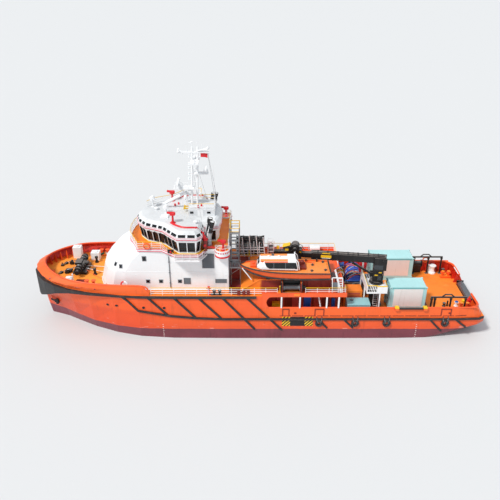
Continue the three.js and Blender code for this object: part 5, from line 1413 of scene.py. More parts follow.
def fire_main():
    """Red mains from the roof monitors, with a thick trunk down each side of the wheelhouse's aft end."""
    main = Shape()
    for x, y, side in ((-9.6, -3.4, -1), (-10.4, 3.1, 1)):
        run = [
            (x, y - side * 0.02, ROOF + 0.1),
            (x + 0.02, y + side * 0.45, ROOF + 0.1),
            (-8.4, side * 4.72, ROOF + 0.06),
            (-7.1, side * 4.78, ROOF + 0.04),
            (-6.88, side * TRUNK_Y, ROOF - 0.05),
        ]
        main.paint(0).pipe(smooth(run, 5), MAIN_RED, 10)
        main.turned([(0.34, 0), (0.34, 0.05), (0.27, 0.08), (0.27, 0.12)], (x, y, ROOF - 0.02), 20)
        out, knee, head = side * TRUNK_Y, (-6.2, side * TRUNK_Y, 13.55), (-5.86, side * TRUNK_Y, 12.85)
        main.pipe(smooth([(-6.95, out, ROOF + 0.02), knee, head], 5), TRUNK * 0.82, 12)
        main.turned([(TRUNK + 0.05, -0.05), (TRUNK + 0.05, 0.05)], head, 16)
        main.turned([(TRUNK + 0.04, -0.04), (TRUNK + 0.04, 0.04)], knee, 16, (0.4, 0, -0.7))
        main.paint(1).bar(head, (-5.92, out, BRIDGE), TRUNK, 14)
        main.paint(0).bar((-5.92, out, BRIDGE + 0.5), (-4.55, out, BRIDGE + 0.32), 0.07, 8)
        main.turned([(0.15, -0.05), (0.15, 0.05)], (-5.9, side * 5.0, 12.2), 12, (0, 1, 0))
        main.bar((-5.9, side * 4.8, 12.2), (-5.9, side * 5.02, 12.2), 0.03, 6)
    piece("fire_main", main, RED, MAROON)


def mast_gear():
    """Lamps, aerials and stays on the mast."""
    lit = Shape()
    for z in (15.9, 16.9, 18.3, 18.9, 19.6, 20.1, 21.0):
        x = -7.69 + (z - 14.8) / 7.4 * 0.33
        lit.paint(0).box(x - 0.42, x - 0.05, -0.1, 0.1, z - 0.03, z + 0.02)
        lit.turned([(0.13, 0), (0.13, 0.03), (0.1, 0.05), (0.1, 0.06)], (x - 0.32, 0, z), 12)
        lit.paint(1).turned([(0.1, 0), (0.1, 0.16)], (x - 0.32, 0, z + 0.06), 12)
        lit.paint(0).turned([(0.12, 0), (0.12, 0.04), (0.04, 0.08)], (x - 0.32, 0, z + 0.22), 12)
    # Crosstree: level on the forward arm, and rising on the aft arm.
    for dy, up in ((-0.2, 0.16), (0.22, 0.3)):
        lit.bar((-8.6, 0, 21.55), (-8.88, dy, 21.55 + up), 0.07, 8)
        lit.turned([(0.13, -0.05), (0.17, 0.1), (0.1, 0.22)], (-8.86, dy, 21.5 + up), 12, (-1, 0, 0.3))
    lit.bar((-6.75, 0, 21.62), (-5.72, 0.02, 22.0), 0.1, 8)
    lit.bar((-6.75, -0.15, 21.8), (-5.6, -0.25, 21.98), 0.07, 8)
    for dy, up in ((-0.24, 0.12), (0.14, 0.0)):
        lit.turned([(0.13, -0.06), (0.16, 0.1), (0.1, 0.2)], (-5.6, dy, 21.98 + up), 12, (1, 0, 0.9))
    lit.bar((-5.7, 0, 21.55), (-5.35, 0, 21.25), 0.045, 6).bar((-8.5, 0, 21.5), (-8.3, 0, 21.1), 0.045, 6)
    for x, z0, z1 in ((-7.36, 22.2, 22.85), (-6.73, 22.2, 22.85), (-8.0, 21.68, 22.2), (-6.2, 21.68, 22.5)):
        lit.bar((x, 0, z0 - 0.15), (x, 0, z1), 0.035, 6)
    lit.turned([(0.15, 0), (0.15, 0.05), (0.05, 0.1)], (-7.36, 0, 22.78), 12)
    lit.bar((-7.72, 0, 22.7), (-7.36, 0, 22.62), 0.06, 6)
    for y in (-1.35, -0.7, 0.7, 1.35):
        lit.paint(0).bar((-7.1, y, 20.6), (-7.1, y, 21.2), 0.03, 6)
        lit.turned([(0.08, 0), (0.08, 0.16)], (-7.1, y, 20.66), 10)
    for x, z in ((-9.2, 17.34), (-5.9, 19.12)):
        lit.pad(x, 0, 0.24, 0.24, z - 0.02, z + 0.3)
    for z in (16.4, 17.3):
        lit.box(-7.05, -6.72, -0.08, 0.08, z, z + 0.05).turned([(0.1, 0), (0.1, 0.22)], (-6.62, 0, z), 10)
    piece("mast_lamps", lit, WHITE, LAMP)
    rail = [(-8.0, -0.5, 17.34), (-9.65, -0.5, 17.34), (-9.65, 0.5, 17.34), (-8.0, 0.5, 17.34)]
    railing("radar_rail", rail, 0.34, 2, 0.7, 0.02, (WHITE, WHITE))
    wires = Shape()
    for side in (-1, 1):
        wires.bar((-7.3, side * 1.3, 20.55), (-6.2, side * 3.9, ROOF), 0.012, 5)
        wires.bar((-5.6, side * 0.1, 21.5), (-4.7, side * 1.2, MAST_HOUSE), 0.014, 5)
    piece("mast_wires", wires, STEEL)


def stair_gear():
    """Yellow rails round the top of the stair tower and a maroon screen on its lower part."""
    low, high = span("stair_tower")
    top = high.z - 0.75
    x0, x1, y0, y1 = low.x + 0.06, high.x - 0.06, low.y + 0.06, high.y - 0.06
    rails = Shape()
    for z, coat in ((high.z - 0.04, 0), (top + 0.3, 0), (top, 1)):
        loop = [(x0, y0, z), (x1, y0, z), (x1, y1, z), (x0, y1, z)]
        rails.paint(coat).pipe(loop, 0.05, 6, closed=True)
    for z in (9.2, 9.6, 11.9, 12.3):
        rails.paint(1).bar((x0, y0 - 0.02, z), (x1, y0 - 0.02, z), 0.03, 6)
    piece("stair_rails", rails, YELLOW, GALVANISED)
    screen = Shape().box(x0, x1, y0 - 0.05, y0 - 0.02, FOREDECK + 0.1, 8.4)
    screen.box(x1 - 0.02, x1 + 0.01, y0, y1, FOREDECK + 0.1, 10.9)
    piece("stair_screen", screen, MAROON)


def signal_flag():
    """A small red flag that hangs from the crosstree's aft arm, rippled along its fly."""
    wide, high, across, down = 0.8, 0.5, 18, 8
    corner = Vector((-6.42, 0.03, 21.49))
    points = []
    for j in range(down + 1):
        for i in range(across + 1):
            fly = i / across
            ripple = 0.05 * fly * sin(fly * 8 + j * 0.35)
            points.append(corner + Vector((wide * fly * 0.985, ripple, -high * j / down - 0.1 * fly**2)))
    faces = []
    for j in range(down):
        for i in range(across):
            k = j * (across + 1) + i
            faces.append((k, k + 1, k + across + 2, k + across + 1))
    mesh = bpy.data.meshes.new("signal_flag")
    mesh.from_pydata([p * SCALE for p in points], [], faces)
    mesh.materials.append(RED)
    mesh.polygons.foreach_set("use_smooth", [True] * len(mesh.polygons))
    cloth = link("signal_flag", mesh)
    thick = cloth.modifiers.new("thick", "SOLIDIFY")
    thick.thickness, thick.offset = 0.002, 0
    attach(cloth, "ship")


def exhausts():
    """Black raked tops, bands, foot flanges and brackets of the exhaust pipes, with a white bar of painted
    highlight along the forward side of each top.
    """
    for side, label in reversed(SIDES):
        pipes = Shape()
        for x0, x1, y, top in EXHAUSTS:
            low, high = Vector((x0, side * y, BEND)), Vector((x1, side * y, top))
            rise = (high - low).normalized()
            for share in (0.32, 0.62, 0.9):
                band = [(0.265, -0.035), (0.3, -0.03), (0.3, 0.03), (0.265, 0.035)]
                pipes.paint(1).turned(band, low.lerp(high, share), 20, rise)
            band = [(0.27, 0), (0.3, 0.01), (0.3, 0.05), (0.27, 0.06)]
            for z in (11.95, 12.35, 12.7):
                pipes.paint(0).turned(band, (low.x, low.y, z), 20)
            lip = [(0.275, -0.35), (0.3, -0.35), (0.3, 0.06), (0.24, 0.06), (0.24, -0.02), (0.275, -0.1)]
            pipes.paint(2).turned(lip, high, 20, rise)
            # A white bar along the forward side of each black top: painted highlight.
            beside = Vector((-0.3, side * 0.1, -0.3))
            pipes.paint(4).bar(low + beside, high + beside - Vector((0, 0, 0.2)), 0.075, 8)
            pipes.turned([(0.25, -0.02), (0.25, 0.03)], high, 20, rise)
        for x, _, y, _ in EXHAUSTS:
            pipes.paint(3).turned([(0.36, 0), (0.36, 0.05), (0.3, 0.08)], (x, side * y, 11.7), 20)
        pipes.paint(3).box(-6.05, -5.15, side * 3.45, side * 3.5, 11.5, 11.76)
        for x in (-6.2, -6.05):
            pipes.paint(4).bar((x, side * 4.2, BRIDGE), (x + 0.05, side * 4.15, 13.9), 0.05, 6)
        piece("exhaust_tops_" + label, pipes, STEEL, GREY, BLACK, ORANGE, WHITE)


bridge_rails()
balconies()
wheelhouse_windows()
roof_edge()
roof_gear()
fire_main()
mast_gear()
stair_gear()
signal_flag()
exhausts()


# UPPER DECK, GALLERY AND WORKBOAT

def upper_rails():
    """Rails along the edges of the upper deck, broken at the launch winch, and a maroon sheet of painted
    shade on the deck behind the house.
    """
    drum_low, drum_high = span("launch_winch_drum")
    edge = HULL_SIDE - 0.22
    aft = UPPER_END - 0.15
    gap = (drum_low.x - 0.5, drum_high.x + 0.45)
    paths = {
        "side_rail_port": [(-12.4, -edge), (gap[0], -edge)],
        "side_rail_port_aft": [(gap[1], -edge), (aft, -edge), (aft, -4.95)],
        "side_rail_starboard": [(-12.4, edge), (aft, edge), (aft, 1.3)],
    }
    for name, path in paths.items():
        railing(name, lifted(path, FOREDECK), 1.0, 4, 1.25, 0.028)
    path = lifted([(HOUSE_AFT + 2.4, 2.0), (HOUSE_AFT + 2.4, 3.8)], FOREDECK)
    railing("house_rail_far", path, 1.0, 3, 0.9, 0.026)
    # A maroon sheet on the deck behind the house: painted shade.
    cover = Shape().box(HOUSE_AFT + 0.02, -0.75, -5.3, 3.85, FOREDECK - 0.01, FOREDECK + 0.012)
    cover.box(HOUSE_AFT + 0.5, -1.9, -5.62, -5.3, FOREDECK - 0.01, FOREDECK + 0.012)
    piece("maroon_deck_patch", cover, MAROON)


def gallery():
    """White sleeves on the gallery posts, and what stands behind them."""
    posts = Shape()
    for x in (2.93, 5.11, 8.28, 9.7):
        for side in (-1, 1):
            posts.box(x - 0.09, x + 0.09, side * 5.74, side * 5.965, 4.32, 5.84)
    piece("gallery_posts", posts, WHITE, bevel=0.02)
    inside = Shape()
    for side in (-1, 1):
        inside.paint(0).box(1.9, 2.9, side * 4.1, side * 4.7, DECK, 4.15)
        inside.paint(1).box(5.7, 6.55, side * 4.15, side * 4.6, DECK + 0.6, 5.0)
        inside.box(9.05, 9.45, side * 4.2, side * 4.7, DECK + 0.4, 4.9)
        inside.paint(2)
        for y in (5.15, 5.5):
            inside.bar((7.3, side * y, 5.85), (7.9, side * y, DECK), 0.04, 6)
        for k in range(9):
            t = (k + 0.7) / 9.5
            x, z = 7.9 - 0.6 * t, DECK + 3.05 * t
            inside.box(x - 0.09, x + 0.09, side * 5.15, side * 5.5, z - 0.015, z + 0.015)
        inside.paint(3)
        for x in (3.9, 8.4):
            inside.box(x - 0.45, x + 0.45, side * 3.8, side * 3.86, DECK + 0.25, 4.95)
            inside.turned([(0.17, 0), (0.2, 0.03), (0.2, 0.05)], (x, side * 3.86, 4.45), 14, (0, side, 0))
        for x in (2.4, 6.9):
            inside.bar((x, side * 3.9, DECK), (x, side * 3.9, 5.8), 0.06, 8)
    piece("gallery_stores", inside, YELLOW, BLUE_PAINT, WHITE, MAROON, bevel=0.02)


def bottle_rack():
    """Rows of gas bottles in place of their plain block, and the rack, hoses and stores round them."""
    low, high = span("gas_bottles")
    r, pitch = 0.115, 0.262
    first_x, first_y = low.x + r + 0.03, low.y + r + 0.02
    deep = round((high.y - low.y - 2 * r) / pitch)
    bottle = [(r * 0.9, 0), (r, 0.03), (r, 1.3), (r * 0.75, 1.42)]
    bottle += [(0.035, 1.5), (0.035, 1.56), (0.05, 1.58), (0.05, 1.64)]
    column, spare = Shape(), Shape()
    for k in range(deep):
        column.turned(bottle, (first_x, first_y + k * pitch, low.z), 10)
        spare.turned(bottle, (high.x + r + 0.12, first_y + k * pitch, low.z), 10)
    count = int((high.x - low.x - 2 * r) / pitch) + 1
    bottles = row("bottle_rows", column, count, (pitch, 0, 0), BLACK)
    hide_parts("gas_bottles")
    row("spare_bottles", spare, 2, (pitch, 0, 0), BLACK)
    rack_low, rack_high = span("bottle_rack")
    near, far, end = rack_low.y - 0.05, rack_high.y + 0.02, rack_high.x + 0.62
    start, length = rack_low.x + 0.05, end - rack_low.x - 0.1
    # Hoses laid over the bottles: y, z, finish.
    table = (
        (4.25, 7.88, 0), (4.53, 7.92, 0), (4.82, 7.9, 1), (5.1, 7.92, 0), (4.4, 8.14, 1),
        (4.68, 8.18, 0), (4.96, 8.16, 0), (4.55, 8.4, 0), (4.86, 8.42, 1),
    )
    hoses = Shape()
    for index, (y, z, coat) in enumerate(table):
        run = []
        for k in range(25):
            x = start + length * k / 24
            run.append((x, y + 0.05 * sin(5 * x + index), z + 0.05 * sin(4.3 * x + 2 * index)))
        hoses.paint(coat).pipe(run, 0.13, 8)
    for k in range(11):
        x = rack_low.x + 0.2 + k * 0.32
        hoses.paint(k % 2).pipe(ring_round((x, 4.68, 8.12), 0.52, 0.42), 0.05, 6, closed=True)
    piece("rack_hoses", hoses, RUBBER, BLACK)
    bars = Shape()
    for z, coat in ((6.2, 1), (6.55, 0), (6.93, 0), (7.3, 0)):
        bars.paint(coat).bar((rack_low.x - 0.05, near, z), (end, near, z), 0.036, 6)
        bars.bar((rack_low.x - 0.05, far, z), (end, far, z), 0.032, 6)
    for k, rise in enumerate((2.5, 2.8, 3.1, 2.9, 2.8)):
        x, y = start + k * length / 4, near - 0.03
        bars.paint(0).bar((x + 0.12, y, FOREDECK), (x - 0.16, y, FOREDECK + rise), 0.062, 8)
        bars.bar((x, far, FOREDECK), (x, far, FOREDECK + 2.4), 0.05, 6)
    bars.paint(2)
    for y in (rack_low.y + 0.3, rack_high.y - 0.3):
        bars.bar((rack_low.x, y, FOREDECK + 1.72), (end, y, FOREDECK + 1.72), 0.03, 6)
    piece("rack_bars", bars, WHITE, YELLOW, BRONZE)
    store = Shape()
    x0, x1, y0, y1, top = 1.6, 2.38, 4.55, 5.25, 7.95
    for x in (x0, x1):
        for y in (y0, y1):
            store.paint(0).bar((x, y, FOREDECK), (x, y, top), 0.05, 6)
    for z in (6.35, 6.9, 7.45, top):
        store.pipe([(x0, y0, z), (x1, y0, z), (x1, y1, z), (x0, y1, z)], 0.04, 6, closed=True)
    store.paint(1).box(x0 + 0.12, x1 - 0.12, y0 + 0.1, y1 - 0.1, FOREDECK, 7.3)
    store.paint(0).box(x0 + 0.2, x1 - 0.3, y0 + 0.15, y1 - 0.15, 7.3, 7.75)
    store.paint(2).box(2.75, 3.1, 4.9, 5.3, FOREDECK, 6.9)
    store.paint(0).box(4.4, 5.6, 4.9, 5.5, FOREDECK, 6.8)
    store.paint(1).box(4.38, 5.62, 4.88, 5.52, 6.8, 6.86)
    drum = [(0.36, 0), (0.38, 0.06), (0.38, 1.24), (0.36, 1.3)]
    store.paint(3).turned(drum, (7.2, 5.2, 6.55), 20, (1, 0, 0))
    for x in (7.4, 8.2):
        store.paint(1).box(x, x + 0.1, 4.8, 5.6, FOREDECK, 6.4)
    piece("deck_stores", store, WHITE, GREY, YELLOW, WHITE, bevel=0.03)


def ring_round(centre, across, up, count=16):
    """Points round an ellipse that stands across the ship."""
    x, y, z = centre
    return [(x, y + across * cos(t), z + up * sin(t)) for t in turns(count)]


# Stations of the workboat: x, keel z, chine half-breadth and z, gunwale half-breadth and z.
BOAT = [
    (-1.93, 9.02, 0.05, 9.07, 0.1, 9.35),
    (-1.3, 8.36, 0.4, 8.79, 0.67, 9.31),
    (0.0, 7.93, 0.95, 8.43, 1.21, 9.21),
    (2.0, 7.75, 1.35, 8.17, 1.59, 9.09),
    (5.0, 7.71, 1.5, 8.07, 1.71, 9.01),
    (8.54, 7.77, 1.5, 8.11, 1.67, 8.95),
]


def boat_line(pick, steps=8):
    """A smooth line through one point of every station, picked as half-breadth and height."""
    return smooth([(x, *pick(keel, cy, cz, gy, gz)) for x, keel, cy, cz, gy, gz in BOAT], steps)


def wall_band(shape, find, fore, aft, side, proud=0.015):
    """A thin plate that follows a wall, between two lines given from low to high as x and z."""
    rings, steps = [], 12
    for k in range(steps + 1):
        share = k / steps
        line = [(a[0] + (b[0] - a[0]) * share, a[1]) for a, b in zip(fore, aft)]
        spots = [find((x, side * 20, z), (0, -side, 0)) for x, z in line]
        out = [spot + normal * proud for spot, normal in spots]
        back = [spot - normal * 0.02 for spot, normal in spots]
        rings.append(out + back[::-1])
    shape.loft(rings)


def workboat():
    """A smooth hull in place of the plain one, its fenders, deck gear, cabin glass and lifting gear."""
    picks = [
        lambda keel, cy, cz, gy, gz: (0.0, keel),
        lambda keel, cy, cz, gy, gz: (cy * 0.55, keel + (cz - keel) * 0.42),
        lambda keel, cy, cz, gy, gz: (cy * 0.97, cz - 0.02),
        lambda keel, cy, cz, gy, gz: (cy + (gy - cy) * 0.62, cz + (gz - cz) * 0.5),
        lambda keel, cy, cz, gy, gz: (gy, gz),
        lambda keel, cy, cz, gy, gz: (gy * 0.9, gz),
        lambda keel, cy, cz, gy, gz: (gy * 0.88, gz - 0.16),
    ]
    lines = [boat_line(pick) for pick in picks]
    rings = []
    for k in range(len(lines[0])):
        half = [Vector((line[k].x, BOAT_Y + line[k].y, line[k].z)) for line in lines]
        rings.append([*half, *(Vector((p.x, 2 * BOAT_Y - p.y, p.z)) for p in half[:0:-1])])
    hull = piece("boat_shell", Shape().loft(rings), BOAT_ORANGE)
    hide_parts("workboat_hull")
    guard = Shape()
    for side in (-1, 1):
        rail = [(p.x, BOAT_Y + side * (p.y + 0.02), p.z - 0.05) for p in lines[4]]
        guard.paint(0).pipe(rail, 0.085, 8)
        low = [(p.x, BOAT_Y + side * (p.y + 0.04), p.z) for p in lines[2][6:]]
        guard.paint(0).pipe(low, 0.11, 8)
        guard.paint(1).pipe([(p.x, BOAT_Y + side * p.y * 0.5, p.z - 0.01) for p in lines[1][10:]], 0.05, 6)
    stern = BOAT[-1][0]
    guard.paint(0).bar((stern + 0.02, BOAT_Y - 1.68, 8.9), (stern + 0.02, BOAT_Y + 1.68, 8.9), 0.085, 8)
    piece("boat_fender", guard, RUBBER, GREY)
    boat_cabin()
    boat_gear()


AT_BOAT = Matrix.Translation((0, BOAT_Y, 0))  # the workboat's own frame, level with the ship's


def boat_cabin():
    """Glass, roof panels, aerial frame and handrail of the workboat's cabin."""
    find = surface("workboat_cabin")
    roof = span("workboat_cabin")[1].z
    glass = Shape()
    for side in (-1, 1):
        fore = [(1.55, 9.22), (1.22, 9.44), (1.18, 9.47), (0.62, 9.98)]
        aft = [(4.68, 9.22), (4.68, 9.44), (4.67, 9.47), (4.52, 9.98)]
        wall_band(glass.paint(0), find, fore, aft, side)
        for x in (1.95, 3.3):
            line = [(x, 9.22), (x, 9.44), (x, 9.47), (x, 9.98)]
            wall_band(glass.paint(4), find, line, [(a + 0.05, b) for a, b in line], side, 0.022)
        strip = [(0.42, 10.0), (0.44, 10.13)]
        wall_band(glass.paint(1), find, strip, [(3.6, 10.0), (3.6, 10.13)], side)
    here, out = find((-4, BOAT_Y, 9.8), (1, 0, 0))
    up = Vector((0, 1, 0)).cross(out) * -1
    pane = Matrix((Vector((0, -1, 0)), up, out)).transposed().to_4x4()
    pane.translation = here
    for y in (-0.4, 0.4):
        glass.at(pane).paint(0).box(y - 0.32, y + 0.32, -0.22, 0.24, -0.02, 0.015)
    glass.at(AT_BOAT).paint(1).twin(0.45, 3.6, 0.42, 0.905, roof - 0.03, roof + 0.015)
    glass.paint(2).box(0.7, 4.3, -0.36, 0.36, roof - 0.02, roof + 0.05)
    for x in (1.4, 2.6):
        glass.turned([(0.12, 0), (0.12, 0.1), (0.18, 0.14), (0.05, 0.2)], (x, 0.15, roof), 12)
    glass.paint(3).box(1.75, 2.05, 0.45, 0.75, roof, roof + 0.12)
    glass.paint(2)
    half_hoop = [(4.95, -0.95, 9.05), (4.8, -0.9, 10.0), (4.45, -0.8, 10.42)]
    glass.pipe(half_hoop + port_of(half_hoop)[::-1], 0.055, 8)
    glass.bar((4.45, 0, 10.4), (4.45, 0, 11.0), 0.02, 6)
    for side in (-1, 1):
        rail = [(0.6, 9.08), (0.75, 9.33), (4.4, 9.3), (4.55, 9.06)]
        glass.pipe([(x, side * 1.24, z) for x, z in rail], 0.022, 6)
    piece("boat_cabin_trim", glass, DARK_GLASS, BOAT_ORANGE, WHITE, BLACK, GREY, bevel=0.01)


def boat_gear():
    """Hatches, bollards and a mat on the workboat's decks, a maroon block of painted shade aft of its cabin,
    and the strut under its bow.
    """
    gear = Shape()
    gear.paint(0).box(-0.75, -0.05, BOAT_Y - 0.5, BOAT_Y + 0.55, 9.03, 9.35)
    gear.turned([(0.14, 0), (0.16, 0.04), (0.16, 0.16), (0.08, 0.2)], (-0.35, BOAT_Y + 0.1, 9.33), 12)
    # A maroon block aft of the cabin: painted shade in the cockpit.
    gear.paint(3).box(4.95, 5.75, BOAT_Y - 0.6, BOAT_Y + 0.75, 8.85, 9.15)
    gear.paint(1)
    spool = [(0.14, 0), (0.14, 0.04), (0.06, 0.06), (0.06, 0.2), (0.12, 0.22), (0.12, 0.26)]
    for x, y in ((6.6, 0.4), (6.4, -1.0), (8.0, -0.85), (7.9, 1.1)):
        gear.turned(spool, (x, BOAT_Y + y, 8.84), 10)
        gear.bar((x - 0.2, BOAT_Y + y, 9.02), (x + 0.2, BOAT_Y + y, 9.02), 0.045, 6)
    gear.paint(2).box(5.9, 8.3, BOAT_Y - 1.3, BOAT_Y + 1.3, 8.82, 8.87)
    for x in (5.9, 7.2):
        gear.paint(1).box(x - 0.08, x + 0.08, BOAT_Y + 1.3, BOAT_Y + 1.4, 8.85, 9.25)
    drum = [(0.22, 0), (0.26, 0.1), (0.26, 0.35), (0.2, 0.42)]
    gear.paint(3).turned(drum, (5.35, BOAT_Y + 0.35, 9.15), 14)
    gear.paint(4).bar((-1.7, BOAT_Y - 0.35, 8.95), (-0.6, BOAT_Y - 0.5, 7.45), 0.075, 8)
    hose = [(5.1, 0.2, 9.2), (5.6, 0.9, 9.05), (6.3, 1.1, 8.95), (6.9, 0.9, 8.92)]
    gear.paint(0).pipe(smooth([(x, BOAT_Y + y, z) for x, y, z in hose], 5), 0.05, 6)
    piece("boat_deck_gear", gear, ORANGE, BLACK, BOAT_ORANGE, MAROON, WHITE, bevel=0.015)


def casing_gear():
    """Launch winch cheeks, rope and motor, edges of the casing, and the boat's chocks."""
    low, high = span("launch_winch_drum")
    y, z = -5.25, 6.8
    cheeks = Shape()
    for x in (low.x - 0.06, high.x - 0.02):
        cheeks.paint(0).box(x, x + 0.1, y - 0.5, y + 0.55, FOREDECK + 0.15, 7.75)
        cheeks.turned([(0.26, -0.1), (0.26, 0.18)], (x + 0.05, y, z), 16, (1, 0, 0))
    cheeks.box(low.x, high.x, y - 0.5, y - 0.42, FOREDECK + 0.1, FOREDECK + 0.35)
    cheeks.box(low.x, high.x, y + 0.42, y + 0.55, 7.5, 7.75)
    cheeks.box(low.x + 0.1, high.x - 0.1, y + 0.3, y + 0.5, FOREDECK + 0.2, 7.5)
    cheeks.turned([(0.2, 0), (0.22, 0.08), (0.22, 0.3), (0.16, 0.36)], (high.x + 0.12, y, z), 16, (1, 0, 0))
    cheeks.paint(1).bar((low.x - 0.2, y - 0.35, FOREDECK), (low.x - 0.2, y - 0.35, 7.1), 0.04, 6)
    cheeks.turned([(0.06, -0.02), (0.09, 0.02), (0.09, 0.08)], (low.x - 0.2, y - 0.35, 7.1), 10)
    cheeks.paint(2).box(high.x - 0.9, high.x - 0.2, y - 0.75, y - 0.5, FOREDECK, 6.3)
    cheeks.box(low.x - 0.5, low.x - 0.12, y - 0.6, y - 0.1, FOREDECK, 6.45)
    piece("winch_frame", cheeks, BLACK, YELLOW, DECK_PAINT, bevel=0.02)
    wrap = Shape().pipe(ring_points((low.x + 0.4, y, z), 0.3, 20, "x"), 0.028, 5, closed=True)
    pitch = 0.058
    count = int((high.x - low.x - 0.8) / pitch)
    row("winch_rope", wrap, count, (pitch, 0, 0), STEEL, "winch_drum")
    top = 7.5
    trim = Shape()
    for wall_y in (-4.7, 1.0):
        trim.paint(0).bar((-1.85, wall_y, 6.04), (0.42, wall_y, top + 0.02), 0.075, 8)
        trim.bar((0.42, wall_y, top + 0.01), (9.0, wall_y, top + 0.01), 0.07, 8)
        trim.turned([(0.075, 0), (0.075, 0.02)], (0.42, wall_y, top), 8)
    trim.bar((9.0, -4.7, top + 0.01), (9.0, 1.0, top + 0.01), 0.06, 8)
    for x in (2.0, 4.0, 6.0, 8.0):
        trim.paint(1).box(x - 0.3, x + 0.3, -0.9, -0.1, top - 0.02, top + 0.12)
    for x in (6.0, 7.6):
        trim.paint(2).box(x, x + 0.06, -4.78, -4.7, FOREDECK + 0.1, top)
    for k in range(4):
        trim.box(8.99, 9.04, -4.2 + 1.3 * k, -3.3 + 1.3 * k, FOREDECK + 0.25, top - 0.25)
    piece("casing_trim", trim, DECK_PAINT, GREY, MAROON, bevel=0.015)
    pads = Shape()
    for x in (1.35, 6.75):
        for dy in (-0.55, 1.2):
            pads.pad(x, BOAT_Y + dy, 0.22, 0.1, 7.5, 8.12)
    piece("boat_chocks", pads, BLACK, bevel=0.03)


def boat_access():
    """Sleeves on the boat's ladder, the frame and grated platform beside it, and the gangway."""
    sleeves = Shape()
    foot, head = Vector((10.0, 0, FOREDECK)), Vector((9.15, 0, 8.9))
    for y in (-5.51, -4.81):
        sleeves.bar(foot + Vector((0, y, 0)), head + Vector((0, y, 0)), 0.115, 8)
    for k in range(9):
        spot = foot.lerp(head, (k + 0.6) / 9.2)
        sleeves.bar(spot + Vector((0, -5.5, 0)), spot + Vector((0, -4.82, 0)), 0.035, 6)
    # Ladder frame at the rail: two uprights with rungs between them and a long top bar.
    near = -5.62
    for x0, x1 in ((9.6, 9.44), (10.08, 9.96)):
        sleeves.bar((x0, near, FOREDECK), (x1, near, 8.28), 0.06, 8)
    for k in range(7):
        z = FOREDECK + 0.3 + k * 0.31
        lean = (z - FOREDECK) * 0.06
        sleeves.bar((9.6 - lean, near, z), (10.08 - lean, near, z), 0.032, 6)
    top_bar = [(8.75, near, 8.0), (8.8, near, 8.28), (9.4, near, 8.28), (9.96, near, 8.28)]
    sleeves.pipe(smooth(top_bar, 4), 0.06, 8)
    sleeves.bar((8.78, near, 8.2), (8.9, near, FOREDECK), 0.05, 8)
    piece("boat_ladder_sleeves", sleeves, WHITE)
    floor = Shape()
    x0, x1, y0, y1, z = 8.72, 9.66, -4.72, -3.2, 7.72
    near_panel = -5.56
    floor.paint(1).box(8.8, 9.46, near_panel, near_panel + 0.05, 6.5, 7.62)
    floor.box(x0 + 0.05, x0 + 0.1, y0, y1, 6.5, z - 0.06)
    for x in (x0, x1 - 0.06):
        floor.paint(0).box(x, x + 0.06, y0, y1, z - 0.12, z)
    for k in range(11):
        floor.box(x0 + 0.06, x1 - 0.06, y0 + 0.14 * k, y0 + 0.14 * k + 0.05, z - 0.06, z)
    for x in (x0 + 0.1, x1 - 0.1):
        for y in (y0 + 0.1, y1 - 0.1):
            floor.bar((x, y, FOREDECK), (x, y, z - 0.1), 0.06, 8)
    piece("boat_platform", floor, GALVANISED, GREY)
    walk = Shape()
    y0, y1, end = -3.45, -2.3, -1.85
    for y in (y0, y1 - 0.06):
        walk.box(HOUSE_AFT, end, y, y + 0.06, 8.34, 8.5)
    for k in range(8):
        x = HOUSE_AFT + 0.02 + k * 0.19
        walk.box(x, x + 0.12, y0, y1, 8.47, 8.51)
    for x in (end - 0.06, HOUSE_AFT + 0.3):
        walk.bar((x, y0 + 0.1, FOREDECK), (x, y0 + 0.1, 8.45), 0.05, 6)
    walk.bar((HOUSE_AFT, y0 + 0.03, 7.3), (end - 0.06, y0 + 0.1, 8.36), 0.045, 6)
    piece("gangway", walk, GALVANISED)
    path = [(HOUSE_AFT + 0.05, y0 + 0.04, 8.5), (end - 0.04, y0 + 0.04, 8.5)]
    railing("gangway_rail", path, 0.9, 3, 0.7, 0.022, (GALVANISED, GALVANISED))


upper_rails()
gallery()
bottle_rack()
workboat()
casing_gear()
boat_access()


# CRANE, CONTAINERS, UMBILICAL REEL AND STERN

CRANE_X, CRANE_Y = 14.6, -2.6  # slewing axis
BOOM_TURN = -8  # degrees from fore and aft
# The crane's own frame: the boom lies along its X.
AT_CRANE = Matrix.Translation((CRANE_X, CRANE_Y, 0)) @ Matrix.Rotation(radians(BOOM_TURN), 4, "Z")
DRUM_X, DRUM_Z = -10.0, 10.15  # axis of the hoist drum, in the crane's own frame
# Radius and height along the hoist motor and along a flange of the hoist drum.
MOTOR = [(0.2, 0), (0.24, 0.05), (0.24, 0.3), (0.16, 0.36)]
FLANGE = [(0.36, 0), (0.4, 0.03), (0.4, 0.07), (0.3, 0.1), (0.12, 0.12), (0.12, 0.2), (0.06, 0.22)]


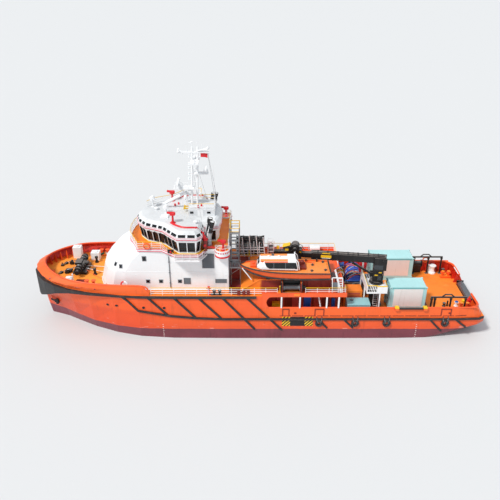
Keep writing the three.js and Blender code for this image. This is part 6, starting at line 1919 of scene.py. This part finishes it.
def crane_base():
    """Pedestal flange bolts and ladder, platform plating and rails, and the signal box behind it."""
    base = Shape()
    x, y = CRANE_X, CRANE_Y
    for z in (DECK + 0.12, DECK + 3.1):
        for spot in ring_points((x, y, z), 0.84, 20, "z"):
            base.paint(0).turned([(0.035, 0), (0.035, 0.05)], spot, 6)
    for dx in (-0.33, 0.23):
        base.paint(1).bar((x + dx, y - 0.9, DECK + 0.15), (x + dx, y - 0.9, 5.78), 0.04, 6)
    for k in range(9):
        z = DECK + 0.3 + k * 0.28
        base.bar((x - 0.33, y - 0.9, z), (x + 0.23, y - 0.9, z), 0.028, 6)
    for z in (DECK + 0.6, DECK + 2.2):
        for dx in (-0.33, 0.23):
            base.bar((x + dx, y - 0.9, z), (x + dx * 0.6, y - 0.62, z), 0.025, 6)
    piece("pedestal_gear", base, BLACK, WHITE)
    low, high = span("crane_platform")
    floor = 5.92
    plate = Shape()
    plate.paint(0).box(14.28, high.x - 0.02, low.y - 0.02, low.y + 0.02, floor - 0.08, 6.72)
    plate.box(high.x - 0.05, high.x - 0.01, low.y, -3.4, floor - 0.08, 6.5)
    plate.box(low.x, 14.28, low.y - 0.02, low.y + 0.01, floor - 0.1, floor + 0.12)
    plate.box(low.x, high.x, high.y - 0.01, high.y + 0.02, floor - 0.1, floor + 0.12)
    plate.paint(1)
    for k in range(8):
        start = low.x + 0.2 + k * 0.28
        plate.box(start, start + 0.16, low.y + 0.08, -3.62, floor, floor + 0.02)
        plate.box(start, start + 0.16, -1.62, high.y - 0.08, floor, floor + 0.02)
    piece("platform_plates", plate, WHITE, BLACK, bevel=0.01)
    edge = 0.07
    near = [(low.x + edge, high.y - edge), (low.x + edge, low.y + edge), (14.3, low.y + edge)]
    railing("platform_rail", lifted(near, floor), 0.95, 2, 1.1, 0.03)
    line = Shape().bar((14.2, low.y + 0.02, 6.8), (high.x - 0.06, low.y + 0.02, 6.8), 0.055, 8)
    line.bar((low.x + edge, low.y + edge, 6.87), (14.3, low.y + edge, 6.87), 0.05, 8)
    piece("platform_top_line", line, YELLOW)
    # The aft rail leaves a gap where the crane's column passes as it slews.
    back = high.x - 0.12
    aft_near = [(back, low.y + edge), (back, y - 1.25)]
    aft_far = [(back, y + 1.25), (back, high.y - edge), (14.9, high.y - edge)]
    railing("platform_rail_aft_near", lifted(aft_near, floor), 0.95, 2, 1.2, 0.026)
    railing("platform_rail_aft_far", lifted(aft_far, floor), 0.95, 2, 1.2, 0.026)
    box = Shape()
    box.paint(0).box(12.9, 13.75, -0.35, 0.25, 6.0, 7.5)
    box.paint(1).box(13.2, 13.42, -0.37, 0.27, 6.0, 7.51)
    box.paint(0).bar((13.3, -0.05, DECK), (13.3, -0.05, 6.05), 0.1, 8)
    piece("signal_box", box, RED, WHITE, bevel=0.03)


def column_gear():
    """Pin ends, hoses, valve block and marks on the crane's column."""
    column = Shape().at(AT_CRANE)
    pin = [(0.17, 0), (0.19, 0.02), (0.19, 0.06), (0.1, 0.09)]
    for side in (-1, 1):
        column.paint(0).turned(pin, (0.6, side * 0.67, 9.15), 16, (0, side, 0))
        outer = [(0.5, 0.35, 6.4), (0.72, 0.45, 7.0), (0.76, 0.5, 7.9), (0.7, 0.42, 8.3)]
        inner = [(0.45, 0.2, 6.4), (0.68, 0.25, 7.1), (0.7, 0.28, 8.1)]
        column.pipe(smooth([(a, side * b, c) for a, b, c in outer], 4), 0.04, 6)
        column.pipe([(a, side * b, c) for a, b, c in inner], 0.035, 6)
    column.turned([(0.17, 0), (0.19, 0.05), (0.19, 0.5), (0.12, 0.56)], (0.62, 0.0, 6.34), 14)
    column.paint(1).twin(-0.3, 0.1, 0.6, 0.625, 7.15, 7.3).box(0.15, 0.5, -0.625, -0.6, 7.55, 7.68)
    column.paint(2).box(0.05, 0.5, -0.95, -0.6, 6.75, 7.25).box(0.15, 0.4, -0.98, -0.94, 7.0, 7.2)
    column.twin(-0.45, 0.6, 0.6, 0.63, 8.02, 8.6)
    for k in range(5):
        x = 0.12 + k * 0.08
        column.paint(0).bar((x, -0.85, 7.24), (x, -0.87, 7.42), 0.013, 6)
    for z in (7.0, 7.85):
        column.box(-0.55, 0.62, -0.625, -0.6, z, z + 0.05)
    piece("column_gear", column, BLACK, YELLOW, CONSOLE, body="slew_column", bevel=0.012)


def boom_gear():
    """Collars, pressure lines, their clamps and yellow plates along the boom, and pale grey strips of
    painted highlight on its top.
    """
    boom = Shape().at(AT_CRANE)
    for x in (-7.95, -5.4, -3.0, -0.6):
        boom.paint(0).pad(x, 0, 0.06, 0.45, 8.73, 9.61)
    boom.paint(1).twin(-6.85, -5.6, 0.42, 0.465, 9.05, 9.4)
    boom.box(-6.7, -5.75, -0.45, -0.05, 9.585, 9.63)
    boom.paint(3).box(-6.75, -5.7, -0.47, -0.44, 8.98, 9.04)
    # Pale grey strips along the boom's top: painted highlight.
    boom.paint(4).box(-7.8, -0.7, 0.3, 0.39, 9.57, 9.62).box(-7.8, -0.7, -0.1, 0.12, 9.57, 9.6)
    boom.paint(2)
    for y in (-0.3, -0.2, 0.22):
        boom.pipe([(0.7, y, 9.64), (0.2, y, 9.66), (-7.6, y, 9.66), (-7.85, y, 9.64)], 0.03, 6)
    for k in range(7):
        boom.box(-7.3 + k * 1.2, -7.2 + k * 1.2, -0.36, 0.3, 9.58, 9.71)
    piece("boom_gear", boom, BLACK, YELLOW, RUBBER, WHITE, BOOM_TOP_HIGHLIGHT, body="main_boom", bevel=0.012)


def head_gear():
    """Drum flanges, motors, hoses, guard plates and rope turns at the crane's head."""
    head = Shape().at(AT_CRANE)
    x, z = DRUM_X, DRUM_Z
    for side in (-1, 1):
        head.paint(0).turned(FLANGE, (x, side * 0.5, z), 20, (0, side, 0))
        head.box(x - 0.12, x + 0.12, side * 0.5, side * 0.56, 9.6, z)
        head.bar((x - 0.45, side * 0.52, 9.7), (x + 0.1, side * 0.52, z + 0.1), 0.06, 6)
        head.bar((x + 0.5, side * 0.52, 9.7), (x - 0.1, side * 0.52, z + 0.1), 0.06, 6)
        hose = [(x + 0.3, side * 0.3, z + 0.1), (x + 0.75, side * 0.36, z), (x + 0.95, side * 0.34, 9.75)]
        head.pipe(smooth([*hose, (x + 1.2, side * 0.3, 9.62)], 4), 0.04, 6)
        head.turned(MOTOR, (x, side * 0.7, z), 16, (0, side, 0))
        for spot in ring_points((x, side * 0.57, z), 0.33, 10):
            head.turned([(0.03, 0), (0.03, 0.04)], spot, 6, (0, side, 0))
    head.box(x - 1.5, x - 0.7, -0.34, 0.34, 9.88, 10.02)
    head.box(x - 0.75, x - 0.3, -0.46, 0.46, 9.9, 10.3)
    loose = [(x - 1.4, -0.1, 9.95), (x - 1.0, -0.16, 10.3), (x - 0.5, -0.2, 10.42), (x, -0.2, 10.6)]
    head.pipe(smooth(loose, 4), 0.035, 6)
    for y in (-0.2, 0.2):
        head.bar((x - 2.45, y, 9.42), (x - 1.2, y, 9.56), 0.045, 6)
    head.paint(1)
    guard = [(-1.55, 10.1), (-1.5, 10.14), (-0.62, 10.46), (-0.62, 10.42)]
    head.prism([(x + a, b) for a, b in guard], -0.44, 0.44, "y")
    head.twin(x - 1.2, x - 0.75, 0.42, 0.46, 9.7, 9.95)
    head.box(x + 0.45, x + 0.8, -0.46, -0.42, 9.5, 9.75)
    head.paint(2)
    for k in range(10):
        head.pipe(ring_points((x, -0.38 + 0.084 * k, z), 0.38, 16), 0.04, 5, closed=True)
    piece("crane_head_gear", head, BLACK, YELLOW, STEEL, body="boom_extension", bevel=0.01)


def container(node, panel, ends):
    """Castings, posts, recessed side panels with ribs, roof lines and end doors of a deck container."""
    low, high = span(node)
    x0, x1, y0, y1, top = low.x + 0.1, high.x - 0.1, low.y, high.y, high.z
    shape = Shape()
    for x in (x0, x1):
        for y in (y0, y1):
            for z in (3.34, top - 0.085):
                shape.paint(0).block((x, y, z), (0.26, 0.2, 0.18))
                shape.paint(3).block((x, y, z), (0.1, 0.215, 0.08))
            shape.paint(0).pad(x, y, 0.09, 0.04, 3.3, top - 0.02)
    for y, out in ((y0, -1), (y1, 1)):
        shape.paint(4).box(x0 + 0.12, x1 - 0.12, y - 0.035, y + 0.035, top - 0.24, top - 0.07)
        shape.paint(0).box(x0, x1, y - 0.035, y + 0.035, 3.3, 3.46)
        shape.paint(1).box(x0 + ends[0], x1 - ends[1], y + out * 0.005, y + out * 0.03, 3.5, top - 0.28)
    for k in range(9):
        x = x0 + 0.35 + k * (x1 - x0 - 0.7) / 8
        shape.paint(0).box(x - 0.05, x + 0.05, y0 + 0.15, y1 - 0.15, top - 0.01, top + 0.018)
    for x, side in ((x0, -1), (x1, 1)):
        for k in (-1, 1):
            middle = (y0 + y1) / 2 + k * (y1 - y0) / 4
            shape.paint(0).box(x + side * 0.1, x + side * 0.13, middle - 0.5, middle + 0.5, 3.5, top - 0.2)
            for dy in (-0.26, 0.26):
                foot, head = (x + side * 0.16, middle + dy, 3.45), (x + side * 0.16, middle + dy, top - 0.15)
                shape.paint(2).bar(foot, head, 0.025, 6)
            shape.box(x + side * 0.13, x + side * 0.18, middle - 0.3, middle + 0.3, 4.35, 4.42)
    piece(node + "_frame", shape, AQUA, panel, GREY, BLACK, AQUA_EDGE, bevel=0.012)
    rib = Shape().at(Matrix.Translation((x0 + ends[0] + 0.18, 0, 0)))
    for y, out in ((y0, -1), (y1, 1)):
        rib.box(-0.04, 0.04, y + out * 0.028, y + out * 0.042, 3.56, top - 0.34)
    count = int((x1 - x0 - ends[0] - ends[1] - 0.3) / 0.24)
    row(node + "_ribs", rib, count, (0.24, 0, 0), panel)


def deck_loads():
    """The containers, the trim of the tank and machinery forward of the crane with the machinery's louvre
    slats dark red as painted shade, and maroon sheets of painted shade on the deck.
    """
    container("container_near", PANEL_PALE, (0.4, 0.35))
    container("container_far", PANEL, (0.3, 0.42))
    low, high = span("deck_tank")
    tank = Shape()
    tank.paint(0).box(low.x - 0.03, high.x + 0.03, low.y - 0.03, high.y + 0.03, high.z - 0.12, high.z - 0.02)
    for x in (low.x + 0.05, (low.x + high.x) / 2, high.x - 0.05):
        for y0, y1 in ((low.y - 0.035, low.y + 0.01), (high.y - 0.01, high.y + 0.035)):
            tank.box(x - 0.05, x + 0.05, y0, y1, 3.0, high.z - 0.1)
    lid = [(0.2, 0), (0.22, 0.03), (0.22, 0.06), (0.05, 0.09)]
    tank.paint(1).turned(lid, (low.x + 0.6, (low.y + high.y) / 2 + 0.2, high.z), 16)
    piece("deck_tank_trim", tank, TANK_AQUA, GREY, bevel=0.012)
    low, high = span("machinery_block")
    block = Shape()
    block.paint(0).box(low.x - 0.02, high.x + 0.02, low.y - 0.02, high.y + 0.02, high.z - 0.1, high.z - 0.02)
    block.box(low.x + 0.2, high.x - 0.2, low.y - 0.02, low.y, 3.35, 4.45)
    # Louvre slats on the near face, dark red: painted shade.
    for k in range(6):
        z = 3.45 + k * 0.23
        block.paint(1).box(low.x + 0.3, high.x - 0.25, low.y - 0.035, low.y - 0.01, z, z + 0.13)
    block.paint(2).box(high.x, high.x + 0.03, low.y + 0.3, high.y - 0.3, 3.5, 4.6)
    piece("machinery_trim", block, DECK_PAINT, GALLERY_RED, GREY, bevel=0.012)
    # Maroon sheets on the deck aft of the near container and by the crane's platform: painted shade.
    deck_shade = Shape()
    low, high = span("container_near")
    deck_shade.box(high.x, high.x + 0.75, low.y + 0.2, high.y + 1.6, DECK - 0.01, DECK + 0.012)
    deck_shade.box(13.3, 15.9, -4.9, -4.2, DECK - 0.01, DECK + 0.012)
    piece("maroon_patches", deck_shade, MAROON)


def reel():
    """Blue hose on the umbilical reel, looser turns in other colours over it, drive and frame trim."""
    x, z = 12.65, 4.3
    for name, y in (("reel_hose_near", -0.22), ("reel_hose_far", 1.64)):
        turn = Shape().pipe(ring_points((x, y, z), 1.0, 28), 0.075, 6, closed=True)
        row(name, turn, 11, (0, 0.152, 0), BLUE_CLOTH, "umbilical_reel")
    lines = Shape()
    # Each loose turn: finish, place along the axis, sway, radius of the turn, thickness.
    table = (
        (0, 0.1, 0.2, 1.115, 0.05), (1, 0.4, -0.26, 1.12, 0.04), (3, 0.65, 0.22, 1.115, 0.045),
        (0, 0.95, 0.3, 1.13, 0.05), (2, 1.15, -0.2, 1.12, 0.045), (3, 1.9, 0.3, 1.125, 0.045),
        (2, 2.1, 0.26, 1.12, 0.04), (0, 2.4, -0.22, 1.13, 0.05), (1, 2.75, 0.15, 1.115, 0.04),
        (0, 2.95, 0.2, 1.13, 0.045), (4, 0.25, 0.3, 1.13, 0.05), (4, 0.8, -0.3, 1.14, 0.05),
        (4, 1.3, 0.2, 1.13, 0.04), (2, 0.55, 0.34, 1.14, 0.04),
    )
    for index, (finish, y, sway, out, r) in enumerate(table):
        ring = []
        for spot in ring_points((x, y, z), out, 40):
            t = atan2(spot.z - z, spot.x - x)
            ring.append(spot + Vector((0, sway * sin(2 * t + index), 0)))
        lines.paint(finish).pipe(ring, r, 6, closed=True)
    piece("reel_lines", lines, ROPE_ORANGE, YELLOW, ROPE_WHITE, BLUE_CLOTH, BLACK, body="umbilical_reel")
    frame = Shape()
    for y in (-0.63, 3.63):
        outward = 1 if y > 0 else -1
        frame.paint(0).turned([(0.24, -0.02), (0.26, 0.03), (0.2, 0.06)], (x, y, z), 16, (0, outward, 0))
        for side in (-1, 1):
            frame.paint(1).bar((x + side * 1.7, y, 3.15), (x + side * 0.3, y, 4.6), 0.06, 6)
        frame.bar((x - 0.3, y, 4.62), (x + 0.3, y, 4.62), 0.06, 6)
    drive = [(0.2, 0), (0.24, 0.05), (0.24, 0.35), (0.16, 0.4)]
    frame.paint(0).turned(drive, (x - 0.5, -0.66, 3.7), 14, (0, -1, 0))
    piece("reel_frame", frame, BLACK, GREY)
    hose_bin()


def hose_bin():
    """An open bin with slack hose in it, coils hung over it, and a rolled blue cover beside it."""
    x0, x1, y0, y1, top = 10.22, 10.86, -1.2, 2.2, 4.75
    walls = Shape()
    for x in (x0, x1 - 0.04):
        walls.paint(0).box(x, x + 0.04, y0, y1, DECK, top)
    for y in (y0, y1 - 0.04):
        walls.box(x0, x1, y, y + 0.04, DECK, top)
    walls.box(x0, x1, y0, y1, top - 0.3, top - 0.26)
    rim = [(x0, y0, top), (x1, y0, top), (x1, y1, top), (x0, y1, top)]
    walls.pipe(rim, 0.04, 6, closed=True)
    middle_x, middle_y = (x0 + x1) / 2, (y0 + y1) / 2
    walls.paint(1)
    for y in (-0.75, 0.9):
        walls.bar((middle_x, y, top - 0.3), (middle_x, y, 6.15), 0.05, 8)
    walls.bar((middle_x, -0.95, 6.1), (middle_x, 1.1, 6.1), 0.05, 8)
    for x in (10.25, 11.3):
        walls.paint(0).bar((x, 2.75, DECK), (x, 2.75, 5.35), 0.05, 8)
    piece("hose_bin", walls, GREY, WHITE)
    slack = Shape()
    for index in range(9):
        level, wide, long = top - 0.2 + 0.07 * index, 0.26 - 0.012 * index, 1.45 - 0.05 * index
        loop = []
        for t in turns(24):
            wave = 0.05 * sin(3 * t + index * 1.7)
            x, y = middle_x + (wide + wave) * cos(t), middle_y + long * sin(t)
            loop.append((x, y, level + 0.4 * wave))
        slack.paint((0, 0, 1, 0, 2, 0, 3, 0, 1)[index]).pipe(loop, 0.055, 6, closed=True)
    # Coils over the bar: place along it, radius and finish.
    table = (
        (-0.6, 0.42, 3), (-0.5, 0.46, 3), (-0.1, 0.4, 2),
        (0.05, 0.44, 4), (0.5, 0.45, 3), (0.65, 0.4, 0),
    )
    for y, radius, finish in table:
        ring = ring_points((middle_x, y, 6.08 - radius + 0.1), radius, 20)
        sway = [spot + Vector((0, 0.3 * (spot.x - middle_x), 0)) for spot in ring]
        slack.paint(finish).pipe(sway, 0.055, 6, closed=True)
    piece("bin_hose", slack, BLUE_CLOTH, ROPE_ORANGE, YELLOW, ROPE_WHITE, BLACK)
    roll = []
    for k in range(13):
        share = k / 12
        y, z = 2.75 + 0.04 * sin(9 * share), 5.5 + 0.05 * sin(14 * share + 1)
        roll.append((10.1 + 1.35 * share, y, z))
    cover = Shape()
    cover.paint(0).pipe(roll, 0.2, 10).pipe([(x, y - 0.25, z - 0.03) for x, y, z in roll[1:]], 0.14, 8)
    for k in (3, 9):
        cover.paint(1).pipe(ring_points(roll[k], 0.215, 14, "x"), 0.03, 6, closed=True)
    cover.paint(0).bar((11.2, -0.5, 4.9), (13.2, -0.5, 4.9), 0.1, 8)
    for x in (11.4, 13.0):
        cover.paint(1).bar((x, -0.5, 4.3), (x, -0.5, 4.85), 0.04, 6)
    piece("blue_rolls", cover, BLUE_PAINT, GREY)


BOLLARD = [(0.2, 0), (0.22, 0.04), (0.12, 0.16), (0.12, 0.34), (0.22, 0.42), (0.2, 0.5)]


def stern_gear():
    """Caps, cheeks and rings of the rollers, fittings at both rails, and collars on the cargo rails."""
    gear = Shape()
    for x in (16.62, 19.98):
        gear.paint(0).box(x - 0.24, x + 0.24, -6.215, -5.705, 4.36, 4.545)
    for y in (-2.3, 2.3):
        gear.paint(1).block((26.95, y * 1.06, 2.75), (0.9, 0.12, 0.9))
    piece("roller_blocks", gear, YELLOW, BLACK, bevel=0.03)
    piece("stern_white_strip", Shape().box(26.5, 26.72, 2.5, 4.3, 4.11, 4.16), WHITE)
    ring = Shape().pipe(ring_points((26.95, -1.9, 2.7), 0.505, 28), 0.02, 5, closed=True)
    row("stern_roller_rings", ring, 9, (0, 0.475, 0), STEEL, "stern_roller")
    near = Shape()
    near.paint(0).turned(BOLLARD, (23.2, -3.15, DECK), 16)
    near.turned([(0.1, 0), (0.1, 0.8)], (23.6, -3.15, DECK), 12)
    drum = [(0.26, 0), (0.28, 0.05), (0.16, 0.2), (0.16, 0.5), (0.26, 0.6)]
    near.paint(1).turned(drum, (24.7, -3.15, DECK), 18)
    near.paint(2).turned([(0.18, 0.5), (0.2, 0.58), (0.1, 0.66)], (24.7, -3.15, DECK + 0.1), 18)
    near.paint(3).box(25.45, 25.9, -3.1, -2.75, DECK, 3.55)
    near.paint(4).box(26.1, 26.5, -3.1, -2.6, DECK, 3.62)
    near.paint(0).box(26.55, 26.67, -3.1, -2.8, DECK, 3.75)
    piece("near_rail_fittings", near, BLACK, WHITE, BLUE_PAINT, YELLOW, RED, bevel=0.015)
    far = Shape()
    far.paint(0).box(21.3, 22.4, 5.2, 5.72, DECK, 3.9)
    far.turned([(0.3, -0.5), (0.34, -0.45), (0.34, 0.45), (0.3, 0.5)], (21.9, 5.5, 4.1), 18, (1, 0, 0))
    for x in (21.35, 22.45):
        far.turned([(0.5, -0.03), (0.5, 0.03)], (x, 5.5, 4.1), 20, (1, 0, 0))
    far.paint(1).pipe(ring_points((23.0, 5.6, 4.55), 0.36, 20), 0.085, 8, closed=True)
    far.paint(2).turned([(0.36, 0), (0.38, 0.06), (0.38, 0.86), (0.34, 0.95)], (24.2, 5.3, DECK), 18)
    far.paint(0).turned([(0.14, 0), (0.14, 0.5), (0.24, 0.56), (0.24, 0.66)], (25.4, 5.1, DECK), 14)
    far.paint(3).turned([(0.28, 0), (0.3, 0.05), (0.3, 0.9), (0.22, 1.0)], (23.6, 5.55, DECK), 16)
    piece("far_rail_fittings", far, BLACK, ROPE_ORANGE, MAROON, WHITE, bevel=0.015)
    caps = Shape()
    for side in (-1, 1):
        for x in (20.89, 21.3, 23.2, 24.95):
            caps.paint(0).turned([(0.24, 0), (0.26, 0.03), (0.14, 0.08)], (x, side * 5.05, DECK), 12)
            caps.turned([(0.14, 0), (0.16, 0.03), (0.16, 0.2), (0.14, 0.23)], (x, side * 5.05, 4.95), 12)
    piece("rail_collars", caps, BLACK)


crane_base()
column_gear()
boom_gear()
head_gear()
deck_loads()
reel()
stern_gear()


# STAGE

def stage():
    """A pale floor at the waterline, and soft light from ahead and to port."""
    floor = link("floor", bpy.data.meshes.new("floor"))
    reach = 700.0
    corners = [(-reach, -reach, 0), (reach, -reach, 0), (reach, reach, 0), (-reach, reach, 0)]
    floor.data.from_pydata(corners, [], [(0, 1, 2, 3)])
    pale = Finish("floor")
    floor.data.materials.append(pale.done(tone(0xD4D6D8), 0.9))
    world = bpy.data.worlds.new("sky")
    world.use_nodes = True
    world.node_tree.nodes["Background"].inputs["Color"].default_value = (0.86, 0.9, 0.95, 1)
    world.node_tree.nodes["Background"].inputs["Strength"].default_value = 0.7
    bpy.context.scene.world = world
    lamp = bpy.data.lights.new("key", "SUN")
    lamp.energy, lamp.angle, lamp.color = 2.8, radians(9), (1.0, 0.97, 0.92)
    key = bpy.data.objects.new("key", lamp)
    key.rotation_euler = Vector((-0.55, -0.5, 0.9)).to_track_quat("Z", "Y").to_euler()
    bpy.context.scene.collection.objects.link(key)
    bpy.context.scene.view_settings.view_transform = "Standard"


EYE = Vector((-0.78, -64.95, 43.09))  # where the camera stands
LOOK_DOWN = 27.7  # degrees
FOCUS, PICTURE = 593.0, 500.0  # focal length and width of the picture, in the same unit


def camera():
    """The drone's view: level, square to the port side and looking down."""
    lens = bpy.data.cameras.new("camera")
    lens.sensor_width = 36.0
    lens.lens = lens.sensor_width * FOCUS / PICTURE
    lens.clip_start, lens.clip_end = 0.5, 1500.0
    eye = bpy.data.objects.new("camera", lens)
    eye.location = EYE * SCALE
    eye.rotation_euler = (radians(90 - LOOK_DOWN), 0, 0)
    bpy.context.scene.collection.objects.link(eye)
    bpy.context.scene.camera = eye


finish_cad()
stage()
camera()
